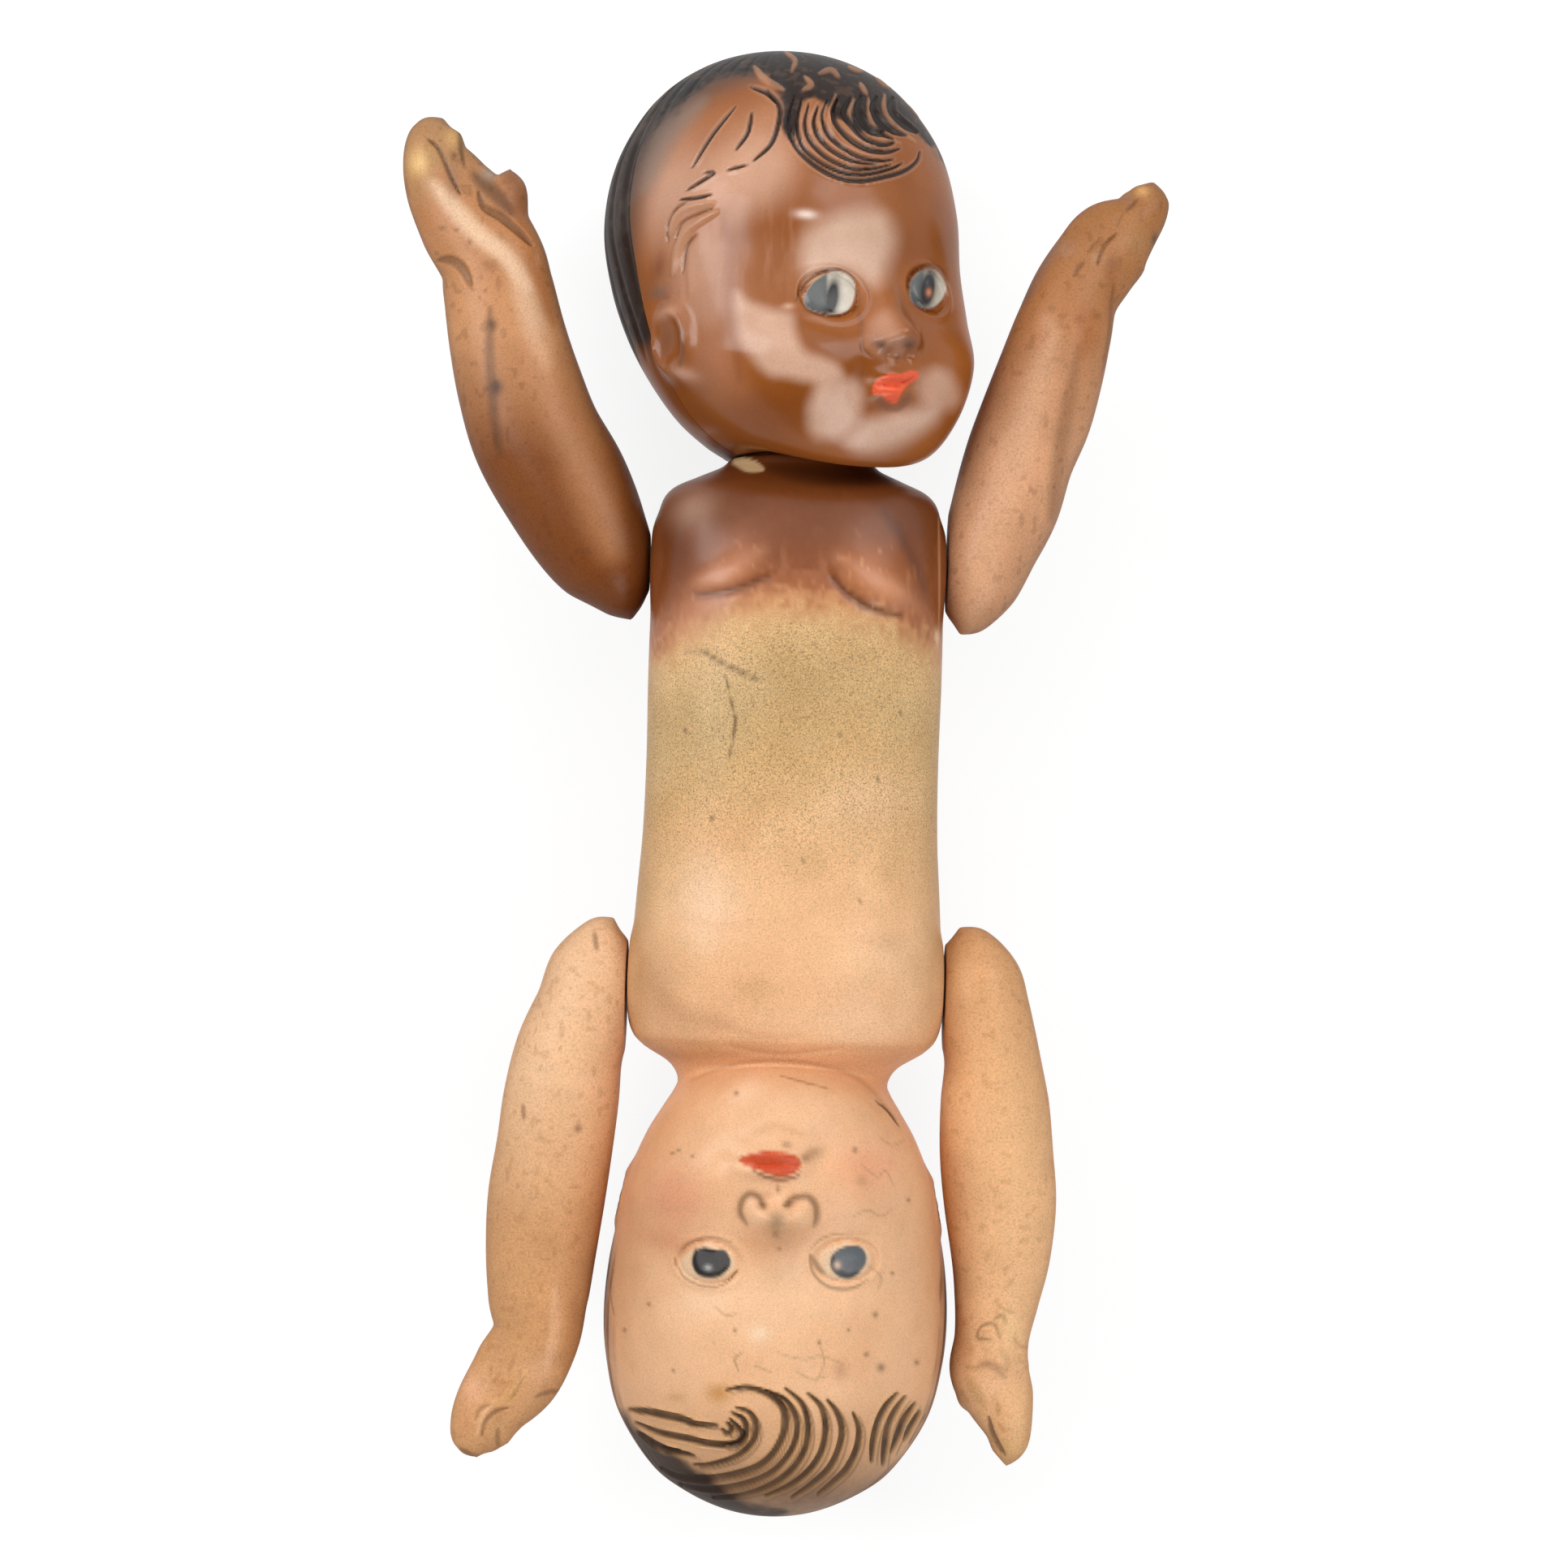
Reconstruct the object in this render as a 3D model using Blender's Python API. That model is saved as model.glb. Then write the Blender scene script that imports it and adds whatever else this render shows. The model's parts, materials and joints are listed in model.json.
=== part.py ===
"""Topsy turvy doll of pressed composition, lying on its back, in metres with +Z up.

The doll is two half dolls joined at the waist. The lower head is moulded in one with
the body, as a front and a back half shell glued along the side seam. The upper head is
a separate swivel head, also of two glued halves. Four solid arms and the upper head are
strung with rubber elastic from wire hooks inside the body.

The midline is x = 0, the table is z = 0, and y = 0 is where the back of the lower head
rests on the table. The upper head lies towards +Y and both faces look up, towards +Z.
"""

import math
from dataclasses import dataclass

import bmesh
import bpy
import numpy as np
from mathutils import Matrix, Vector

MM = 0.001

# Fits between pieces
RUNNING_GAP = 0.3 * MM
GLUE_LINE = 0.3 * MM
SHELL_WALL = 3.0 * MM
CUT_OVERRUN = 4.0 * MM

# Both heads, measured from the centre line of the skull
HEAD_WIDTH = 47.8 * MM
HEAD_FRONT = 25.6 * MM
HEAD_BACK = 26.2 * MM
SKULL_SETBACK = 4.2 * MM
LOWER_HEAD_LENGTH = 60.3 * MM
UPPER_HEAD_LENGTH = 56.7 * MM
CHIN_DROP = 4.4 * MM
REST_DEPTH = 0.7 * MM
REST_SHARE = 0.469

# Torso
TORSO_LENGTH = 85.6 * MM
TORSO_WIDTH = 43.0 * MM
TORSO_FRONT = 15.6 * MM
TORSO_BACK = 14.4 * MM
TORSO_RISE = 0.5 * MM
LOWER_NECK_WIDTH = 29.0 * MM
LOWER_NECK_DEPTH = 24.4 * MM
BREAST_RISE = 0.9 * MM
BREAST_RADIUS = 5.6 * MM
BREAST_REACH = 8.6 * MM
BREAST_PLACE_SHARES = (0.215, 0.766)

# Upper neck, a stump that the swivel head sits on
STUMP_RADIUS = 8.5 * MM
STUMP_HEIGHT = 3.2 * MM
STUMP_BORE = 6.0 * MM
SOCKET_SLACK = 0.6 * MM
SOCKET_LIP = 1.5 * MM
SOCKET_DEPTH = 3.4 * MM
MOUTH_STEP = 0.6 * MM
PIVOT_RISE = 0.5 * MM
HEAD_YAW = math.radians(32.0)
HEAD_TILT = math.radians(3.3)

# Shoulders, where the flat ends of the arms bear on round bosses
SHOULDER_BORE = 3.2 * MM
BOSS_RADIUS = 8.0 * MM
BOSS_SEAT_LIFT = 0.02 * MM
UPPER_SHOULDER_REACH = 20.2 * MM
LOWER_SHOULDER_REACH = 21.6 * MM
UPPER_SHOULDER_SHARE = 0.826
LOWER_SHOULDER_SHARE = 0.165

# Arms
ARM_LENGTH = 68.0 * MM
ARM_WIDTH = 17.0 * MM
ARM_DEPTH = 14.6 * MM
ARM_SPREAD = 30.0 * MM
ARM_BOW_SHARE = 0.25

# Stringing
WIRE_RADIUS = 0.65 * MM
ELASTIC_RADIUS = 0.8 * MM
HOOK_RADIUS = 2.2 * MM
HOOK_SEAT_DEPTH = 9.0 * MM
HOOK_EYE_INSET = 7.0 * MM
HEAD_HOOK_RADIUS = 3.4 * MM
HEAD_HOOK_DROP = 8.4 * MM
HOOK_FLARE = 1.3 * MM
CROSSBAR_RADIUS = 2.0 * MM
CROSSBAR_LENGTH = 24.0 * MM
CROSSBAR_RISE = 7.8 * MM

# Mesh fineness
FACE_COLUMNS = 32
BACK_COLUMNS = 18
CAVITY_COLUMNS = 9
FACE_CROWDING = 0.75
DIP_POWER = 1.5
NAPE_SQUARENESS_SHARE = 0.2
ARM_SIDES = 12
ROUND_SIDES = 24
BORE_SIDES = 16
HOOK_STEP = math.radians(30.0)
HOOK_EYE_ARC = (math.radians(50.0), math.radians(330.0))
HEAD_HOOK_TOP_ARC = (math.radians(-75.0), math.radians(140.0))
ELASTIC_BEND_STEPS = 3
STRAND_SHARES = (0.6, 0.25, 0.0, -0.25, -0.6)

# Places that follow from the sizes
LOWER_CROWN_Y = -REST_SHARE * LOWER_HEAD_LENGTH
LOWER_NECK_Y = LOWER_CROWN_Y + LOWER_HEAD_LENGTH
UPPER_NECK_Y = LOWER_NECK_Y + TORSO_LENGTH
PIVOT_Y = UPPER_NECK_Y + PIVOT_RISE
AXIS_Z = HEAD_BACK + SKULL_SETBACK - REST_DEPTH
SHOULDER_Z = AXIS_Z + TORSO_RISE
SOCKET_RADIUS = STUMP_RADIUS + SOCKET_SLACK
QUARTER_TURN = Matrix.Rotation(math.pi / 2, 4, "Y")

# Stations of the lower head from the crown to the neck. The columns are the place along
# the head, the setback of the centre line, the width, the front depth, the back depth,
# the drop of the chin side and the squareness of the section.
LOWER_HEAD_SHARES = (
    (0.000, 1.00, 0.000, 0.000, 0.000, 0.00, 2.0),
    (0.022, 1.00, 0.318, 0.326, 0.330, 0.00, 2.0),
    (0.078, 1.00, 0.594, 0.597, 0.613, 0.00, 2.0),
    (0.138, 1.00, 0.753, 0.744, 0.774, 0.00, 2.05),
    (0.245, 1.00, 0.912, 0.907, 0.935, 0.00, 2.1),
    (0.362, 1.00, 0.983, 0.977, 0.989, 0.00, 2.1),
    (0.469, 1.00, 1.000, 1.000, 1.000, 0.00, 2.1),
    (0.585, 0.90, 0.975, 0.984, 0.981, 0.00, 2.2),
    (0.693, 0.65, 0.921, 0.977, 0.897, 0.05, 2.3),
    (0.784, 0.25, 0.870, 0.938, 0.782, 0.25, 2.4),
    (0.876, -0.15, 0.778, 0.845, 0.636, 0.70, 2.35),
    (0.942, -0.40, 0.682, 0.672, 0.521, 1.00, 2.2),
)
LOWER_HEAD_STEPS = (2, 2, 2, 2, 2, 3, 4, 4, 4, 3, 2, 1)

# The neck between the lower head and the torso, with the same columns
LOWER_NECK_SHARES = (
    (-0.017, -0.25, 1.02, 1.12, 1.02, 0.90, 2.0),
    (0.006, -0.10, 1.00, 1.00, 1.00, 0.70, 2.0),
)
LOWER_NECK_STEPS = (1, 1)

# Stations of the torso from the lower neck to the foot of the upper neck
TORSO_SHARES = (
    (0.029, 1.0, 0.735, 0.790, 0.861, 0.45, 2.1),
    (0.058, 1.0, 0.912, 0.840, 0.889, 0.20, 2.2),
    (0.088, 1.0, 0.986, 0.905, 0.944, 0.05, 2.35),
    (0.165, 1.0, 1.000, 1.000, 1.000, 0.00, 2.5),
    (0.292, 1.0, 0.972, 0.974, 0.972, 0.00, 2.5),
    (0.397, 1.0, 0.944, 0.949, 0.944, 0.00, 2.45),
    (0.514, 1.0, 0.935, 0.962, 0.931, 0.00, 2.4),
    (0.654, 1.0, 0.940, 0.987, 0.944, 0.00, 2.4),
    (0.771, 1.0, 0.935, 0.974, 0.958, 0.00, 2.45),
    (0.864, 1.0, 0.921, 0.936, 0.958, 0.00, 2.5),
    (0.920, 1.0, 0.895, 0.859, 0.903, 0.00, 2.4),
    (0.949, 1.0, 0.825, 0.775, 0.815, 0.00, 2.3),
    (0.969, 0.6, 0.670, 0.695, 0.740, 0.00, 2.1),
    (0.986, 0.2, 0.521, 0.641, 0.694, 0.00, 2.0),
)
TORSO_STEPS = (1, 1, 2, 2, 1, 1, 1, 1, 1, 2, 1, 1, 1, 1)

# The stump of the upper neck and the flange at its foot, as shares of its height and radius
STUMP_SHARES = (
    (-0.09, 1.19),
    (0.01, 1.14),
    (0.08, 1.01),
    (0.45, 1.00),
    (0.78, 0.97),
    (0.95, 0.89),
)
STUMP_STEPS = (1, 1, 1, 1, 1)

# Stations of the upper head from the crown to the socket, with the same columns
UPPER_HEAD_SHARES = (
    (0.000, 1.05, 0.000, 0.000, 0.000, 0.00, 2.00),
    (0.026, 1.05, 0.348, 0.340, 0.345, 0.00, 2.00),
    (0.083, 1.05, 0.605, 0.606, 0.610, 0.00, 2.00),
    (0.162, 1.05, 0.780, 0.790, 0.797, 0.00, 2.05),
    (0.277, 1.03, 0.926, 0.930, 0.940, 0.00, 2.10),
    (0.418, 0.98, 0.996, 0.988, 0.990, 0.00, 2.10),
    (0.559, 0.80, 0.978, 0.960, 0.965, 0.00, 2.20),
    (0.683, 0.50, 0.950, 0.960, 0.840, 0.00, 2.35),
    (0.797, -0.10, 0.920, 0.910, 0.690, 0.12, 2.42),
    (0.903, -0.48, 0.806, 0.766, 0.560, 0.70, 2.32),
    (0.968, -0.54, 0.645, 0.610, 0.460, 1.08, 2.15),
)
UPPER_HEAD_STEPS = (2, 2, 2, 2, 2, 3, 4, 4, 4, 3, 2)
SOCKET_RIM_SHARES = (0.995, 1.0)

# Arms: the way out from the flat end as shares of the spread, the way along from the
# shoulder as shares of the length, and the half width and half depth of the section as
# shares of the full ones. Past the shoulder an arm also bows out by as much as the head
# beside it overhangs the shoulder.
UPPER_LEFT_ARM_SHARES = (
    (0.075, -0.112, 0.000, 0.000),
    (0.104, -0.082, 0.175, 0.260),
    (0.165, -0.022, 0.375, 0.450),
    (0.247, 0.058, 0.480, 0.505),
    (0.325, 0.157, 0.532, 0.520),
    (0.412, 0.254, 0.530, 0.510),
    (0.497, 0.353, 0.510, 0.490),
    (0.560, 0.450, 0.480, 0.460),
    (0.610, 0.549, 0.450, 0.420),
    (0.647, 0.612, 0.430, 0.390),
    (0.757, 0.690, 0.420, 0.340),
    (0.862, 0.760, 0.350, 0.290),
    (0.917, 0.820, 0.270, 0.250),
    (0.912, 0.872, 0.190, 0.180),
    (0.892, 0.898, 0.000, 0.000),
)
UPPER_LEFT_THUMB_SHARES = (
    (0.597, 0.610, 0.000, 0.000),
    (0.592, 0.660, 0.180, 0.200),
    (0.582, 0.720, 0.170, 0.200),
    (0.577, 0.768, 0.130, 0.160),
    (0.575, 0.796, 0.000, 0.000),
)
UPPER_RIGHT_ARM_SHARES = (
    (0.070, -0.122, 0.000, 0.000),
    (0.098, -0.092, 0.175, 0.250),
    (0.136, -0.030, 0.322, 0.430),
    (0.166, 0.058, 0.390, 0.500),
    (0.190, 0.147, 0.436, 0.520),
    (0.199, 0.243, 0.441, 0.510),
    (0.268, 0.331, 0.450, 0.490),
    (0.327, 0.419, 0.430, 0.460),
    (0.376, 0.500, 0.400, 0.420),
    (0.426, 0.576, 0.362, 0.380),
    (0.510, 0.637, 0.358, 0.330),
    (0.600, 0.690, 0.345, 0.290),
    (0.725, 0.742, 0.205, 0.240),
    (0.757, 0.785, 0.150, 0.170),
    (0.772, 0.812, 0.000, 0.000),
)
UPPER_RIGHT_THUMB_SHARES = (
    (0.577, 0.680, 0.000, 0.000),
    (0.605, 0.712, 0.110, 0.140),
    (0.642, 0.748, 0.100, 0.130),
    (0.677, 0.777, 0.070, 0.100),
    (0.697, 0.794, 0.000, 0.000),
)
LOWER_LEFT_ARM_SHARES = (
    (0.070, -0.118, 0.000, 0.000),
    (0.104, -0.088, 0.190, 0.260),
    (0.145, -0.020, 0.362, 0.450),
    (0.166, 0.066, 0.404, 0.500),
    (0.206, 0.158, 0.438, 0.520),
    (0.208, 0.250, 0.468, 0.520),
    (0.233, 0.353, 0.471, 0.500),
    (0.263, 0.456, 0.475, 0.480),
    (0.280, 0.559, 0.450, 0.450),
    (0.286, 0.654, 0.410, 0.410),
    (0.290, 0.735, 0.356, 0.360),
    (0.374, 0.812, 0.368, 0.310),
    (0.481, 0.878, 0.308, 0.280),
    (0.538, 0.932, 0.250, 0.250),
    (0.551, 0.968, 0.160, 0.170),
    (0.548, 0.988, 0.000, 0.000),
)
LOWER_LEFT_THUMB_SHARES = (
    (0.253, 0.725, 0.000, 0.000),
    (0.240, 0.762, 0.140, 0.170),
    (0.226, 0.796, 0.120, 0.160),
    (0.215, 0.820, 0.080, 0.110),
    (0.210, 0.834, 0.000, 0.000),
)
LOWER_RIGHT_ARM_SHARES = (
    (0.064, -0.120, 0.000, 0.000),
    (0.096, -0.090, 0.205, 0.260),
    (0.142, -0.022, 0.358, 0.440),
    (0.163, 0.051, 0.386, 0.490),
    (0.185, 0.140, 0.388, 0.510),
    (0.176, 0.235, 0.440, 0.510),
    (0.187, 0.338, 0.460, 0.500),
    (0.211, 0.441, 0.455, 0.480),
    (0.220, 0.544, 0.405, 0.440),
    (0.208, 0.632, 0.345, 0.400),
    (0.191, 0.713, 0.302, 0.360),
    (0.186, 0.779, 0.324, 0.320),
    (0.238, 0.838, 0.280, 0.280),
    (0.279, 0.897, 0.195, 0.240),
    (0.283, 0.941, 0.130, 0.170),
    (0.276, 0.974, 0.000, 0.000),
)
LOWER_RIGHT_THUMB_SHARES = (
    (0.130, 0.740, 0.000, 0.000),
    (0.100, 0.775, 0.120, 0.160),
    (0.090, 0.815, 0.110, 0.150),
    (0.100, 0.848, 0.080, 0.110),
    (0.112, 0.866, 0.000, 0.000),
)
ARM_STEPS = 2
THUMB_STEPS = 2


@dataclass(frozen=True)
class Face:
    """Sizes of a moulded face, with heights above its neck line."""

    eye_up: float
    eye_apart: float
    eye_width: float
    eye_height: float
    eye_rise: float
    socket_depth: float
    nose_up: float
    nose_width: float
    nose_length: float
    nose_rise: float
    mouth_up: float
    mouth_width: float
    lip_height: float
    lip_rise: float
    muzzle_rise: float
    chin_up: float
    chin_radius: float
    chin_rise: float
    cheek_up: float
    cheek_apart: float
    cheek_radius: float
    cheek_rise: float
    ear_up: float
    ear_forward: float
    ear_height: float
    ear_width: float
    ear_rise: float


UPPER_FACE = Face(
    eye_up=19.8 * MM,
    eye_apart=15.8 * MM,
    eye_width=7.6 * MM,
    eye_height=5.8 * MM,
    eye_rise=1.1 * MM,
    socket_depth=1.2 * MM,
    nose_up=13.9 * MM,
    nose_width=7.0 * MM,
    nose_length=7.5 * MM,
    nose_rise=3.1 * MM,
    mouth_up=7.3 * MM,
    mouth_width=7.6 * MM,
    lip_height=1.5 * MM,
    lip_rise=0.5 * MM,
    muzzle_rise=0.4 * MM,
    chin_up=2.0 * MM,
    chin_radius=4.6 * MM,
    chin_rise=0.5 * MM,
    cheek_up=8.5 * MM,
    cheek_apart=20.0 * MM,
    cheek_radius=7.0 * MM,
    cheek_rise=0.4 * MM,
    ear_up=14.4 * MM,
    ear_forward=3.6 * MM,
    ear_height=10.5 * MM,
    ear_width=7.0 * MM,
    ear_rise=1.2 * MM,
)
LOWER_FACE = Face(
    eye_up=21.5 * MM,
    eye_apart=18.0 * MM,
    eye_width=7.6 * MM,
    eye_height=5.4 * MM,
    eye_rise=0.9 * MM,
    socket_depth=1.0 * MM,
    nose_up=15.9 * MM,
    nose_width=7.6 * MM,
    nose_length=7.5 * MM,
    nose_rise=2.8 * MM,
    mouth_up=8.2 * MM,
    mouth_width=9.4 * MM,
    lip_height=1.5 * MM,
    lip_rise=0.7 * MM,
    muzzle_rise=1.0 * MM,
    chin_up=3.0 * MM,
    chin_radius=5.0 * MM,
    chin_rise=0.9 * MM,
    cheek_up=11.5 * MM,
    cheek_apart=26.0 * MM,
    cheek_radius=7.0 * MM,
    cheek_rise=0.6 * MM,
    ear_up=16.0 * MM,
    ear_forward=1.0 * MM,
    ear_height=9.0 * MM,
    ear_width=5.5 * MM,
    ear_rise=0.4 * MM,
)

# Colours as red, green, blue, then roughness
BROWN_PAINT = (0.26, 0.105, 0.045, 0.22)
PEACH_PAINT = (0.72, 0.42, 0.26, 0.38)
BROWN_ARM_PAINT = (0.38, 0.18, 0.08, 0.40)
PEACH_ARM_PAINT = (0.68, 0.39, 0.20, 0.48)
STEEL_WIRE = (0.42, 0.40, 0.37, 0.45)
RUBBER = (0.10, 0.09, 0.08, 0.70)
BARE_WOOD = (0.55, 0.38, 0.20, 0.75)


def clear_scene():
    """Removes every object that the file starts with."""
    for obj in list(bpy.data.objects):
        bpy.data.objects.remove(obj, do_unlink=True)


def paint(obj, finish, metallic=0.0):
    """Gives an object its own plain material."""
    material = bpy.data.materials.new(obj.name + "_finish")
    material.use_nodes = True
    shader = material.node_tree.nodes["Principled BSDF"]
    shader.inputs["Base Color"].default_value = (*finish[:3], 1.0)
    shader.inputs["Roughness"].default_value = finish[3]
    shader.inputs["Metallic"].default_value = metallic
    obj.data.materials.append(material)


def add_object(name, data, place=None):
    """Links an object that carries the data, at a place given as a matrix."""
    obj = bpy.data.objects.new(name, data)
    bpy.context.collection.objects.link(obj)
    if place is not None:
        obj.matrix_world = place
    return obj


def mesh_object(name, points, faces, place=None):
    """Makes a closed mesh with its faces turned outwards."""
    mesh = bpy.data.meshes.new(name)
    mesh.from_pydata([tuple(point) for point in points], [], faces)
    work = bmesh.new()
    work.from_mesh(mesh)
    bmesh.ops.recalc_face_normals(work, faces=work.faces)
    work.to_mesh(mesh)
    work.free()
    mesh.shade_smooth()
    mesh.set_sharp_from_angle(angle=math.radians(40.0))
    return add_object(name, mesh, place)


def hide_cutter(obj):
    """Marks an object as a cutter, which is no piece of the doll."""
    obj.hide_render = True
    obj.display_type = "WIRE"


def boolean(target, tool, operation):
    """Adds or takes away the tool's shape."""
    hide_cutter(tool)
    cut = target.modifiers.new(operation.title() + "_" + tool.name, "BOOLEAN")
    cut.operation = operation
    cut.solver = "EXACT"
    cut.object = tool


def smooth_rows(stations, steps, from_pole):
    """Rows on a smooth curve through the stations, with so many steps in each interval.

    The curve is a Catmull-Rom spline. Where it starts at a pole, the radii pass through
    zero there, so that the surface closes in a round cap.
    """
    stations = np.asarray(stations, float)
    before = 2 * stations[0] - stations[1]
    if from_pole:
        before = stations[1].copy()
        before[2:5] *= -1
    after = 2 * stations[-1] - stations[-2]
    line = np.vstack([before, stations, after])
    rows = []
    for place, count in enumerate(steps):
        p0, p1, p2, p3 = line[place : place + 4]
        t = (np.arange(count) / count)[:, None]
        rows.append(
            0.5
            * (
                2 * p1
                + (p2 - p0) * t
                + (2 * p0 - 5 * p1 + 4 * p2 - p3) * t**2
                + (3 * p1 - p0 - 3 * p2 + p3) * t**3
            )
        )
    rows.append(stations[-1:])
    return np.vstack(rows)


def loft(rows, angles, back_share=1):
    """Points of a surface of superellipse rings about the Y axis, one ring to a row.

    The back half takes only a share of the rows' squareness beyond that of an ellipse.
    """
    along, centre, width, front, back, drop, square = (rows[:, k : k + 1] for k in range(7))
    across, forward = np.cos(angles)[None, :], np.sin(angles)[None, :]
    power = 2 / (2 + (square - 2) * np.where(forward >= 0, 1, back_share))
    x = width * np.sign(across) * np.abs(across) ** power
    depth = np.where(forward >= 0, front, back)
    z = centre + depth * np.sign(forward) * np.abs(forward) ** power
    y = along + drop * np.maximum(forward, 0) ** DIP_POWER
    return np.stack(np.broadcast_arrays(x, y, z), axis=-1).copy()


def half_turn(count, crowding, front):
    """Angles from the +X seam over the front, or the back, to the -X seam."""
    u = np.linspace(-1, 1, count + 1)
    swing = math.pi / 2 * (1 + crowding * u + (1 - crowding) * u**3)
    return swing if front else -swing


def swell(x, up, x_at, up_at, x_radius, up_radius):
    """A soft round bump of height one."""
    return np.exp(-(((x - x_at) / x_radius) ** 2) - ((up - up_at) / up_radius) ** 2)


def face_relief(x, up, face):
    """How far the features of a face stand out forwards from the plain head."""
    rise = face.nose_rise * swell(
        x, up, 0, face.nose_up, 0.36 * face.nose_width, 0.34 * face.nose_length
    )
    rise += (0.35 * face.nose_rise) * swell(
        x, up, 0, face.nose_up + 0.55 * face.nose_length, 0.3 * face.nose_width, 0.5 * face.nose_length
    )
    rise += face.muzzle_rise * swell(x, up, 0, face.mouth_up, face.mouth_width, 2.8 * face.lip_height)
    rise += face.chin_rise * swell(x, up, 0, face.chin_up, face.chin_radius, face.chin_radius)
    for lip in (-0.75, 0.75):
        lip_up = face.mouth_up + lip * face.lip_height
        rise += face.lip_rise * swell(x, up, 0, lip_up, 0.42 * face.mouth_width, 0.62 * face.lip_height)
    for side in (-0.5, 0.5):
        rise += (0.3 * face.nose_rise) * swell(
            x,
            up,
            0.75 * side * face.nose_width,
            face.nose_up - 0.14 * face.nose_length,
            0.2 * face.nose_width,
            0.2 * face.nose_length,
        )
        eye_at = side * face.eye_apart
        rise -= face.socket_depth * swell(
            x, up, eye_at, face.eye_up, 0.75 * face.eye_width, 0.9 * face.eye_height
        )
        off = (2 * (x - eye_at) / face.eye_width) ** 2 + (2 * (up - face.eye_up) / face.eye_height) ** 2
        rise += face.eye_rise * np.sqrt(np.maximum(0, 1 - off))
        rise += face.cheek_rise * swell(
            x, up, side * face.cheek_apart, face.cheek_up, face.cheek_radius, face.cheek_radius
        )
    return rise


def ear_relief(points, up, face):
    """How far a low moulded ear stands out sideways."""
    off = ((up - face.ear_up) / (0.5 * face.ear_height)) ** 2
    off = off + ((points[..., 2] - face.ear_forward) / (0.5 * face.ear_width)) ** 2
    return face.ear_rise * np.exp(-(off**2)) * np.sign(points[..., 0])


def offset_profile(along, radius, wall):
    """A profile moved inwards by a wall, square to itself."""
    run = np.hypot(np.gradient(along), np.gradient(radius))
    return along - wall * (-np.gradient(radius)) / run, radius - wall * np.gradient(along) / run


def cavity_rows(rows, wall, heading):
    """Rows of the hollow inside a lofted shell, a wall in from its surface all round.

    Each of the three profiles, width, front and back, is moved inwards by itself. All
    three are then read at the places where the width's profile came to.
    """
    inner = rows.copy()
    along = heading * rows[:, 0]
    places, width = offset_profile(along, rows[:, 2], wall)
    places = np.maximum.accumulate(places)
    inner[:, 0] = heading * places
    inner[:, 2] = np.maximum(width, 0)
    for column in (3, 4):
        at, depth = offset_profile(along, rows[:, column], wall)
        inner[:, column] = np.interp(places, np.maximum.accumulate(at), np.maximum(depth, 0))
    inner[:, 1] = np.interp(places, along, rows[:, 1])
    inner[0, 2:5] = 0
    return inner[np.diff(places, prepend=places[0] - wall) > MOUTH_STEP / 2]


def round_mouth(hollow, heading, start, end, radius):
    """Ends a hollow in a round mouth that runs from one place to another."""
    kept = hollow[heading * hollow[:, 0] < heading * start - MOUTH_STEP / 2]
    mouth = [(place, 0, radius, radius, radius, 0, 2) for place in (start, end)]
    return np.vstack([kept, mouth])


def zip_strip(first, second, first_at, second_at):
    """Triangles between two rows of points, stepping on where the next point is nearer."""
    faces = []
    a = b = 0
    while a < len(first) - 1 or b < len(second) - 1:
        first_turn = b == len(second) - 1 or (
            a < len(first) - 1 and first_at[a + 1] <= second_at[b + 1]
        )
        if first_turn:
            faces.append((first[a], first[a + 1], second[b]))
            a += 1
        else:
            faces.append((first[a], second[b + 1], second[b]))
            b += 1
    return faces


def sheet_faces(ids):
    """Faces of a grid whose first row is one repeated point, the pole."""
    faces = []
    for row in range(len(ids) - 1):
        for column in range(ids.shape[1] - 1):
            corners = [ids[row, column], ids[row, column + 1], ids[row + 1, column + 1]]
            if row == 0:
                corners[0:2] = [ids[0, 0]]
                corners.append(ids[1, column])
            else:
                corners.append(ids[row + 1, column])
            faces.append(tuple(int(corner) for corner in corners))
    return faces


def half_shell(name, outer, inner, place=None):
    """A half shell from grids of its outer skin and its hollow, closed at every rim."""
    points, grids = [], []
    for grid in (outer, inner):
        rows, columns = grid.shape[:2]
        ids = len(points) + 1 + np.arange(rows * columns).reshape(rows, columns) - columns
        ids[0] = len(points)
        points.append(grid[0, 0])
        points.extend(grid[1:].reshape(-1, 3))
        grids.append(ids)
    skin, hollow = grids
    faces = sheet_faces(skin) + sheet_faces(hollow)
    heading = np.sign(outer[-1, 0, 1] - outer[0, 0, 1])
    for column in (0, -1):
        places = (heading * grid[:, column, 1] for grid in (outer, inner))
        faces += zip_strip(skin[:, column], hollow[:, column], *places)
    turns = (np.linspace(0, 1, grid.shape[1]) for grid in (outer, inner))
    faces += zip_strip(skin[-1], hollow[-1], *turns)
    faces = [tuple(int(corner) for corner in face) for face in faces]
    return mesh_object(name, points, faces, place)


def scaled(shares, start, length, sizes):
    """Turns a table of shares into sizes: along, centre, width, front, back and drop."""
    setback, width, front, back, drop = sizes
    return [
        (start + a * length, c * setback, w * width, f * front, b * back, d * drop, n)
        for a, c, w, f, b, d, n in shares
    ]


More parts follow.
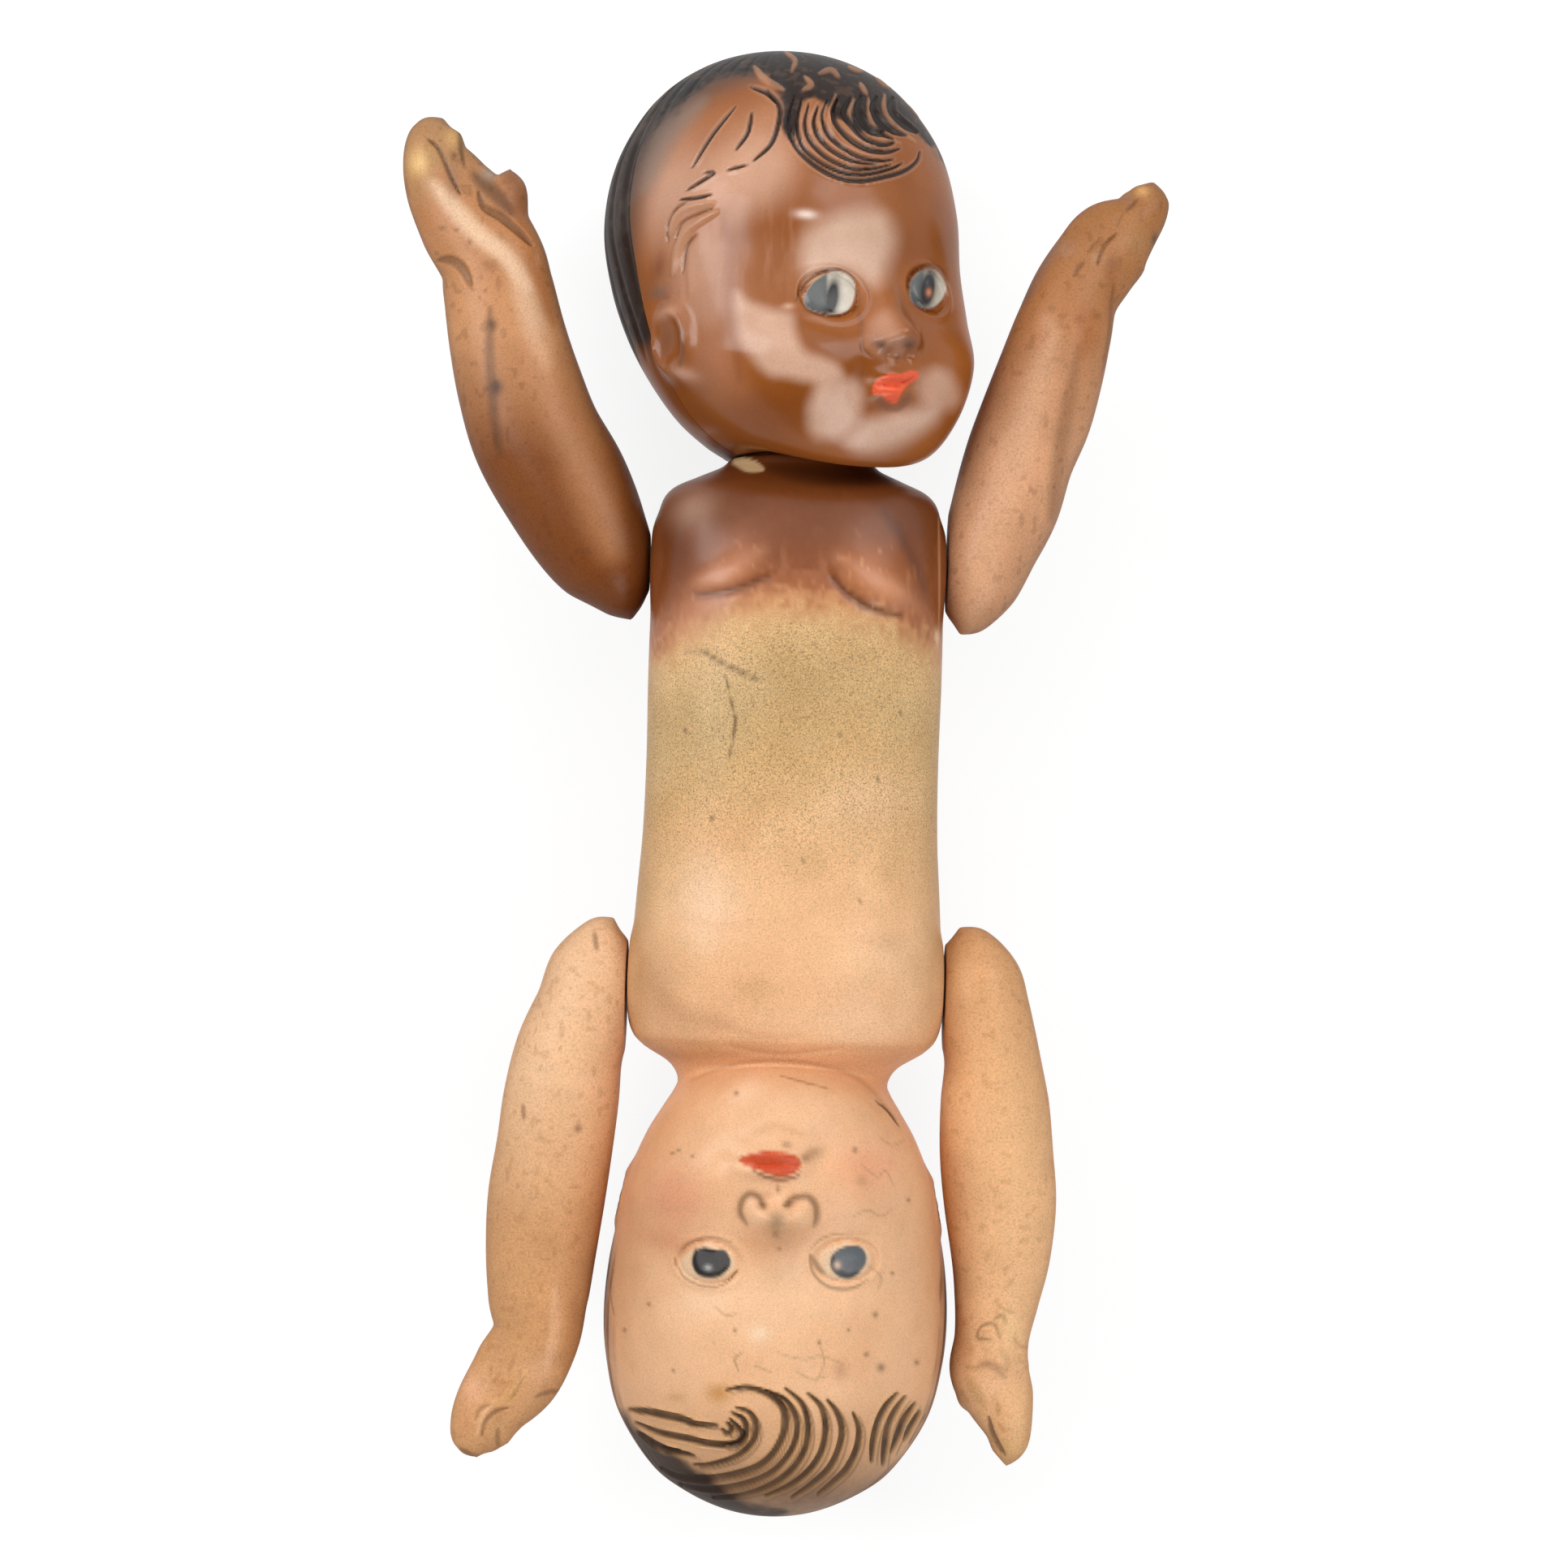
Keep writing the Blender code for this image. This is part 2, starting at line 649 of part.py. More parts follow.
def body_stations():
    """Stations of the lower head, its neck, the torso and the upper neck's stump."""
    head = (-SKULL_SETBACK, HEAD_WIDTH / 2, HEAD_FRONT, HEAD_BACK, CHIN_DROP)
    neck_depth = LOWER_NECK_DEPTH / 2
    neck = (-SKULL_SETBACK, LOWER_NECK_WIDTH / 2, neck_depth, neck_depth, CHIN_DROP)
    torso = (TORSO_RISE, TORSO_WIDTH / 2, TORSO_FRONT, TORSO_BACK, CHIN_DROP)
    stations = scaled(LOWER_HEAD_SHARES, LOWER_CROWN_Y, LOWER_HEAD_LENGTH, head)
    stations += scaled(LOWER_NECK_SHARES, LOWER_NECK_Y, LOWER_HEAD_LENGTH, neck)
    stations += scaled(TORSO_SHARES, LOWER_NECK_Y, TORSO_LENGTH, torso)
    for height, radius in STUMP_SHARES:
        at = UPPER_NECK_Y + height * STUMP_HEIGHT
        stations.append((at, 0, *(radius * STUMP_RADIUS,) * 3, 0, 2.0))
    steps = LOWER_HEAD_STEPS + LOWER_NECK_STEPS + TORSO_STEPS + STUMP_STEPS
    return stations, steps


def head_stations():
    """Stations of the upper head in its own frame, from the crown down to its socket."""
    sizes = (-SKULL_SETBACK, HEAD_WIDTH / 2, HEAD_FRONT, HEAD_BACK, -CHIN_DROP)
    stations = scaled(UPPER_HEAD_SHARES, UPPER_HEAD_LENGTH, -UPPER_HEAD_LENGTH, sizes)
    rim_radius = SOCKET_RADIUS + SOCKET_LIP
    at = UPPER_HEAD_LENGTH * (1 - SOCKET_RIM_SHARES[0])
    stations.append((at, 0, *(rim_radius,) * 3, 0, 2.0))
    return stations, UPPER_HEAD_STEPS


def chest_relief(points):
    """Soft swellings of both chests, one pair to each half doll."""
    rise = 0
    for share in BREAST_PLACE_SHARES:
        for side in (-1, 1):
            rise = rise + BREAST_RISE * swell(
                points[..., 0],
                points[..., 1],
                side * BREAST_REACH,
                LOWER_NECK_Y + share * TORSO_LENGTH,
                BREAST_RADIUS,
                BREAST_RADIUS,
            )
    return rise


def shoulder_stubs(name, shell, front):
    """Adds a half boss at each shoulder of a body shell and bores the hook's hole."""
    lift = (GLUE_LINE / 2 + BOSS_SEAT_LIFT) * (1 if front else -1)
    sweep = np.linspace(0, math.pi, ROUND_SIDES // 2 + 1) * (1 if front else -1)
    for label, share, reach in (
        ("lower", LOWER_SHOULDER_SHARE, LOWER_SHOULDER_REACH),
        ("upper", UPPER_SHOULDER_SHARE, UPPER_SHOULDER_REACH),
    ):
        y = LOWER_NECK_Y + share * TORSO_LENGTH
        for side, hand in ((-1, "left"), (1, "right")):
            middle = (y, SHOULDER_Z + lift)
            arc = [
                (middle[0] + BOSS_RADIUS * math.cos(a), middle[1] + BOSS_RADIUS * math.sin(a))
                for a in sweep
            ]
            count = len(arc)
            points = [(side * reach, *point) for point in arc]
            points += [(side * (reach - SHELL_WALL), *point) for point in arc]
            faces = [tuple(range(count)), tuple(range(count, 2 * count))]
            faces += [(k, (k + 1) % count, count + (k + 1) % count, count + k) for k in range(count)]
            boolean(shell, mesh_object(f"{name}_{label}_{hand}_boss", points, faces), "UNION")
            seat = Matrix.Translation((side * (reach - SHELL_WALL), y, SHOULDER_Z))
            bore = cylinder(
                f"{name}_{label}_{hand}_bore",
                SHOULDER_BORE,
                SHELL_WALL * 2 + CUT_OVERRUN,
                seat @ QUARTER_TURN,
                sides=BORE_SIDES,
            )
            boolean(shell, bore, "DIFFERENCE")


def cylinder(name, radius, length, place, sides=ROUND_SIDES):
    """A plain cylinder along its own Z axis, centred at the place."""
    mesh = bpy.data.meshes.new(name)
    work = bmesh.new()
    bmesh.ops.create_cone(
        work, cap_ends=True, segments=sides, radius1=radius, radius2=radius, depth=length
    )
    work.to_mesh(mesh)
    work.free()
    return add_object(name, mesh, place)


def block(name, low, high):
    """A box between two corners, for a flat cut."""
    corners = [(x, y, z) for x in (low[0], high[0]) for y in (low[1], high[1]) for z in (low[2], high[2])]
    faces = [(0, 1, 3, 2), (4, 6, 7, 5), (0, 4, 5, 1), (2, 3, 7, 6), (0, 2, 6, 4), (1, 5, 7, 3)]
    return mesh_object(name, corners, faces)


def coarse_rows(stations):
    """One row to each station, for the backs and the hollows."""
    return smooth_rows(stations, (1,) * (len(stations) - 1), from_pole=True)


def make_body():
    """The two half shells of the torso and the lower head."""
    stations, steps = body_stations()
    fine = smooth_rows(stations, steps, from_pole=True)
    coarse = coarse_rows(stations)
    shells = []
    for name, front, rows, columns, crowding in (
        ("body_front_shell", True, fine, FACE_COLUMNS, FACE_CROWDING),
        ("body_back_shell", False, coarse, BACK_COLUMNS, 1.0),
    ):
        outer = loft(rows, half_turn(columns, crowding, front))
        up = LOWER_NECK_Y - outer[..., 1]
        if front:
            outer[..., 2] += face_relief(outer[..., 0], up, LOWER_FACE) + chest_relief(outer)
        outer[..., 0] += ear_relief(outer, up, LOWER_FACE)
        hollow = cavity_rows(coarse, SHELL_WALL, heading=1)
        hollow = round_mouth(hollow, 1, UPPER_NECK_Y - MOUTH_STEP, coarse[-1, 0], STUMP_BORE)
        inner = loft(hollow, half_turn(CAVITY_COLUMNS, 1, front))
        for grid in (outer, inner):
            grid[..., 2] += AXIS_Z + (GLUE_LINE if front else -GLUE_LINE) / 2
        shell = half_shell(name, outer, inner)
        shoulder_stubs(name, shell, front)
        paint(shell, PEACH_PAINT)
        shells.append(shell)
    table = block(
        "rest_flat_cut",
        (-HEAD_WIDTH, -HEAD_WIDTH, -CUT_OVERRUN),
        (HEAD_WIDTH, HEAD_WIDTH, 0),
    )
    boolean(shells[1], table, "DIFFERENCE")


def head_place():
    """Where the upper head sits: on the stump, turned and a little tilted."""
    place = Matrix.Translation((0, PIVOT_Y, AXIS_Z))
    return place @ Matrix.Rotation(HEAD_TILT, 4, "Z") @ Matrix.Rotation(HEAD_YAW, 4, "Y")


def make_upper_head():
    """The two half shells of the swivel head, with a round socket for the stump."""
    stations, steps = head_stations()
    fine = smooth_rows(stations, steps, from_pole=True)
    coarse = coarse_rows(stations)
    for name, front, rows, columns, crowding in (
        ("upper_head_face_shell", True, fine, FACE_COLUMNS, FACE_CROWDING),
        ("upper_head_back_shell", False, coarse, BACK_COLUMNS, 1.0),
    ):
        outer = loft(rows, half_turn(columns, crowding, front), NAPE_SQUARENESS_SHARE)
        if front:
            outer[..., 2] += face_relief(outer[..., 0], outer[..., 1], UPPER_FACE)
        outer[..., 0] += ear_relief(outer, outer[..., 1], UPPER_FACE)
        hollow = cavity_rows(coarse, SHELL_WALL, heading=-1)
        hollow = round_mouth(hollow, -1, SOCKET_DEPTH, coarse[-1, 0], SOCKET_RADIUS)
        hollow[:, 5] = 0
        inner = loft(hollow, half_turn(CAVITY_COLUMNS, 1, front), NAPE_SQUARENESS_SHARE)
        for grid in (outer, inner):
            grid[..., 2] += (GLUE_LINE if front else -GLUE_LINE) / 2
        paint(half_shell(name, outer, inner, head_place()), BROWN_PAINT)


def limb(name, shares, steps, overhang, sign_x, sign_y, place):
    """A solid limb lofted along its centre line, round at both ends.

    Each station gives the way out, the way along, the half width and the half depth.
    The sections are ellipses square to the centre line, which lies in the X-Y plane.
    """
    table = np.array(shares)
    bow = overhang * np.clip(table[:, 1] / ARM_BOW_SHARE, 0, 1)
    stations = np.stack(
        [
            table[:, 0] * ARM_SPREAD + bow,
            table[:, 1] * ARM_LENGTH,
            table[:, 2] * ARM_WIDTH,
            table[:, 3] * ARM_DEPTH,
            np.zeros(len(table)),
        ],
        axis=1,
    )
    inner = smooth_rows(stations, (steps,) * (len(shares) - 1), from_pole=False)
    inner[:, 2:4] = np.maximum(inner[:, 2:4], 0)
    path = inner[:, :2]
    heading = np.gradient(path, axis=0)
    heading /= np.linalg.norm(heading, axis=1, keepdims=True)
    aside = np.stack([heading[:, 1], -heading[:, 0]], axis=1)
    turn = np.linspace(0, 2 * math.pi, ARM_SIDES, endpoint=False)
    ring = path[1:-1, None, :] + aside[1:-1, None, :] * (inner[1:-1, 2:3] * np.cos(turn))[..., None]
    height = inner[1:-1, 3:4] * np.sin(turn)
    points = [(path[0, 0], path[0, 1], 0.0)]
    points += [tuple(p) for p in np.concatenate([ring, height[..., None]], axis=-1).reshape(-1, 3)]
    points += [(path[-1, 0], path[-1, 1], 0.0)]
    points = [(sign_x * x, sign_y * y, z) for x, y, z in points]
    rings = len(path) - 2
    faces = []
    last = len(points) - 1
    for k in range(ARM_SIDES):
        after = (k + 1) % ARM_SIDES
        faces.append((0, 1 + after, 1 + k))
        faces.append((last, last - ARM_SIDES + k, last - ARM_SIDES + after))
        for ring_at in range(rings - 1):
            low = 1 + ring_at * ARM_SIDES
            faces.append((low + k, low + after, low + ARM_SIDES + after, low + ARM_SIDES + k))
    return mesh_object(name, points, faces, place)


def wire(name, points, radius, place=None, closed=False, finish=STEEL_WIRE, metallic=1.0):
    """A round wire or cord along the points, which are counted from the place."""
    curve = bpy.data.curves.new(name, "CURVE")
    curve.dimensions = "3D"
    curve.bevel_depth = radius
    curve.bevel_resolution = 2
    curve.use_fill_caps = not closed
    spline = curve.splines.new("POLY")
    spline.points.add(len(points) - 1)
    for spot, point in zip(spline.points, points):
        spot.co = (*point, 1.0)
    spline.use_cyclic_u = closed
    obj = add_object(name, curve, place)
    paint(obj, finish, metallic)
    return obj


def hook_eye(centre_along, radius, start, end):
    """Points of a hook's eye in the plane of its shank, as (along, aside) pairs."""
    count = max(2, round(abs(end - start) / HOOK_STEP))
    sweep = [start + (end - start) * k / count for k in range(count + 1)]
    return [(centre_along + radius * math.cos(a), radius * math.sin(a)) for a in sweep]


def make_arm(name, shares, thumb_shares, side, upward, reach, shoulder_y):
    """One arm with its hook, which shares the shoulder's axis."""
    face_x = reach + RUNNING_GAP
    place = Matrix.Translation((side * face_x, shoulder_y, SHOULDER_Z))
    bow = HEAD_WIDTH / 2 - reach
    arm = limb(name, shares, ARM_STEPS, bow, side, upward, place)
    thumb = limb(name + "_thumb", thumb_shares, THUMB_STEPS, bow, side, upward, place)
    boolean(arm, thumb, "UNION")
    near, far = sorted((side * (face_x - ARM_WIDTH), side * face_x))
    flat = block(
        name + "_flat_cut",
        (near, shoulder_y - ARM_LENGTH, SHOULDER_Z - ARM_WIDTH),
        (far, shoulder_y + ARM_LENGTH, SHOULDER_Z + ARM_WIDTH),
    )
    boolean(arm, flat, "DIFFERENCE")
    seat = cylinder(
        name + "_hook_seat",
        WIRE_RADIUS + RUNNING_GAP,
        2 * (HOOK_SEAT_DEPTH + RUNNING_GAP),
        place @ QUARTER_TURN,
        sides=BORE_SIDES,
    )
    boolean(arm, seat, "DIFFERENCE")
    paint(arm, BROWN_ARM_PAINT if upward > 0 else PEACH_ARM_PAINT)
    path = [(HOOK_SEAT_DEPTH, 0), (HOOK_RADIUS + 2 * HOOK_FLARE - HOOK_EYE_INSET, 0)]
    path.append((HOOK_RADIUS + HOOK_FLARE / 2 - HOOK_EYE_INSET, 0))
    path += hook_eye(-HOOK_EYE_INSET, HOOK_RADIUS, *HOOK_EYE_ARC)
    wire(name + "_hook", [(side * x, aside, 0) for x, aside in path], WIRE_RADIUS, place)


def make_arms():
    """Both pairs of arms, each from its own outline."""
    upper = (1, UPPER_SHOULDER_REACH, LOWER_NECK_Y + UPPER_SHOULDER_SHARE * TORSO_LENGTH)
    lower = (-1, LOWER_SHOULDER_REACH, LOWER_NECK_Y + LOWER_SHOULDER_SHARE * TORSO_LENGTH)
    make_arm("upper_left_arm", UPPER_LEFT_ARM_SHARES, UPPER_LEFT_THUMB_SHARES, -1, *upper)
    make_arm("upper_right_arm", UPPER_RIGHT_ARM_SHARES, UPPER_RIGHT_THUMB_SHARES, 1, *upper)
    make_arm("lower_left_arm", LOWER_LEFT_ARM_SHARES, LOWER_LEFT_THUMB_SHARES, -1, *lower)
    make_arm("lower_right_arm", LOWER_RIGHT_ARM_SHARES, LOWER_RIGHT_THUMB_SHARES, 1, *lower)


def elastic_loop(name, reach, shoulder_y, peak_y):
    """A rubber loop from one arm hook to the other, drawn up to the head's hook if any.

    Both strands start round the far end of each hook's eye. The loop is a flat ring in
    the X-Z plane that is bent upwards in the middle.
    """
    bight = reach + RUNNING_GAP - HOOK_EYE_INSET - HOOK_RADIUS
    bend = WIRE_RADIUS + ELASTIC_RADIUS + RUNNING_GAP
    waist = ELASTIC_RADIUS + RUNNING_GAP / 2
    half = []
    for k in range(-ELASTIC_BEND_STEPS, ELASTIC_BEND_STEPS + 1):
        angle = math.pi / 2 * k / ELASTIC_BEND_STEPS
        half.append((bight + bend * math.cos(angle), shoulder_y, bend * math.sin(angle)))
    strand = []
    lift = peak_y - shoulder_y
    for share in STRAND_SHARES:
        width = bend if not lift else waist + (bend - waist) * abs(share)
        strand.append((share * bight, shoulder_y + lift * (1 - abs(share)), width))
    loop = half + strand
    loop += [(-x, y, -z) for x, y, z in half]
    loop += [(-x, y, -z) for x, y, z in strand]
    place = Matrix.Translation((0, 0, SHOULDER_Z))
    wire(name, loop, ELASTIC_RADIUS, place, closed=True, finish=RUBBER, metallic=0.0)


def make_head_hook(eye_drop, turned):
    """The S-shaped wire between the head's crossbar and the upper arms' elastic.

    Its top end goes round the bar, square to it. Its bottom eye lies across the elastic.
    Heights are counted from the pivot of the head.
    """
    bend = CROSSBAR_RADIUS + RUNNING_GAP + WIRE_RADIUS
    top = hook_eye(CROSSBAR_RISE, bend, *HEAD_HOOK_TOP_ARC)
    points = [turned @ Vector((0, along, aside)) for along, aside in top]
    points.append((0, CROSSBAR_RISE - bend - HOOK_FLARE, 0))
    points.append((0, HEAD_HOOK_RADIUS + HOOK_FLARE - eye_drop, 0))
    points += [(0, y, z) for y, z in hook_eye(-eye_drop, HEAD_HOOK_RADIUS, *HOOK_EYE_ARC)]
    wire("head_hook", points, WIRE_RADIUS, Matrix.Translation((0, PIVOT_Y, AXIS_Z)))


def make_stringing():
    """The rubber loops, the head's hook and the wooden bar that it hangs from."""
    upper_y = LOWER_NECK_Y + UPPER_SHOULDER_SHARE * TORSO_LENGTH
    lower_y = LOWER_NECK_Y + LOWER_SHOULDER_SHARE * TORSO_LENGTH
    eye_y = UPPER_NECK_Y - HEAD_HOOK_DROP
    flat_radius = HEAD_HOOK_RADIUS * math.cos(HOOK_STEP / 2)
    seat = flat_radius - WIRE_RADIUS - ELASTIC_RADIUS - RUNNING_GAP
    waist = ELASTIC_RADIUS + RUNNING_GAP / 2
    peak_y = eye_y - math.sqrt(max(0.0, seat**2 - waist**2))
    elastic_loop("upper_arm_elastic", UPPER_SHOULDER_REACH, upper_y, peak_y)
    elastic_loop("lower_arm_elastic", LOWER_SHOULDER_REACH, lower_y, lower_y)
    turned = Matrix.Rotation(HEAD_YAW, 4, "Y")
    make_head_hook(PIVOT_Y - eye_y, turned)
    place = Matrix.Translation((0, PIVOT_Y + CROSSBAR_RISE, AXIS_Z)) @ turned
    bar = cylinder(
        "head_crossbar",
        CROSSBAR_RADIUS,
        CROSSBAR_LENGTH,
        place @ QUARTER_TURN,
        sides=BORE_SIDES,
    )
    paint(bar, BARE_WOOD)


def main():
    """Builds the doll."""
    clear_scene()
    make_body()
    make_upper_head()
    make_arms()
    make_stringing()


main()
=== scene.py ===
"""Looks of the topsy turvy doll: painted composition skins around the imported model.

All shapes are worked out in millimetres in the frame of the model: the midline is x = 0,
the table z = 0, and +Y runs towards the crown of the upper, swivelling head. A skin is a
grid of points, its paint is a colour and a gloss for each point, and the fine specks and
pits come from the nodes of its material.
"""

import json
import logging
import math
from dataclasses import dataclass, field
from enum import Enum

import bmesh
import bpy
import numpy as np
from mathutils import Matrix, Vector

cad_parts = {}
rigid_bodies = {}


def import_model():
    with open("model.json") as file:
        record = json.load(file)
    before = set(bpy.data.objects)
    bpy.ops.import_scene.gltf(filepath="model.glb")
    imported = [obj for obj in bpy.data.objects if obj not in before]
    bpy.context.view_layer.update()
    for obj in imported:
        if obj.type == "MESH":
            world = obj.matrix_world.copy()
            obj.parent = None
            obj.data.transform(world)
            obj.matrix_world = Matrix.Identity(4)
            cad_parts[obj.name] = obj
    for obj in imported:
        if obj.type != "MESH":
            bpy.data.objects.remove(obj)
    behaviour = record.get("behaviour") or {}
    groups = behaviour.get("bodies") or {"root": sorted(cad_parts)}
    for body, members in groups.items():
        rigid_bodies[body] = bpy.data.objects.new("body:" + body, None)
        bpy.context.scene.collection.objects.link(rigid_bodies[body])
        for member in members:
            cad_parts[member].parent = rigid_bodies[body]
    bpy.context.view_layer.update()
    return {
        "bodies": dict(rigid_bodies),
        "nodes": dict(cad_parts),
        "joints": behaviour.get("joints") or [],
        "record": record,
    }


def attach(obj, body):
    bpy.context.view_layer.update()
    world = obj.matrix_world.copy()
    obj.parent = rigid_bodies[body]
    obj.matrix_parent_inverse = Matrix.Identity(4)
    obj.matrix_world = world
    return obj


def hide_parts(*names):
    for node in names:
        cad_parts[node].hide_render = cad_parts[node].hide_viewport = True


LOG = logging.getLogger("topsy_turvy_doll")
MM = 0.001

Array = np.ndarray
Pair = tuple[float, float]
Colour = tuple[float, float, float]
Line = tuple[Pair, ...]
Socket = bpy.types.NodeSocket
Tree = bpy.types.NodeTree

# How far a surface must turn to the picture before a mark shows on it, as a cosine
SEEN = (0.0, 0.12)
# Cosines between which painted shade grows on the sides of the arms that the picture plane shows edge on
RIM = (0.62, 0.12)
RIM_SHADE = 0.42
# The varnish fades where the surface turns away, between these values of the facing
COAT_FADE = (0.12, 0.72)
COAT_IOR = 1.42
SPECULAR = 0.10
SPECK_STOPS = ((0.33, 0.48), (0.42, 0.88), (0.52, 1.0), (0.64, 1.24))
TONE_STOPS = ((0.30, 0.95), (0.70, 1.04))
TONE_SIZE = 5.0
BARE_COMPOSITION = (120, 96, 70)
# Watts for each square metre of a lamp at a brightness of 1
LAMP_WATTS = 4
# Reach of the flat bosses from the midline, and their place along the torso
UPPER_SHOULDER = (20.2, 0.826)
LOWER_SHOULDER = (21.6, 0.165)


class Side(Enum):
    """The two sides of the doll, as the sign of x."""

    LEFT = -1
    RIGHT = 1


class Half(Enum):
    """The face half and the back half of a moulded shell, as the sign of z."""

    FACE = 1
    BACK = -1


# --------------------------------------------------------------------------------------
# Sizes of the doll, in millimetres
# --------------------------------------------------------------------------------------
@dataclass(frozen=True)
class DollSizes:
    """Sizes that all the pieces share."""

    head_width: float = 47.8
    head_front: float = 25.6
    head_back: float = 26.2
    setback: float = 4.2
    chin_drop: float = 4.4
    lower_head_length: float = 60.3
    upper_head_length: float = 56.7
    torso_length: float = 85.6
    torso_width: float = 43.0
    torso_front: float = 15.6
    torso_back: float = 14.4
    torso_rise: float = 0.5
    neck_width: float = 29.0
    neck_depth: float = 24.4
    rest_share: float = 0.469
    rest_depth: float = 0.7
    stump_radius: float = 8.5
    stump_height: float = 3.2
    stump_bore: float = 6.0
    socket_radius: float = 9.1
    socket_lip: float = 1.5
    socket_depth: float = 3.4
    wall: float = 3.0
    pivot_rise: float = 0.5
    yaw: float = math.radians(32.0)
    tilt: float = math.radians(3.3)
    nape_share: float = 0.2

    @property
    def crown_y(self) -> float:
        """Place of the lower crown."""
        return -self.rest_share * self.lower_head_length

    @property
    def lower_neck_y(self) -> float:
        """Place of the lower neck."""
        return self.crown_y + self.lower_head_length

    @property
    def upper_neck_y(self) -> float:
        """Place of the foot of the upper neck."""
        return self.lower_neck_y + self.torso_length

    @property
    def axis_z(self) -> float:
        """Height of the doll's long axis over the table."""
        return self.head_back + self.setback - self.rest_depth


SIZES = DollSizes()

# Stations, with the columns: place along, setback, width, front, back, drop, squareness
LOWER_HEAD_SHARES = (
    (0, 1, 0, 0, 0, 0, 2),
    (0.022, 1, 0.318, 0.326, 0.33, 0, 2),
    (0.078, 1, 0.594, 0.597, 0.613, 0, 2),
    (0.138, 1, 0.753, 0.744, 0.774, 0, 2.05),
    (0.245, 1, 0.912, 0.907, 0.935, 0, 2.1),
    (0.362, 1, 0.983, 0.977, 0.989, 0, 2.1),
    (0.469, 1, 1, 1, 1, 0, 2.1),
    (0.585, 0.9, 0.975, 0.984, 0.981, 0, 2.2),
    (0.693, 0.65, 0.921, 0.977, 0.897, 0.05, 2.3),
    (0.784, 0.25, 0.87, 0.938, 0.782, 0.25, 2.4),
    (0.876, -0.15, 0.778, 0.845, 0.636, 0.7, 2.35),
    (0.942, -0.4, 0.682, 0.672, 0.521, 1, 2.2),
)
LOWER_NECK_SHARES = (
    (-0.017, -0.25, 1.02, 1.12, 1.02, 0.9, 2),
    (0.006, -0.1, 1, 1, 1, 0.7, 2),
)
TORSO_SHARES = (
    (0.029, 1, 0.735, 0.79, 0.861, 0.45, 2.1),
    (0.058, 1, 0.912, 0.84, 0.889, 0.2, 2.2),
    (0.088, 1, 0.986, 0.905, 0.944, 0.05, 2.35),
    (0.165, 1, 1, 1, 1, 0, 2.5),
    (0.292, 1, 0.972, 0.974, 0.972, 0, 2.5),
    (0.397, 1, 0.944, 0.949, 0.944, 0, 2.45),
    (0.514, 1, 0.935, 0.962, 0.931, 0, 2.4),
    (0.654, 1, 0.94, 0.987, 0.944, 0, 2.4),
    (0.771, 1, 0.935, 0.974, 0.958, 0, 2.45),
    (0.864, 1, 0.921, 0.936, 0.958, 0, 2.5),
    (0.92, 1, 0.895, 0.859, 0.903, 0, 2.4),
    (0.949, 1, 0.825, 0.775, 0.815, 0, 2.3),
    (0.969, 0.6, 0.67, 0.695, 0.74, 0, 2.1),
    (0.986, 0.2, 0.521, 0.641, 0.694, 0, 2),
)
STUMP_SHARES = (
    (-0.09, 1.19),
    (0.01, 1.14),
    (0.08, 1.01),
    (0.45, 1),
    (0.78, 0.97),
    (0.95, 0.89),
)
UPPER_HEAD_SHARES = (
    (0, 1.05, 0, 0, 0, 0, 2),
    (0.026, 1.05, 0.348, 0.34, 0.345, 0, 2),
    (0.083, 1.05, 0.605, 0.606, 0.61, 0, 2),
    (0.162, 1.05, 0.78, 0.79, 0.797, 0, 2.05),
    (0.277, 1.03, 0.926, 0.93, 0.94, 0, 2.1),
    (0.418, 0.98, 0.996, 0.988, 0.99, 0, 2.1),
    (0.559, 0.8, 0.978, 0.96, 0.965, 0, 2.2),
    (0.683, 0.5, 0.95, 0.96, 0.84, 0, 2.35),
    (0.797, -0.1, 0.92, 0.91, 0.69, 0.12, 2.42),
    (0.903, -0.48, 0.806, 0.766, 0.56, 0.7, 2.32),
    (0.968, -0.54, 0.645, 0.61, 0.46, 1.08, 2.15),
)
# Arms, with the columns: way out, way along, half width, half depth
UPPER_LEFT_ARM_SHARES = (
    (0.075, -0.112, 0, 0),
    (0.104, -0.082, 0.175, 0.26),
    (0.165, -0.022, 0.375, 0.45),
    (0.247, 0.058, 0.48, 0.505),
    (0.325, 0.157, 0.532, 0.52),
    (0.412, 0.254, 0.53, 0.51),
    (0.497, 0.353, 0.51, 0.49),
    (0.56, 0.45, 0.48, 0.46),
    (0.61, 0.549, 0.45, 0.42),
    (0.647, 0.612, 0.43, 0.39),
    (0.757, 0.69, 0.42, 0.34),
    (0.862, 0.76, 0.35, 0.29),
    (0.917, 0.82, 0.27, 0.25),
    (0.912, 0.872, 0.19, 0.18),
    (0.892, 0.898, 0, 0),
)
UPPER_LEFT_THUMB_SHARES = (
    (0.597, 0.61, 0, 0),
    (0.592, 0.66, 0.18, 0.2),
    (0.582, 0.72, 0.17, 0.2),
    (0.577, 0.768, 0.13, 0.16),
    (0.575, 0.796, 0, 0),
)
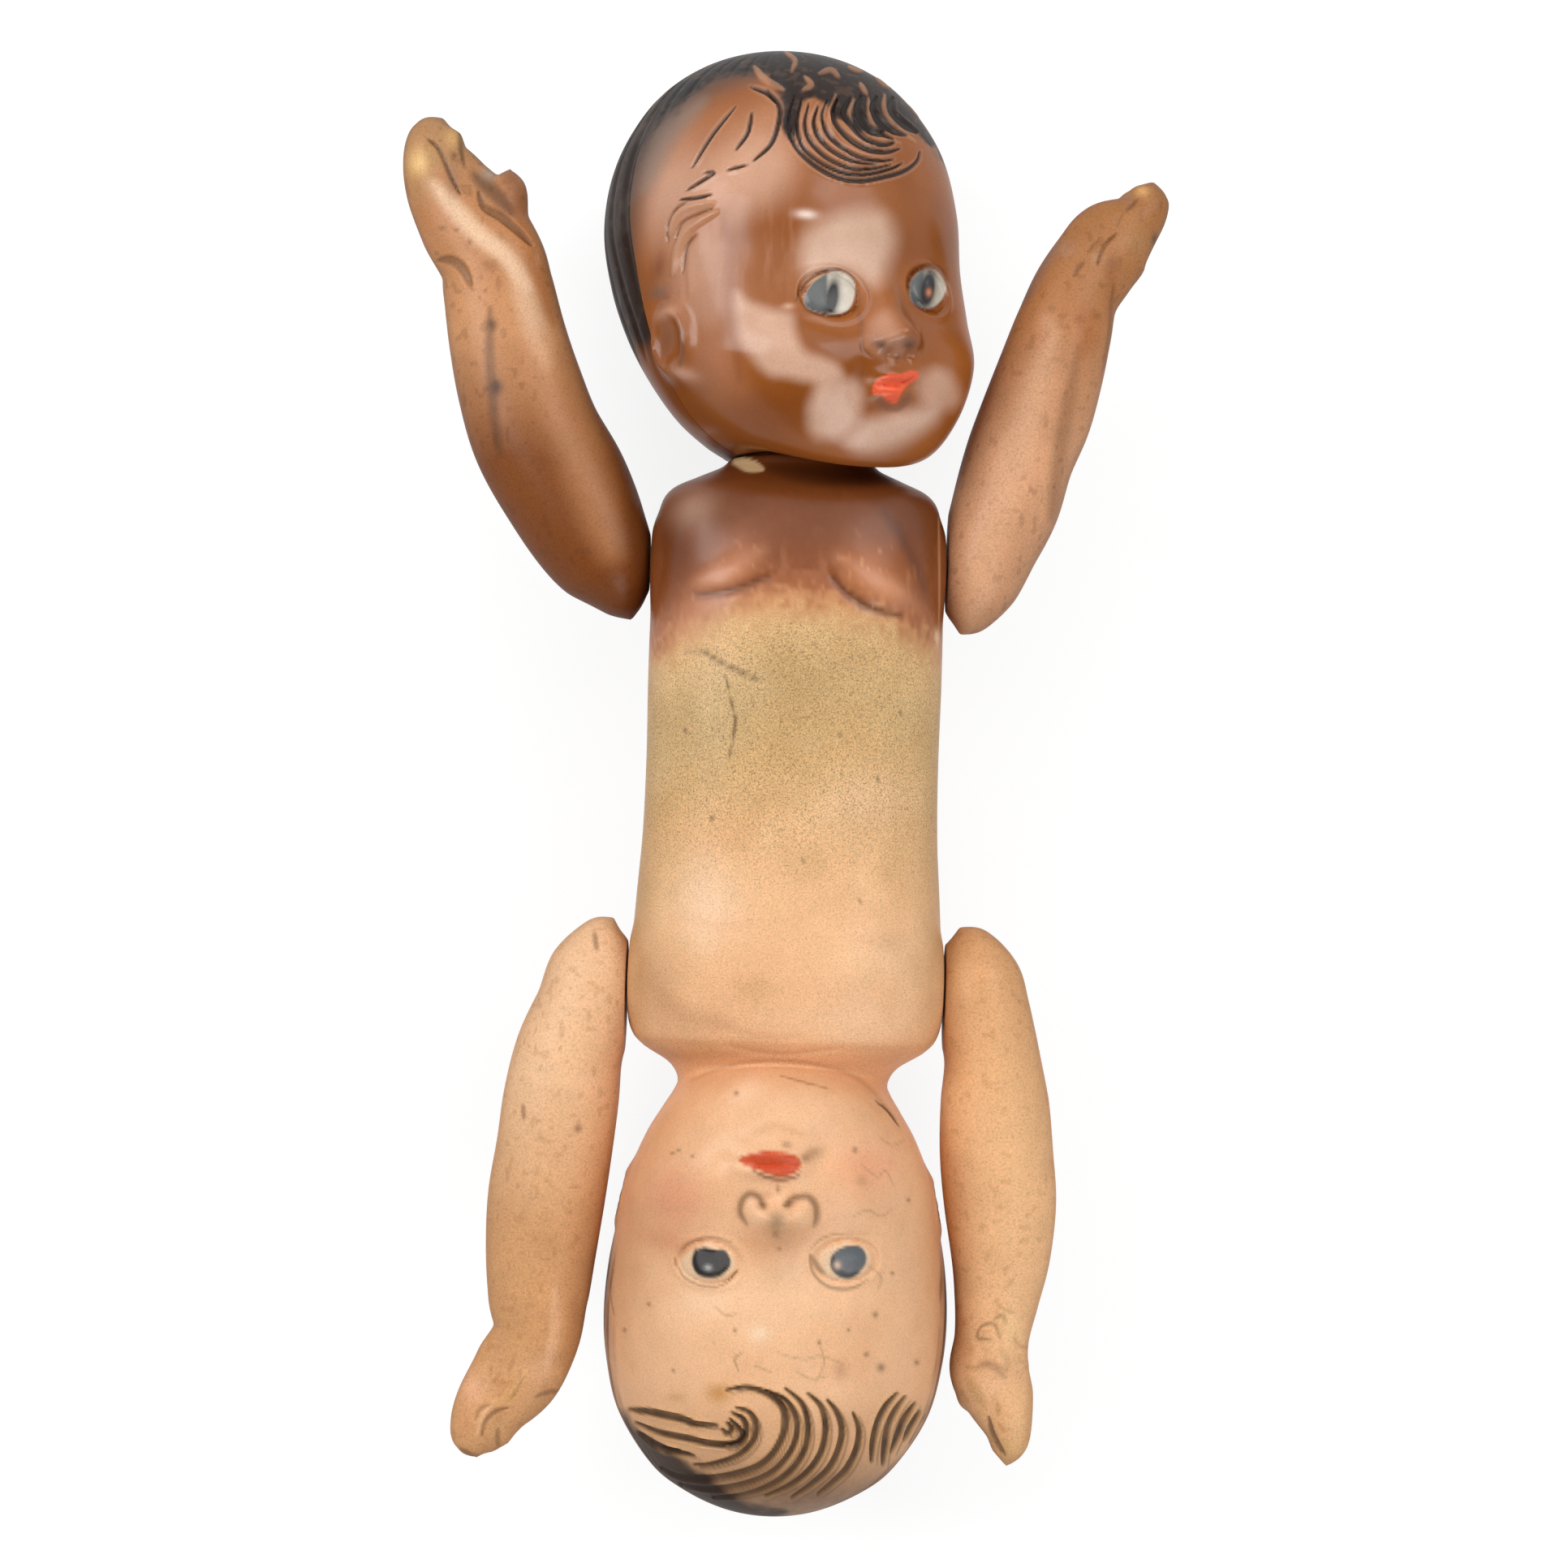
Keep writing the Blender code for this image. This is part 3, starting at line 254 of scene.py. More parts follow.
UPPER_RIGHT_ARM_SHARES = (
    (0.07, -0.122, 0, 0),
    (0.098, -0.092, 0.175, 0.25),
    (0.136, -0.03, 0.322, 0.43),
    (0.166, 0.058, 0.39, 0.5),
    (0.19, 0.147, 0.436, 0.52),
    (0.199, 0.243, 0.441, 0.51),
    (0.268, 0.331, 0.45, 0.49),
    (0.327, 0.419, 0.43, 0.46),
    (0.376, 0.5, 0.4, 0.42),
    (0.426, 0.576, 0.362, 0.38),
    (0.51, 0.637, 0.358, 0.33),
    (0.6, 0.69, 0.345, 0.29),
    (0.725, 0.742, 0.205, 0.24),
    (0.757, 0.785, 0.15, 0.17),
    (0.772, 0.812, 0, 0),
)
UPPER_RIGHT_THUMB_SHARES = (
    (0.577, 0.68, 0, 0),
    (0.605, 0.712, 0.11, 0.14),
    (0.642, 0.748, 0.1, 0.13),
    (0.677, 0.777, 0.07, 0.1),
    (0.697, 0.794, 0, 0),
)
LOWER_LEFT_ARM_SHARES = (
    (0.07, -0.118, 0, 0),
    (0.104, -0.088, 0.19, 0.26),
    (0.145, -0.02, 0.362, 0.45),
    (0.166, 0.066, 0.404, 0.5),
    (0.206, 0.158, 0.438, 0.52),
    (0.208, 0.25, 0.468, 0.52),
    (0.233, 0.353, 0.471, 0.5),
    (0.263, 0.456, 0.475, 0.48),
    (0.28, 0.559, 0.45, 0.45),
    (0.286, 0.654, 0.41, 0.41),
    (0.29, 0.735, 0.356, 0.36),
    (0.374, 0.812, 0.368, 0.31),
    (0.481, 0.878, 0.308, 0.28),
    (0.538, 0.932, 0.25, 0.25),
    (0.551, 0.968, 0.16, 0.17),
    (0.548, 0.988, 0, 0),
)
LOWER_LEFT_THUMB_SHARES = (
    (0.253, 0.725, 0, 0),
    (0.24, 0.762, 0.14, 0.17),
    (0.226, 0.796, 0.12, 0.16),
    (0.215, 0.82, 0.08, 0.11),
    (0.21, 0.834, 0, 0),
)
LOWER_RIGHT_ARM_SHARES = (
    (0.064, -0.12, 0, 0),
    (0.096, -0.09, 0.205, 0.26),
    (0.142, -0.022, 0.358, 0.44),
    (0.163, 0.051, 0.386, 0.49),
    (0.185, 0.14, 0.388, 0.51),
    (0.176, 0.235, 0.44, 0.51),
    (0.187, 0.338, 0.46, 0.5),
    (0.211, 0.441, 0.455, 0.48),
    (0.22, 0.544, 0.405, 0.44),
    (0.208, 0.632, 0.345, 0.4),
    (0.191, 0.713, 0.302, 0.36),
    (0.186, 0.779, 0.324, 0.32),
    (0.238, 0.838, 0.28, 0.28),
    (0.279, 0.897, 0.195, 0.24),
    (0.283, 0.941, 0.13, 0.17),
    (0.276, 0.974, 0, 0),
)
LOWER_RIGHT_THUMB_SHARES = (
    (0.13, 0.74, 0, 0),
    (0.1, 0.775, 0.12, 0.16),
    (0.09, 0.815, 0.11, 0.15),
    (0.1, 0.848, 0.08, 0.11),
    (0.112, 0.866, 0, 0),
)


# --------------------------------------------------------------------------------------
# Numbers on arrays
# --------------------------------------------------------------------------------------
def smooth_step(low: float, high: float, value: Array) -> Array:
    """An even rise from 0 at low to 1 at high: t squared times (3 - 2 t).

    Args:
        low: Where the rise starts.
        high: Where it ends, above or below low.
        value: Numbers of any shape.

    Returns:
        Numbers between 0 and 1.
    """
    t = np.clip((value - low) / (high - low), 0, 1)
    return t * t * (3 - 2 * t)


def bump(x: Array, y: Array, at: Pair, radii: Pair) -> Array:
    """A soft round hill of height 1: the exponential of minus the squared distance.

    Args:
        x: First coordinates.
        y: Second coordinates.
        at: Middle of the hill.
        radii: Distances at which it has fallen to about a third.

    Returns:
        Heights between 0 and 1.
    """
    return np.exp(-(((x - at[0]) / radii[0]) ** 2) - ((y - at[1]) / radii[1]) ** 2)


def curve_at(table: Array, at: Array) -> Array:
    """Rows of a Catmull-Rom spline through the table's rows.

    Args:
        table: Stations, with one row before the first and one after the last.
        at: Places counted in stations from the first real one.

    Returns:
        One row for each place.
    """
    first = np.clip(np.floor(at).astype(int), 0, len(table) - 4)
    t = (at - first)[:, None]
    p0, p1, p2, p3 = (table[first + k] for k in range(4))
    return 0.5 * (
        2 * p1
        + (p2 - p0) * t
        + (2 * p0 - 5 * p1 + 4 * p2 - p3) * t**2
        + (3 * p1 - p0 - 3 * p2 + p3) * t**3
    )


def even_rows(stations: Array, count: int, pole: bool, density: Array | None = None) -> Array:
    """Rows at even steps of length along a smooth curve through the stations.

    Args:
        stations: One row for each station. The first column is the way along, the
            third a radius.
        count: How many rows to make.
        pole: The curve starts at a pole, where the radii pass through zero.
        density: How closely the rows lie at each station, 1 where left out.

    Returns:
        The rows, with the first and the last station among them.
    """
    before = 2 * stations[0] - stations[1]
    if pole:
        before = stations[1].copy()
        before[2:5] *= -1
    table = np.vstack([before, stations, 2 * stations[-1] - stations[-2]])
    fine = np.linspace(0, len(stations) - 1, 40 * len(stations))
    rows = curve_at(table, fine)
    step = np.hypot(np.diff(rows[:, 0]), np.diff(rows[:, 2]))
    if density is not None:
        step = step * np.interp(fine[1:], np.arange(len(stations)), density)
    run = np.concatenate([[0], np.cumsum(step)])
    return curve_at(table, np.interp(np.linspace(0, run[-1], count), run, fine))


def loft(rows: Array, angles: Array, back_share: float = 1.0) -> Array:
    """Points of superellipse rings about the Y axis, one ring to a row.

    The power of each ring is 2 over its squareness. The chin side drops along the axis
    by the drop times the sine to the power 1.5.

    Args:
        rows: Along, centre, width, front, back, drop and squareness of each ring.
        angles: Angles round the ring, 0 at +X and a quarter turn at +Z.
        back_share: How much of the squareness the back half keeps.

    Returns:
        An array of rings by angles by 3.
    """
    along, centre, width, front, back, drop, square = (rows[:, k : k + 1] for k in range(7))
    across, forward = np.cos(angles)[None, :], np.sin(angles)[None, :]
    power = 2 / (2 + (square - 2) * np.where(forward >= 0, 1, back_share))
    x = width * np.sign(across) * np.abs(across) ** power
    z = centre + np.where(forward >= 0, front, back) * np.sign(forward) * np.abs(forward) ** power
    y = along + drop * np.maximum(forward, 0) ** 1.5
    return np.stack(np.broadcast_arrays(x, y, z), axis=-1).copy()


def grid_normals(grid: Array, outward: float) -> Array:
    """Unit normals of a grid of points, from the cross product of its two slopes.

    Args:
        grid: Rows by columns by 3.
        outward: 1 or -1, which turns them outwards.

    Returns:
        Normals in the shape of the grid.
    """
    along = np.gradient(grid, axis=0)
    around = np.gradient(grid, axis=1)
    normal = np.cross(along, around) * outward
    length = np.linalg.norm(normal, axis=-1, keepdims=True)
    flat = length[..., 0] < 1e-9
    normal = normal / np.maximum(length, 1e-9)
    normal[flat] = np.roll(normal, -1, axis=0)[flat]
    return normal


def cloud(points: Array, size: float, seed: int, layers: int = 3) -> Array:
    """Soft noise between 0 and 1: numbers at the corners of a lattice, blended between.

    Args:
        points: An array that ends in three coordinates.
        size: Distance between the corners of the coarsest lattice.
        seed: Which noise.
        layers: How many lattices, each twice as fine and half as strong.

    Returns:
        One number for each point.
    """
    total, weight = 0.0, 0.0
    for layer in range(layers):
        place = points / (size / 2**layer) + 64.5
        base = np.floor(place).astype(np.int64)
        part = place - base
        part = part * part * (3 - 2 * part)
        value = 0.0
        for corner in np.ndindex(2, 2, 2):
            cell = base + np.array(corner)
            key = cell @ np.array([73856093, 19349663, 83492791]) + (seed + layer) * 2654435
            key = (key ^ (key >> 13)) * 1274126177 & 0x7FFFFFFF
            share = np.prod(np.where(np.array(corner) > 0, part, 1 - part), axis=-1)
            value = value + share * ((key ^ (key >> 16)) & 0xFFFF) / 65535
        total = total + value / 2**layer
        weight += 1 / 2**layer
    return total / weight


def rounded(line: Line, steps: int = 6, closed: bool = False) -> Array:
    """A smooth curve through given points, as a fine polyline.

    Args:
        line: The points.
        steps: Fine points between two of them.
        closed: The curve comes back to its first point.

    Returns:
        The fine points.
    """
    points = np.array(line, float)
    if closed:
        table = np.vstack([points[-1], points, points[:2]])
        count = len(points)
    elif len(points) < 3:
        return points
    else:
        table = np.vstack([2 * points[0] - points[1], points, 2 * points[-1] - points[-2]])
        count = len(points) - 1
    return curve_at(table, np.linspace(0, count, count * steps + 1))


def to_line(plan: Array, line: Array) -> tuple[Array, Array]:
    """Distance from points of the plan to a polyline.

    Args:
        plan: Points, ending in two coordinates.
        line: The polyline.

    Returns:
        The distances, and for each the share of the line passed at its nearest place.
    """
    best = np.full(plan.shape[:-1], 1e9)
    share = np.zeros(plan.shape[:-1])
    for k in range(len(line) - 1):
        start, run = line[k], line[k + 1] - line[k]
        t = np.clip((plan - start) @ run / max(run @ run, 1e-12), 0, 1)
        far = np.linalg.norm(plan - start - t[..., None] * run, axis=-1)
        near = far < best
        best = np.where(near, far, best)
        share = np.where(near, (k + t) / (len(line) - 1), share)
    return best, share


def inside(plan: Array, ring: Array) -> Array:
    """Whether points of the plan lie inside a closed polyline, by counting crossings.

    Args:
        plan: Points, ending in two coordinates.
        ring: The polyline, whose last point is its first.

    Returns:
        True for each point inside.
    """
    x, y = plan[..., 0], plan[..., 1]
    odd = np.zeros(plan.shape[:-1], bool)
    for (x0, y0), (x1, y1) in zip(ring[:-1], ring[1:]):
        if y0 != y1:
            cross = (y0 > y) != (y1 > y)
            odd ^= cross & (x < x0 + (y - y0) / (y1 - y0) * (x1 - x0))
    return odd


# --------------------------------------------------------------------------------------
# The picture plane, paint and skins
# --------------------------------------------------------------------------------------
@dataclass(frozen=True)
class PicturePlane:
    """The view from above on which features are laid out, in units of 0.11215 mm.

    A point is carried from the camera through the plane at the height of the doll's
    axis, turned by the roll, and counted right and down from the picture's corner.
    """

    x: float = -1.05
    y: float = 73.2
    distance: float = 400.0
    roll: float = math.radians(1.75)
    unit: float = 0.11215
    middle: Pair = (966.5, 967.0)

    @property
    def eye(self) -> Array:
        """Place of the camera."""
        return np.array([self.x, self.y, SIZES.axis_z + self.distance])

    def plan(self, points: Array) -> Array:
        """Where points appear in the picture."""
        ray = points - self.eye
        scale = self.distance / -ray[..., 2]
        across, up = ray[..., 0] * scale, ray[..., 1] * scale
        cosine, sine = math.cos(self.roll), math.sin(self.roll)
        right = across * cosine + up * sine
        above = -across * sine + up * cosine
        return np.stack(
            [self.middle[0] + right / self.unit, self.middle[1] - above / self.unit], axis=-1
        )

    def facing(self, points: Array, normals: Array) -> Array:
        """Cosine between the normals and the way to the camera."""
        ray = self.eye - points
        ray = ray / np.linalg.norm(ray, axis=-1, keepdims=True)
        return (ray * normals).sum(-1)


PICTURE = PicturePlane()


def linear(colour: Colour) -> Array:
    """Linear light of a colour given as 0 to 255 on the screen's scale."""
    value = np.array(colour, float) / 255
    return np.where(value <= 0.04045, value / 12.92, ((value + 0.055) / 1.055) ** 2.4)


@dataclass
class Canvas:
    """The paint of one skin: a colour, a gloss and a relief for each of its points.

    Attributes:
        points: The skin's points.
        plan: Where they appear in the picture.
        seen: How far each faces the picture, 0 to 1.
        colour: Linear red, green and blue.
        gloss: 0 for matt to 1 for wet gloss.
        grain: How strongly the fine specks of the paint show.
        relief: How far the point is raised along its normal, in millimetres.
    """

    points: Array
    plan: Array
    seen: Array
    colour: Array = field(init=False)
    gloss: Array = field(init=False)
    grain: Array = field(init=False)
    relief: Array = field(init=False)

    def __post_init__(self) -> None:
        """Starts with bare grey, half gloss and no relief."""
        shape = self.points.shape[:-1]
        self.colour = np.full((*shape, 3), 0.5)
        self.gloss = np.full(shape, 0.5)
        self.grain = np.full(shape, 0.3)
        self.relief = np.zeros(shape)

    def near(self, line: Array, reach: float) -> Array:
        """True for the points that a line with its reach may touch."""
        low, high = line.min(0) - reach, line.max(0) + reach
        return ((self.plan > low) & (self.plan < high)).all(-1) & (self.seen > 0)

    def stroke(self, line: Line, width: float, soft: float = 2.0, taper: float = 0.6) -> Array:
        """A brush stroke: 1 on the line, falling to 0 past half its width.

        Args:
            line: Its points in the picture.
            width: Full width at its middle, in picture units.
            soft: How far its edge fades.
            taper: How much thinner its ends are, 0 to 1.

        Returns:
            A mask in the shape of the grid.
        """
        mask = np.zeros(self.seen.shape)
        curve = rounded(line)
        block = self.near(curve, width + soft)
        far, share = to_line(self.plan[block], curve)
        half = width / 2 * (1 - taper * np.abs(2 * share - 1) ** 3)
        mask[block] = 1 - smooth_step(0, 1, (far - half + soft / 2) / soft)
        return mask * self.seen

    def patch(
        self, ring: Line, soft: float = 3.0, ragged: float = 0.0, seed: int = 0, through: bool = False
    ) -> Array:
        """A patch with a soft or ragged edge: 1 well inside, 0 well outside.

        Args:
            ring: The points of its edge in the picture.
            soft: Width over which it fades.
            ragged: How far noise moves the edge to and fro.
            seed: Which noise.
            through: It also covers what faces away from the picture.

        Returns:
            A mask in the shape of the grid.
        """
        mask = np.zeros(self.seen.shape)
        curve = rounded(ring, closed=True)
        block = np.ones(mask.shape, bool) if through else self.near(curve, soft + ragged)
        far, _ = to_line(self.plan[block], curve)
        depth = np.where(inside(self.plan[block], curve), far, -far)
        if ragged:
            depth = depth + ragged * 2 * (cloud(self.points[block], 2.4, seed) - 0.5)
        mask[block] = smooth_step(-soft / 2, soft / 2, depth)
        return mask if through else mask * self.seen

    def spot(self, at: Pair, radii: Pair, turn: float = 0.0) -> Array:
        """A soft oval spot.

        Args:
            at: Its middle in the picture.
            radii: Its half width and half height.
            turn: Degrees by which it leans.

        Returns:
            A mask in the shape of the grid.
        """
        away = self.plan - np.array(at)
        cosine, sine = math.cos(math.radians(turn)), math.sin(math.radians(turn))
        u = (away[..., 0] * cosine + away[..., 1] * sine) / radii[0]
        v = (-away[..., 0] * sine + away[..., 1] * cosine) / radii[1]
        return np.exp(-(u * u) - v * v) * self.seen

    def wash(
        self, mask: Array, colour: Colour, gloss: float | None = None
    ) -> None:
        """Lays a colour, and a gloss where given, over what is there by the mask."""
        self.colour += mask[..., None] * (linear(colour) - self.colour)
        if gloss is not None:
            self.gloss += mask * (gloss - self.gloss)

    def spots(self, rows: tuple[tuple, ...]) -> None:
        """Lays soft ovals: middle, radii, turn, colour, weight and, where given, gloss."""
        for at, radii, turn, colour, weight, *gloss in rows:
            self.wash(weight * self.spot(at, radii, turn), colour, *gloss)

    def groove(
        self, line: Line, width: float, soft: float, colour: Colour, weight: float, depth: float
    ) -> None:
        """Draws a line of paint that is also sunk by a depth, or raised by a negative one."""
        mark = self.stroke(line, width, soft)
        self.wash(weight * mark, colour)
        self.carve(mark, depth)

    def shade(self, mask: Array, share: float) -> None:
        """Darkens, or with a share above 1 lightens, by the mask."""
        self.colour *= (1 + mask * (share - 1))[..., None]

    def carve(self, mask: Array, depth: float) -> None:
        """Sinks the surface by a depth where the mask is 1."""
        self.relief -= mask * depth


@dataclass(frozen=True)
class Skin:
    """A closed surface that is ready to become a mesh.

    Attributes:
        points: All points, in millimetres.
        quads: Corners of the faces with four sides.
        triangles: Corners of the faces with three.
        colour: Linear colour of each point.
        gloss: Gloss of each point.
        grain: Strength of the specks at each point.
    """

    points: Array
    quads: Array
    triangles: Array
    colour: Array
    gloss: Array
    grain: Array

    def to_object(self, name: str) -> bpy.types.Object:
        """Makes the mesh in metres, with its paint as point attributes."""
        mesh = bpy.data.meshes.new(name)
        corners = np.concatenate([self.quads.ravel(), self.triangles.ravel()]).astype(np.int32)
        sizes = np.concatenate(
            [np.full(len(self.quads), 4, np.int32), np.full(len(self.triangles), 3, np.int32)]
        )
        starts = (np.cumsum(sizes) - sizes).astype(np.int32)
        mesh.vertices.add(len(self.points))
        mesh.vertices.foreach_set("co", (self.points * MM).astype(np.float32).ravel())
        mesh.loops.add(len(corners))
        mesh.loops.foreach_set("vertex_index", corners)
        mesh.polygons.add(len(sizes))
        mesh.polygons.foreach_set("loop_start", starts)
        mesh.update(calc_edges=True)
        mesh.validate()
        write_paint(mesh, self.colour, self.gloss, self.grain)
        mesh.shade_smooth()
        mesh.set_sharp_from_angle(angle=math.radians(50.0))
        obj = bpy.data.objects.new(name, mesh)
        bpy.context.scene.collection.objects.link(obj)
        return obj


def write_paint(mesh: bpy.types.Mesh, colour: Array, gloss: Array, grain: Array) -> None:
    """Stores colour, gloss and grain as the point attributes that the finishes read."""
    paint = mesh.attributes.new("paint", "FLOAT_COLOR", "POINT")
    values = np.concatenate([np.clip(colour, 0, 1), np.ones((len(colour), 1))], axis=1)
    paint.data.foreach_set("color", values.astype(np.float32).ravel())
    for name, numbers in (("gloss", gloss), ("grain", grain)):
        layer = mesh.attributes.new(name, "FLOAT", "POINT")
        layer.data.foreach_set("value", np.clip(numbers, 0, 1).astype(np.float32))


def sheet_quads(ids: Array) -> tuple[Array, Array]:
    """Faces of a grid of point numbers whose first row is one repeated pole."""
    quads = np.stack([ids[1:-1, :-1], ids[1:-1, 1:], ids[2:, 1:], ids[2:, :-1]], axis=-1)
    fan = np.stack([ids[0, :-1], ids[1, 1:], ids[1, :-1]], axis=-1)
    return quads.reshape(-1, 4), fan


def half_skin(outer: Array, inner: Array, canvas: Canvas, bare: Array) -> Skin:
    """Joins the outside and the hollow of a half shell along both seams and the mouth.

    Both grids have the same rows. Along the mouth each outside edge meets the nearest
    point of the hollow.

    Args:
        outer: Outside grid, rows by columns by 3, whose first row is a pole.
        inner: Grid of the hollow with the same rows and fewer columns.
        canvas: Paint of the outside.
        bare: Linear colour of the bare composition inside.

    Returns:
        The closed skin.
    """
    ids = []
    offset = 0
    for grid in (outer, inner):
        rows, columns = grid.shape[:2]
        place = offset + 1 + np.arange((rows - 1) * columns).reshape(rows - 1, columns)
        ids.append(np.vstack([np.full(columns, offset), place]))
        offset += 1 + (rows - 1) * columns
    skin, hollow = ids
    points = np.vstack([g for grid in (outer, inner) for g in (grid[0, :1], grid[1:].reshape(-1, 3))])
    skin_quads, skin_fan = sheet_quads(skin)
    hollow_quads, hollow_fan = sheet_quads(hollow[:, ::-1])
    seams = []
    for column, flip in ((0, 1), (-1, -1)):
        near, far = skin[:, column], hollow[:, column]
        edge = np.stack([near[1:-1], near[2:], far[2:], far[1:-1]], -1)
        seams.append(edge[:, ::flip])
    tips = np.array(
        [
            (skin[0, 0], skin[1, 0], hollow[1, 0]),
            (skin[0, 0], hollow[1, 0], hollow[0, 0]),
            (skin[0, 0], hollow[1, -1], skin[1, -1]),
            (skin[0, 0], hollow[0, 0], hollow[1, -1]),
        ]
    )
    across = np.round(np.linspace(0, hollow.shape[1] - 1, skin.shape[1])).astype(int)
    step = across[1:] > across[:-1]
    mouth = [
        np.stack([skin[-1, :-1], skin[-1, 1:], hollow[-1, across[:-1]]], -1),
        np.stack([skin[-1, 1:][step], hollow[-1, across[1:][step]], hollow[-1, across[:-1][step]]], -1),
    ]
    quads = np.vstack([skin_quads, hollow_quads, *seams])
    triangles = np.vstack([skin_fan, hollow_fan, tips, *mouth])
    colour = np.tile(bare, (len(points), 1))
    gloss = np.full(len(points), 0.1)
    grain = np.full(len(points), 0.5)
    count = 1 + outer[1:].shape[0] * outer.shape[1]
    colour[0], colour[1:count] = canvas.colour[0, 0], canvas.colour[1:].reshape(-1, 3)
    gloss[0], gloss[1:count] = canvas.gloss[0, 0], canvas.gloss[1:].ravel()
    grain[0], grain[1:count] = canvas.grain[0, 0], canvas.grain[1:].ravel()
    return Skin(points, quads, triangles, colour, gloss, grain)


def turn_outwards(obj: bpy.types.Object) -> None:
    """Recalculates the normals of a closed mesh so that all faces point outwards."""
    work = bmesh.new()
    work.from_mesh(obj.data)
    bmesh.ops.recalc_face_normals(work, faces=work.faces)
    work.to_mesh(obj.data)
    work.free()


# --------------------------------------------------------------------------------------
# Finishes
# --------------------------------------------------------------------------------------
@dataclass(frozen=True)
class PaintedComposition:
    """Painted and varnished composition, whose colour, gloss and grain are attributes.

    Attributes:
        slot: The record's material slot.
        matt: Roughness where the gloss is 0.
        wet: Roughness where the gloss is 1.
        varnish: Weight of the varnish coat where the gloss is 1.
        haze: Roughness of the varnish coat.
        speck_size: Size of the specks in millimetres.
        pit: Depth of the fine bumps in millimetres.
    """

    slot: str
    matt: float
    wet: float
    varnish: float
    haze: float
    speck_size: float
    pit: float

    def material(self) -> bpy.types.Material:
        """Builds the nodes: paint times specks, roughness from gloss, a coat that fades, a bump."""
        nodes = NodeBuilder(self.slot)
        place = nodes.output("ShaderNodeTexCoord", "Object")
        paint = nodes.attribute("paint", "Color")
        gloss = nodes.attribute("gloss", "Fac")
        grain = nodes.attribute("grain", "Fac")
        fine = nodes.noise(place, 1 / (self.speck_size * MM), 2.0, 0.6)
        broad = nodes.noise(place, 1 / (TONE_SIZE * MM), 4.0, 0.6)
        specks = nodes.ramp(fine, SPECK_STOPS)
        tone = nodes.ramp(broad, TONE_STOPS)
        speckled = nodes.multiply(paint, specks)
        colour = nodes.mix(grain, paint, speckled)
        nodes.join(nodes.multiply(colour, tone), "Base Color")
        rough = nodes.spread(gloss, self.matt, self.wet)
        nodes.join(nodes.add(rough, nodes.spread(fine, 0.06, -0.06)), "Roughness")
        turned = nodes.fall(nodes.output("ShaderNodeLayerWeight", "Facing"), *COAT_FADE)
        nodes.join(nodes.multiply(nodes.spread(gloss, 0.0, self.varnish), turned), "Coat Weight")
        height = nodes.add(nodes.spread(fine, 0.0, 1.0), nodes.spread(broad, 0.0, 1.6))
        nodes.join(nodes.bump(height, self.pit * MM), "Normal")
        nodes.set("Specular IOR Level", SPECULAR)
        nodes.set("Coat Roughness", self.haze)
        nodes.set("Coat IOR", COAT_IOR)
        return nodes.material


@dataclass(frozen=True)
class PlainFinish:
    """A finish of one base colour with streaks: wire, rubber or bare wood.

    Attributes:
        slot: The record's material slot.
        dark: Colour in the streaks, 0 to 255.
        light: Colour between them.
        roughness: Mean roughness.
        metallic: 1 for metal.
        stretch: How the streaks are drawn out along X, Y and Z.
    """

    slot: str
    dark: Colour
    light: Colour
    roughness: float
    metallic: float
    stretch: tuple[float, ...]

    def material(self) -> bpy.types.Material:
        """Builds the nodes: streaky noise between two colours, with bump."""
        nodes = NodeBuilder(self.slot)
        place = nodes.output("ShaderNodeTexCoord", "Object")
        drawn = nodes.mapping(place, self.stretch)
        grain = nodes.noise(drawn, 1 / (0.8 * MM), 4.0, 0.6)
        nodes.join(nodes.blend(grain, self.dark, self.light), "Base Color")
        nodes.join(nodes.spread(grain, self.roughness + 0.1, self.roughness - 0.1), "Roughness")
        nodes.join(nodes.bump(grain, 0.04 * MM), "Normal")
        nodes.set("Metallic", self.metallic)
        return nodes.material


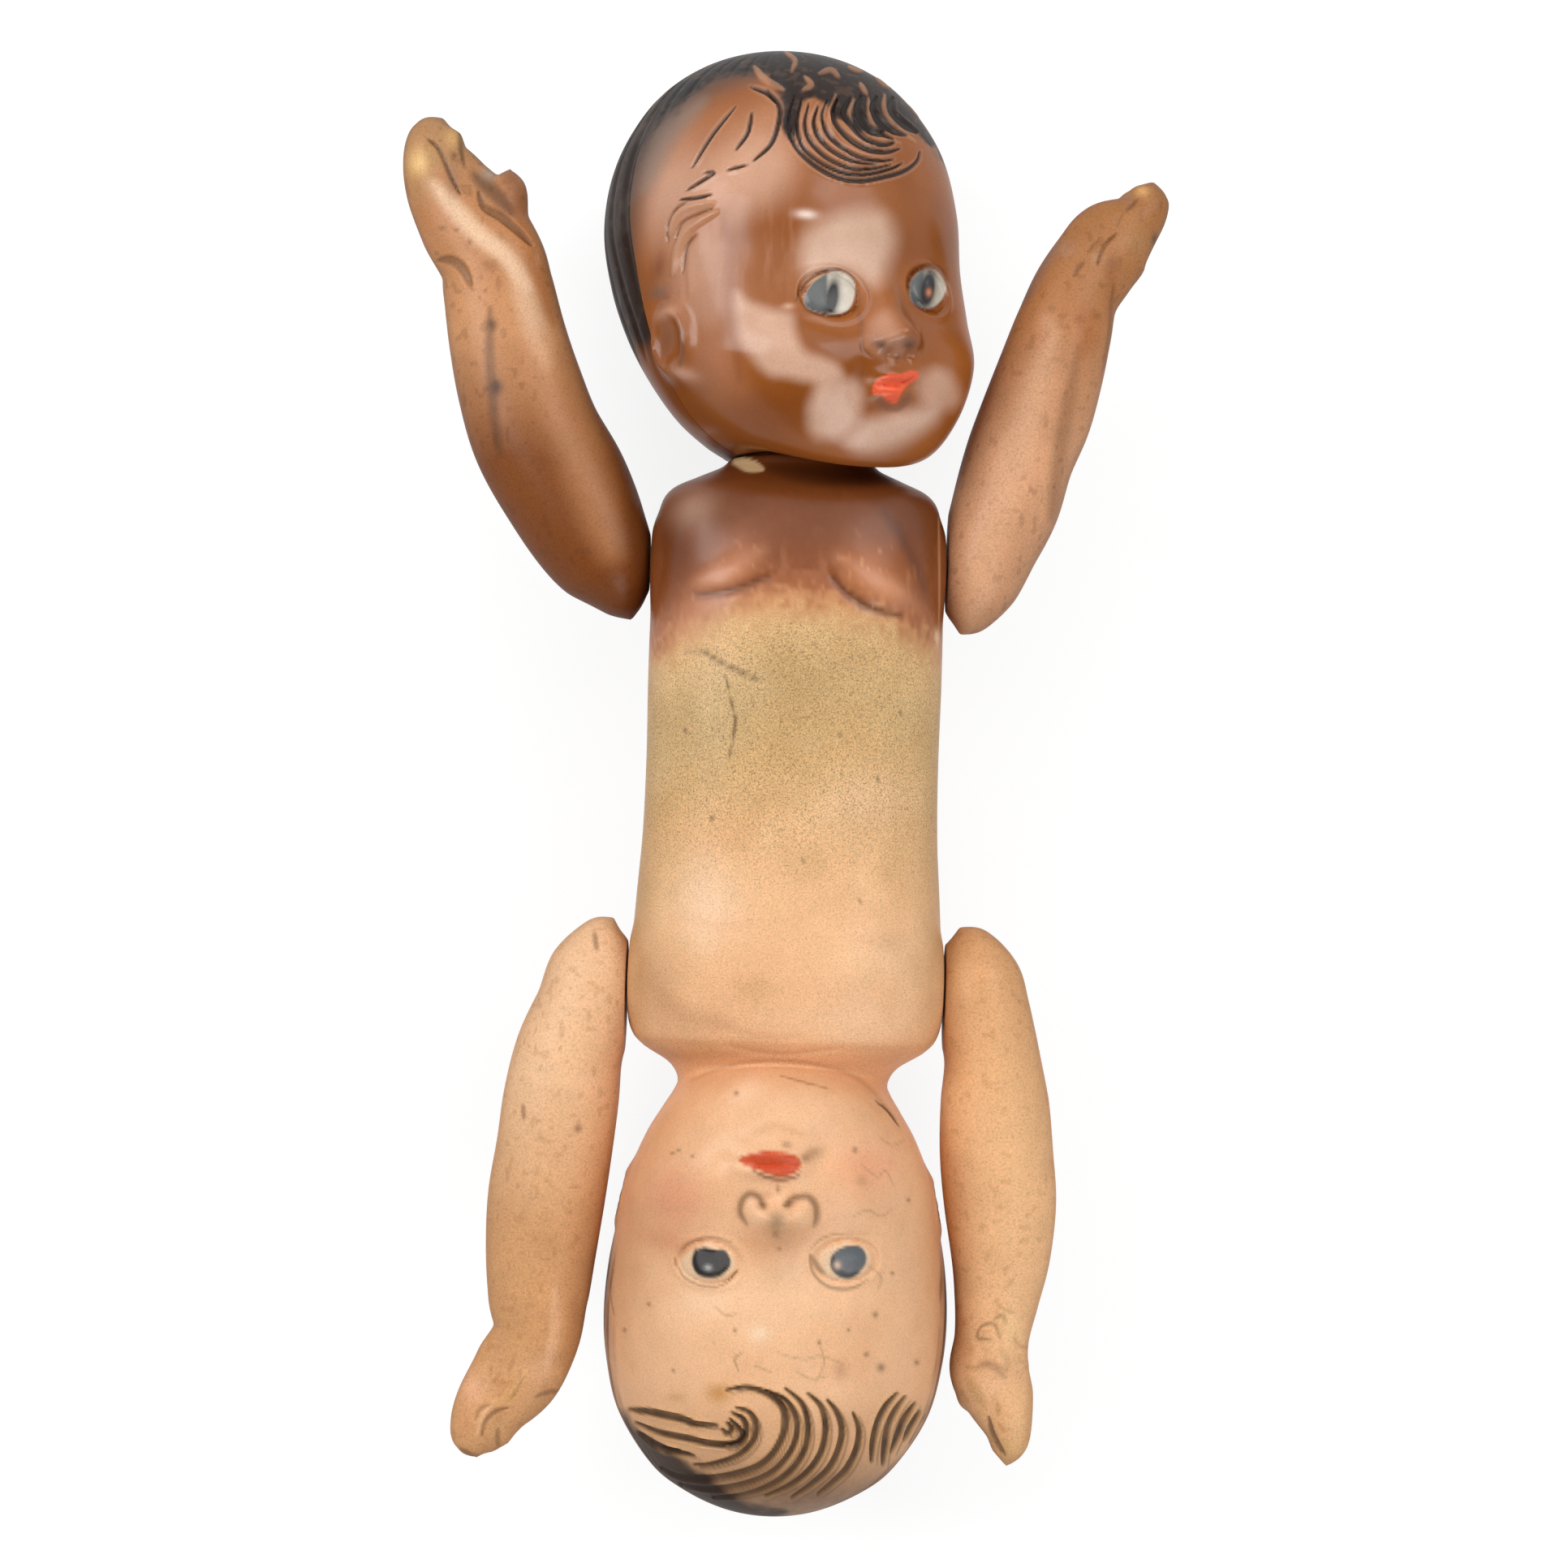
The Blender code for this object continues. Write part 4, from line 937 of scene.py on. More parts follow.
class NodeBuilder:
    """Puts nodes together into one material."""

    def __init__(self, name: str) -> None:
        """Starts a material with its shader."""
        self.material = bpy.data.materials.new(name)
        self.material.use_nodes = True
        self.tree = self.material.node_tree
        self.shader = self.tree.nodes["Principled BSDF"]

    def add_node(self, kind: str) -> bpy.types.Node:
        """A new node of a kind."""
        return self.tree.nodes.new(kind)

    def join(self, source: Socket, socket: str) -> None:
        """Leads a value to a socket of the shader."""
        self.tree.links.new(source, self.shader.inputs[socket])

    def set(self, socket: str, value: float) -> None:
        """Sets a number on a socket of the shader."""
        self.shader.inputs[socket].default_value = value

    def output(self, kind: str, socket: str) -> Socket:
        """An output of a new node that has no inputs."""
        return self.add_node(kind).outputs[socket]

    def attribute(self, name: str, socket: str) -> Socket:
        """A point attribute of the mesh."""
        node = self.add_node("ShaderNodeAttribute")
        node.attribute_name = name
        return node.outputs[socket]

    def mapping(
        self, place: Socket, stretch: tuple[float, ...]
    ) -> Socket:
        """Coordinates drawn out by a stretch."""
        node = self.add_node("ShaderNodeMapping")
        node.inputs["Scale"].default_value = stretch
        self.tree.links.new(place, node.inputs["Vector"])
        return node.outputs["Vector"]

    def noise(
        self, place: Socket, scale: float, detail: float, roughness: float
    ) -> Socket:
        """Noise at a scale, with its detail and roughness."""
        node = self.add_node("ShaderNodeTexNoise")
        node.inputs["Scale"].default_value = scale
        node.inputs["Detail"].default_value = detail
        node.inputs["Roughness"].default_value = roughness
        self.tree.links.new(place, node.inputs["Vector"])
        return node.outputs["Fac"]

    def ramp(
        self, source: Socket, stops: tuple[Pair, ...]
    ) -> Socket:
        """A grey for each value, through stops of place and brightness."""
        node = self.add_node("ShaderNodeValToRGB")
        elements = node.color_ramp.elements
        while len(elements) < len(stops):
            elements.new(0.5)
        for element, (place, grey) in zip(elements, stops):
            element.position = place
            element.color = (grey, grey, grey, 1.0)
        self.tree.links.new(source, node.inputs["Fac"])
        return node.outputs["Color"]

    def multiply(
        self, first: Socket, second: Socket
    ) -> Socket:
        """Product of two colours."""
        node = self.add_node("ShaderNodeVectorMath")
        node.operation = "MULTIPLY"
        self.tree.links.new(first, node.inputs[0])
        self.tree.links.new(second, node.inputs[1])
        return node.outputs["Vector"]

    def mix(
        self,
        share: Socket,
        first: Socket,
        second: Socket,
    ) -> Socket:
        """A colour that goes from the first to the second by a share."""
        node = self.add_node("ShaderNodeMix")
        node.data_type = "RGBA"
        self.tree.links.new(share, node.inputs[0])
        self.tree.links.new(first, node.inputs[6])
        self.tree.links.new(second, node.inputs[7])
        return node.outputs[2]

    def add(
        self, first: Socket, second: Socket
    ) -> Socket:
        """Sum of two numbers."""
        node = self.add_node("ShaderNodeMath")
        node.operation = "ADD"
        self.tree.links.new(first, node.inputs[0])
        self.tree.links.new(second, node.inputs[1])
        return node.outputs["Value"]

    def fall(self, source: Socket, start: float, end: float) -> Socket:
        """1 below the start, 0 past the end."""
        node = self.add_node("ShaderNodeMapRange")
        node.inputs["From Min"].default_value = start
        node.inputs["From Max"].default_value = end
        node.inputs["To Min"].default_value = 1.0
        node.inputs["To Max"].default_value = 0.0
        self.tree.links.new(source, node.inputs["Value"])
        return node.outputs["Result"]

    def spread(
        self, source: Socket, low: float, high: float
    ) -> Socket:
        """Carries 0 to 1 over to low to high."""
        node = self.add_node("ShaderNodeMapRange")
        node.inputs["To Min"].default_value = low
        node.inputs["To Max"].default_value = high
        self.tree.links.new(source, node.inputs["Value"])
        return node.outputs["Result"]

    def blend(
        self,
        share: Socket,
        dark: Colour,
        light: Colour,
    ) -> Socket:
        """A colour between two, by a share."""
        node = self.add_node("ShaderNodeValToRGB")
        for element, place, colour in zip(node.color_ramp.elements, (0.35, 0.65), (dark, light)):
            element.position = place
            element.color = (*linear(colour), 1.0)
        self.tree.links.new(share, node.inputs["Fac"])
        return node.outputs["Color"]

    def bump(self, height: Socket, depth: float) -> Socket:
        """A bumped normal, where a height of 1 stands for a depth in metres."""
        node = self.add_node("ShaderNodeBump")
        node.inputs["Strength"].default_value = 1.0
        node.inputs["Distance"].default_value = depth
        self.tree.links.new(height, node.inputs["Height"])
        return node.outputs["Normal"]


PEACH_BODY = PaintedComposition("peach_composition", 0.60, 0.34, 0.7, 0.26, 0.22, 0.030)
BROWN_HEAD = PaintedComposition("brown_composition", 0.55, 0.32, 0.9, 0.20, 0.30, 0.02)
BROWN_ARM = PaintedComposition("brown_arm_composition", 0.60, 0.42, 0.6, 0.34, 0.28, 0.04)
PEACH_ARM = PaintedComposition("peach_arm_composition", 0.62, 0.44, 0.5, 0.36, 0.28, 0.04)
HOOK_WIRE = PlainFinish("hook_wire", (84, 78, 70), (150, 146, 138), 0.45, 1.0, (1, 1, 0.2))
BARE_WOOD = PlainFinish("bare_wood", (140, 104, 62), (196, 160, 112), 0.75, 0.0, (0.1, 1, 1))
RUBBER_CORD = PlainFinish("rubber_elastic", (24, 22, 20), (58, 54, 50), 0.7, 0.0, (1, 1, 1))


# --------------------------------------------------------------------------------------
# Paint of the body and the heads
# --------------------------------------------------------------------------------------
@dataclass(frozen=True)
class TorsoPaint:
    """Brown at the upper end, speckled tan in the middle and peach at the lower end."""

    arch_rise: float = 62.0
    arch_half: float = 175.0
    middle: float = 985.0
    crack: Colour = (84, 62, 40)
    places: tuple[float, ...] = (600, 690, 722, 743, 772, 840, 930, 1010, 1080, 1200, 1330, 1400)
    colours: tuple[Colour, ...] = (
        (112, 58, 24),
        (138, 76, 38),
        (168, 102, 64),
        (206, 146, 98),
        (226, 184, 132),
        (216, 180, 128),
        (216, 174, 120),
        (226, 180, 130),
        (236, 186, 138),
        (240, 186, 140),
        (230, 172, 126),
        (242, 190, 146),
    )

    def lay(self, canvas: Canvas, half: Half) -> None:
        """Lays the whole ground, and on the face half the folds, cracks and chips."""
        x, y = canvas.plan[..., 0], canvas.plan[..., 1]
        drift = 26 * (cloud(canvas.points, 9.0, 3) - 0.5) + 44 * (cloud(canvas.points, 0.9, 4, 2) - 0.5)
        place = y - self.arch_rise * ((x - self.middle) / self.arch_half) ** 2 + drift
        stops = np.array([linear(colour) for colour in self.colours])
        for band in range(3):
            canvas.colour[..., band] = np.interp(place, self.places, stops[:, band])
        tan = smooth_step(735, 790, place)
        canvas.gloss[...] = 0.95 - 0.45 * tan
        torso = smooth_step(1330, 1260, y)
        canvas.grain[...] = 0.10 + 0.60 * tan * smooth_step(1140, 960, y) + 0.36 * tan
        patches = smooth_step(0.45, 0.75, cloud(canvas.points, 6.0, 8)) * tan * torso
        canvas.wash(0.30 * patches, (196, 152, 100))
        pale = smooth_step(0.55, 0.8, cloud(canvas.points, 7.0, 9)) * tan * torso
        canvas.wash(0.35 * pale, (244, 204, 156))
        # Painted shade: the tan middle darkens towards both sides of the torso
        edge = smooth_step(16.5, 21.5, np.abs(canvas.points[..., 0])) * torso
        canvas.wash(0.45 * edge * tan, (172, 128, 82))
        canvas.gloss += 0.2 * edge * tan
        if half is Half.FACE:
            self.lay_chest(canvas)
            self.lay_marks(canvas)

    def lay_chest(self, canvas: Canvas) -> None:
        """The folds of the chests with painted shade and highlights, painted shadows at the shoulders and under
        the head, a painted reflection on the left shoulder and the bare rim of the neck.
        """
        # Painted shade at the left shoulder and under the head, painted highlights on the breasts, and a painted
        # reflection on the left shoulder
        canvas.spots((
            ((832, 668), (16, 46), 0, (78, 40, 18), 0.5),
            ((850, 675), (34, 22), 25, (112, 54, 20), 0.5),
            ((860, 760), (48, 26), -30, (206, 144, 112), 0.5),
            ((900, 690), (44, 22), -45, (190, 126, 92), 0.5),
            ((1078, 700), (44, 28), 30, (182, 106, 56), 0.6),
            ((1090, 724), (34, 14), 32, (220, 154, 116), 0.85),
            ((890, 712), (34, 10), -18, (214, 150, 116), 0.65),
            ((854, 628), (30, 24), -20, (168, 130, 108), 0.8, 0.6),
            ((1000, 650), (60, 34), 0, (112, 58, 26), 0.4),
            ((1122, 640), (22, 34), -30, (112, 70, 48), 0.4),
        ))
        # Painted shadow of the right shoulder's fold
        side = ((1090, 632), (1112, 664), (1130, 700), (1140, 730))
        canvas.wash(0.45 * canvas.stroke(side, 12, 14), (70, 34, 18))
        # Dark paint in the folds is painted shade; pale paint on the ridges above them is painted highlight
        folds = (
            (((1024, 710), (1046, 732), (1074, 750), (1112, 760)), 10, 0.45),
            (((857, 735), (890, 731), (924, 720), (948, 710)), 8, 0.32),
        )
        ridges = (
            (((1036, 690), (1060, 706), (1086, 722), (1112, 738)), 30, 0.45),
            (((862, 716), (890, 706), (920, 692), (940, 680)), 24, 0.30),
        )
        for line, width, height in ridges:
            canvas.groove(line, width, width, (206, 140, 100), 0.4, -height)
        for line, width, depth in folds:
            canvas.groove(line, width, 9, (82, 40, 20), 0.75, depth)
        dots = smooth_step(0.70, 0.80, cloud(canvas.points, 0.8, 22, 1))
        worn = canvas.spot((1075, 700), (44, 30), 30) + canvas.spot((925, 690), (34, 20))
        canvas.wash(0.5 * dots * np.minimum(1, worn), (226, 160, 110))
        chip = ((903, 566), (914, 562), (936, 572), (942, 581), (924, 583), (906, 575))
        canvas.wash(0.9 * canvas.patch(chip, 3, 1.0, 17), (226, 192, 144), 0.3)
        # Painted shadow of the upper head across the top of the chest
        canvas.wash(0.5 * canvas.stroke(((950, 578), (1020, 590), (1090, 592)), 20, 14), (52, 26, 12))
        seam = canvas.stroke(((1157, 640), (1158, 720), (1157, 792)), 2.4, 2, 0.2)
        canvas.wash(0.6 * seam, (206, 150, 106))
        canvas.wash(0.8 * canvas.spot((1155, 785), (3, 9)), (242, 206, 160))

    def lay_marks(self, canvas: Canvas) -> None:
        """Cracks and grime of the tan middle, with painted highlights and painted shade on the belly and its soft
        folds.
        """
        # Among these, the pale ovals at the belly's lower left and lower right are painted highlights, and the
        # dark oval at its lower left corner is painted shade
        canvas.spots((
            ((985, 828), (110, 60), 0, (178, 146, 100), 0.45),
            ((880, 900), (60, 70), 0, (182, 156, 112), 0.40),
            ((985, 905), (50, 70), 0, (176, 140, 92), 0.35),
            ((1060, 985), (70, 44), -12, (240, 200, 158), 0.50),
            ((876, 1112), (44, 42), 0, (254, 212, 176), 0.55),
            ((1080, 1180), (66, 34), -20, (254, 210, 166), 0.50),
            ((812, 1226), (30, 60), 0, (196, 146, 104), 0.45),
            ((880, 1030), (70, 26), 0, (226, 170, 122), 0.40),
            ((905, 778), (50, 26), -20, (240, 196, 144), 0.35),
            ((1120, 800), (36, 22), 20, (186, 142, 92), 0.30),
        ))
        crack = ((846, 803), (865, 803), (880, 812), (893, 820), (915, 830), (938, 840))
        canvas.groove(crack, 3.4, 8, self.crack, 0.9, 0.10)
        dotted = canvas.stroke(((895, 835), (900, 860), (907, 885), (903, 912), (898, 938)), 4, 4)
        canvas.wash(0.8 * dotted * smooth_step(0.30, 0.55, cloud(canvas.points, 0.9, 27, 1)), self.crack)
        for at, radius in (
            ((1035, 905), 2.4), ((878, 1010), 2.6), ((1082, 962), 2.2), ((930, 985), 2.0),
            ((1110, 880), 2.4), ((845, 900), 2.4), ((990, 1060), 2.2), ((1060, 1110), 2.0),
        ):  # fmt: skip
            canvas.wash(0.7 * canvas.spot(at, (radius, radius)), self.crack)
        # Painted shade for the soft folds of the belly
        for line in (((845, 1128), (880, 1142), (925, 1140)), ((1052, 1158), (1090, 1162), (1126, 1150))):
            canvas.wash(0.22 * canvas.stroke(line, 16, 18), (206, 150, 108))
        # A painted highlight across the foot of the belly, and painted shade where it turns into the lower neck
        canvas.wash(0.5 * canvas.spot((1010, 1262), (130, 30)), (252, 208, 164))
        fold = ((786, 1180), (812, 1226), (856, 1256), (900, 1262))
        canvas.wash(0.4 * canvas.stroke(fold, 24, 24), (200, 146, 104))
        for line in (((880, 1262), (930, 1276), (990, 1278)), ((900, 1290), (960, 1300), (1030, 1294))):
            canvas.groove(line, 5, 7, (196, 138, 96), 0.3, 0.12)


@dataclass(frozen=True)
class LowerFacePaint:
    """The pale face with slate eyes, a worn red mouth and rosy cheeks."""

    rose: Colour = (222, 138, 102)
    grime: Colour = (116, 76, 48)
    stain_and_shade: Colour = (134, 100, 70)

    def lay(self, canvas: Canvas) -> None:
        """Paints cheeks, eyes, nose, mouth and the marks of wear."""
        head = smooth_step(1300, 1345, canvas.plan[..., 1])
        canvas.grain += head * (0.30 - canvas.grain)
        self.lay_ground(canvas)
        self.lay_eyes(canvas)
        self.lay_mouth(canvas)
        self.lay_nose(canvas)
        self.lay_wear(canvas)

    def lay_ground(self, canvas: Canvas) -> None:
        """The tones of the cheeks, the brow and the chin, with painted highlights on the brow and painted shade
        down the sides.
        """
        head = smooth_step(1320, 1350, canvas.plan[..., 1]) * smooth_step(1740, 1700, canvas.plan[..., 1])
        mottle = smooth_step(0.4, 0.8, cloud(canvas.points, 4.5, 15))
        canvas.wash(0.25 * mottle * head, (226, 160, 112))
        # Among these, the pale spots on the brow with the bright one are painted highlights, and the dark bands
        # down both sides and the tone by the left eye's socket are painted shade
        canvas.spots((
            ((962, 1372), (75, 36), 0, (248, 200, 160), 0.5),
            ((958, 1600), (90, 50), 0, (250, 202, 160), 0.8),
            ((868, 1606), (38, 18), -10, (252, 208, 170), 0.6),
            ((955, 1470), (60, 40), 0, (246, 194, 152), 0.55),
            ((830, 1476), (46, 42), 0, self.rose, 0.6),
            ((1066, 1440), (46, 34), 0, (236, 150, 112), 0.45),
            ((826, 1530), (40, 18), 14, (206, 132, 90), 0.5),
            ((930, 1530), (24, 18), 0, (222, 154, 108), 0.4),
            ((1170, 1540), (34, 130), 0, (186, 132, 88), 0.55),
            ((764, 1540), (34, 130), 0, (190, 134, 92), 0.5),
            ((936, 1644), (13, 10), 0, (252, 220, 186), 0.8),
            ((920, 1345), (24, 14), -30, (252, 212, 178), 0.45),
            ((1000, 1400), (40, 14), 10, (216, 158, 112), 0.35),
        ))

    def lay_eyes(self, canvas: Canvas) -> None:
        """Painted eyes: a pale ball, a slate iris, a black edge, moulded lids, painted highlights and painted
        shade in the creases beside them.
        """
        left = (
            (838, 1560), (848, 1545), (872, 1535), (898, 1543),
            (908, 1560), (894, 1574), (872, 1580), (848, 1574),
        )  # fmt: skip
        right = (
            (1006, 1556), (1016, 1542), (1042, 1534), (1066, 1538),
            (1074, 1554), (1062, 1572), (1038, 1580), (1016, 1572),
        )  # fmt: skip
        for ring in (left, right):
            canvas.wash(0.7 * canvas.patch(ring, 4), (240, 208, 172), 0.7)
        iris_left = (
            (854, 1558), (857, 1544), (866, 1538), (878, 1541), (893, 1541),
            (901, 1556), (893, 1568), (876, 1573), (860, 1570),
        )  # fmt: skip
        iris_right = (
            (1024, 1560), (1027, 1546), (1042, 1537), (1060, 1537),
            (1068, 1549), (1065, 1562), (1052, 1573), (1034, 1574),
        )  # fmt: skip
        canvas.wash(0.94 * canvas.patch(iris_left, 3), (58, 66, 74), 0.9)
        canvas.wash(0.94 * canvas.patch(iris_right, 3), (78, 90, 100), 0.9)
        black = canvas.stroke(((858, 1541), (856, 1556), (864, 1570), (884, 1572), (898, 1562)), 7, 4)
        black = np.maximum(black, canvas.stroke(((1027, 1550), (1029, 1564), (1044, 1573), (1058, 1569)), 8, 5))
        black = np.maximum(black, canvas.stroke(((866, 1540), (882, 1543)), 5, 4))
        canvas.wash(0.9 * black, (22, 20, 22), 0.9)
        # The pale dot in each of the first two spots is a painted highlight in the eye
        canvas.spots((
            ((873, 1563), (4.5, 3.5), 0, (206, 206, 202), 0.8, 0.8),
            ((1032, 1560), (4.5, 5), 0, (232, 196, 170), 0.9, 0.8),
            ((1050, 1550), (9, 5), 0, (112, 124, 132), 0.45),
        ))
        lids = (
            ((836, 1562), (846, 1577), (872, 1587), (894, 1582), (910, 1566)),
            ((998, 1546), (1003, 1570), (1022, 1587), (1050, 1589), (1072, 1576)),
        )
        for line in lids:
            canvas.groove(line, 4.0, 3, self.stain_and_shade, 0.6, 0.18)
        inner = canvas.stroke(((832, 1550), (834, 1562)), 4, 3)
        inner = np.maximum(inner, canvas.stroke(((1000, 1548), (1008, 1562), (1016, 1570)), 7, 6))
        canvas.wash(0.55 * inner, self.grime)
        # Painted shade in the moulded crease beside each eye
        crease = canvas.stroke(((1000, 1538), (1016, 1526), (1040, 1521), (1072, 1520)), 3, 3)
        crease = np.maximum(crease, canvas.stroke(((836, 1548), (850, 1534), (876, 1526), (902, 1532)), 3, 5))
        canvas.wash(0.5 * crease, self.stain_and_shade)
        canvas.carve(crease, 0.14)

    def lay_mouth(self, canvas: Canvas) -> None:
        """A small red mouth with a dark line over it as painted shadow, and a smear at its corner."""
        lips = (
            (911, 1431), (922, 1424), (934, 1421), (948, 1419), (964, 1421), (978, 1424),
            (987, 1432), (985, 1441), (975, 1448), (960, 1450), (944, 1446), (926, 1440),
        )  # fmt: skip
        canvas.wash(0.95 * canvas.patch(lips, 3, 1.4, 4), (206, 72, 36), 0.5)
        worn = canvas.patch(lips, 3) * smooth_step(0.55, 0.75, cloud(canvas.points, 1.4, 34))
        canvas.wash(0.4 * worn, (226, 112, 70))
        # Painted shadow along the edge of the lips
        rim = ((926, 1442), (942, 1451), (960, 1455), (978, 1453), (988, 1446))
        canvas.groove(rim, 4, 2.5, (132, 72, 46), 0.75, 0.12)
        canvas.spots((
            ((1002, 1422), (14, 8), -20, self.stain_and_shade, 0.5),
            ((993, 1428), (5, 5), 0, (150, 104, 72), 0.6),
            ((970, 1411), (6, 2.6), 0, (92, 58, 38), 0.7),
        ))
        canvas.wash(0.4 * canvas.stroke(((930, 1396), (958, 1388), (990, 1398)), 7, 9), (206, 150, 106))

    def lay_nose(self, canvas: Canvas) -> None:
        """Darker strokes round the wings of the nose, its holes and its bare tip."""
        for line in (
            ((920, 1510), (912, 1497), (914, 1482), (924, 1473), (936, 1477), (942, 1487)),
            ((968, 1486), (980, 1478), (996, 1476), (1006, 1487), (1007, 1502), (1004, 1512)),
        ):
            canvas.wash(0.35 * canvas.stroke(line, 12, 12), (186, 138, 98))
            canvas.groove(line, 7, 6, self.stain_and_shade, 0.75, 0.24)
        for spot in ((940, 1486), (972, 1485)):
            canvas.wash(0.75 * canvas.spot(spot, (6, 5)), (104, 72, 48))
        canvas.spots((
            ((957, 1508), (12, 14), 0, (128, 106, 78), 0.85, 0.3),
            ((956, 1522), (4, 5), 0, (104, 76, 50), 0.6, 0.3),
            ((959, 1466), (3, 5), 0, self.grime, 0.6),
            ((957, 1530), (36, 26), 0, (214, 154, 112), 0.35),
            ((930, 1504), (8, 8), 0, (250, 204, 164), 0.5),
            ((990, 1506), (9, 8), 0, (250, 204, 164), 0.5),
        ))

    def lay_wear(self, canvas: Canvas) -> None:
        """Painted shade in the crease under the jaw, cracks at the sides, stains and specks."""
        # Painted shade along the crease between the jaw and the neck, darkest at the right
        jaw = ((852, 1332), (900, 1314), (957, 1307), (1020, 1316), (1064, 1335), (1104, 1380))
        canvas.wash(0.45 * canvas.stroke(jaw, 5, 7), (176, 118, 80))
        canvas.groove(((1080, 1358), (1094, 1369), (1108, 1388)), 3, 2, (84, 52, 32), 0.85, 0.15)
        for line in (
            ((757, 1565), (752, 1590), (757, 1622)), ((1160, 1578), (1159, 1606)), ((960, 1326), (1020, 1342)),
            ((914, 1668), (906, 1676), (910, 1690)), ((824, 1424), (842, 1416)), ((850, 1428), (858, 1423)),
        ):  # fmt: skip
            canvas.wash(0.55 * canvas.stroke(line, 2.4, 2), self.grime)
        for line in (
            ((1062, 1436), (1080, 1450), (1092, 1444), (1102, 1462)),
            ((1052, 1500), (1070, 1492), (1086, 1500), (1100, 1490)),
            ((1086, 1404), (1100, 1412), (1114, 1406)), ((958, 1668), (990, 1676), (1012, 1672), (1040, 1682)),
            ((980, 1690), (1000, 1700), (1022, 1696)), ((1010, 1656), (1016, 1680), (1006, 1704)),
            ((930, 1684), (952, 1692)),
            ((1070, 1560), (1086, 1574), (1082, 1590)), ((880, 1610), (896, 1622), (910, 1618)),
        ):  # fmt: skip
            canvas.wash(0.40 * canvas.stroke(line, 2.2, 3), self.stain_and_shade)
        canvas.spots((
            ((1063, 1456), (8, 7), 0, (186, 140, 98), 0.55),
            ((1036, 1690), (9, 14), 0, (176, 120, 92), 0.4),
            ((834, 1723), (12, 7), 0, (190, 140, 80), 0.4),
        ))
        for at, radius in (
            ((1079, 1621), 3.4), ((1068, 1670), 3.2), ((1086, 1686), 5), ((906, 1640), 2.5), ((908, 1348), 3),
            ((1010, 1655), 2.5), ((1120, 1480), 2.5), ((1054, 1418), 3.5), ((800, 1608), 2.4), ((770, 1640), 2.6),
            ((1046, 1640), 2.2), ((1100, 1570), 2.4), ((830, 1690), 2.2), ((960, 1540), 2.4), ((1130, 1680), 3),
        ):  # fmt: skip
            canvas.wash(0.7 * canvas.spot(at, (radius, radius)), self.grime)


LOWER_HAIR_LINES: tuple[tuple[Line, float], ...] = (
    (((776, 1738), (800, 1741), (840, 1750), (856, 1756), (884, 1758)), 8),
    (((784, 1754), (812, 1766), (848, 1774), (880, 1781), (908, 1779), (914, 1766), (900, 1750)), 7),
    (((788, 1766), (812, 1782), (836, 1790), (856, 1795)), 6),
    (((816, 1786), (840, 1789)), 5),
    (((890, 1762), (896, 1768), (902, 1762), (896, 1754)), 6),
    (((902, 1742), (916, 1750), (920, 1766), (912, 1780), (892, 1784)), 6),
    (((908, 1736), (924, 1742), (932, 1758), (928, 1778), (908, 1796), (876, 1806), (856, 1806)), 6.5),
    (
        ((896, 1714), (920, 1711), (944, 1718), (964, 1734), (968, 1758), (960, 1782), (944, 1802),
         (920, 1814), (880, 1822), (840, 1820), (816, 1810)),
        7.5,
    ),
    (((944, 1714), (968, 1726), (982, 1750), (980, 1778), (966, 1802), (944, 1820), (908, 1832),
      (872, 1835), (840, 1830)), 6.5),
    (((968, 1712), (988, 1730), (996, 1754), (994, 1782), (980, 1808), (956, 1828), (920, 1842),
      (880, 1846)), 6.5),
    (((996, 1718), (1012, 1734), (1018, 1758), (1014, 1786), (1000, 1810), (976, 1830), (944, 1844)), 6.5),
    (((1020, 1726), (1032, 1742), (1038, 1762), (1034, 1786), (1022, 1810), (1000, 1830), (976, 1846)), 6.5),
    (((1052, 1742), (1059, 1762), (1056, 1786), (1044, 1810), (1028, 1826), (1008, 1842)), 6.5),
    (((1106, 1718), (1092, 1734), (1082, 1754), (1076, 1778), (1074, 1802)), 6.5),
    (((1116, 1722), (1102, 1742), (1094, 1762), (1090, 1786), (1088, 1806)), 6.5),
    (((1128, 1730), (1114, 1750), (1106, 1770), (1098, 1790)), 6.5),
    (((1134, 1740), (1122, 1758), (1114, 1776)), 6.5),
)  # fmt: skip


@dataclass(frozen=True)
class HairWaves:
    """Moulded waves of hair on the back of a head, combed from the crown to the nape.

    Attributes:
        waves: How many locks lie round the head.
        swirl: How far the locks turn on their way down, in radians.
        depth: Depth of the grooves in millimetres.
    """

    waves: float
    swirl: float
    depth: float

    def groove(self, x: Array, z: Array, down: Array) -> Array:
        """Depth share of the grooves: a sharpened wave of the angle round the head.

        Args:
            x: Sideways distance from the head's axis.
            z: Distance forwards from it.
            down: Distance from the crown, as a share of the head's length.

        Returns:
            1 in a groove and 0 on a lock.
        """
        angle = np.arctan2(x, z) + self.swirl * (down + 0.08 * np.sin(9 * down))
        comb = 0.5 + 0.5 * np.cos(self.waves * angle + 1.2 * np.sin(3 * angle))
        return comb**4 * smooth_step(0.02, 0.12, down)


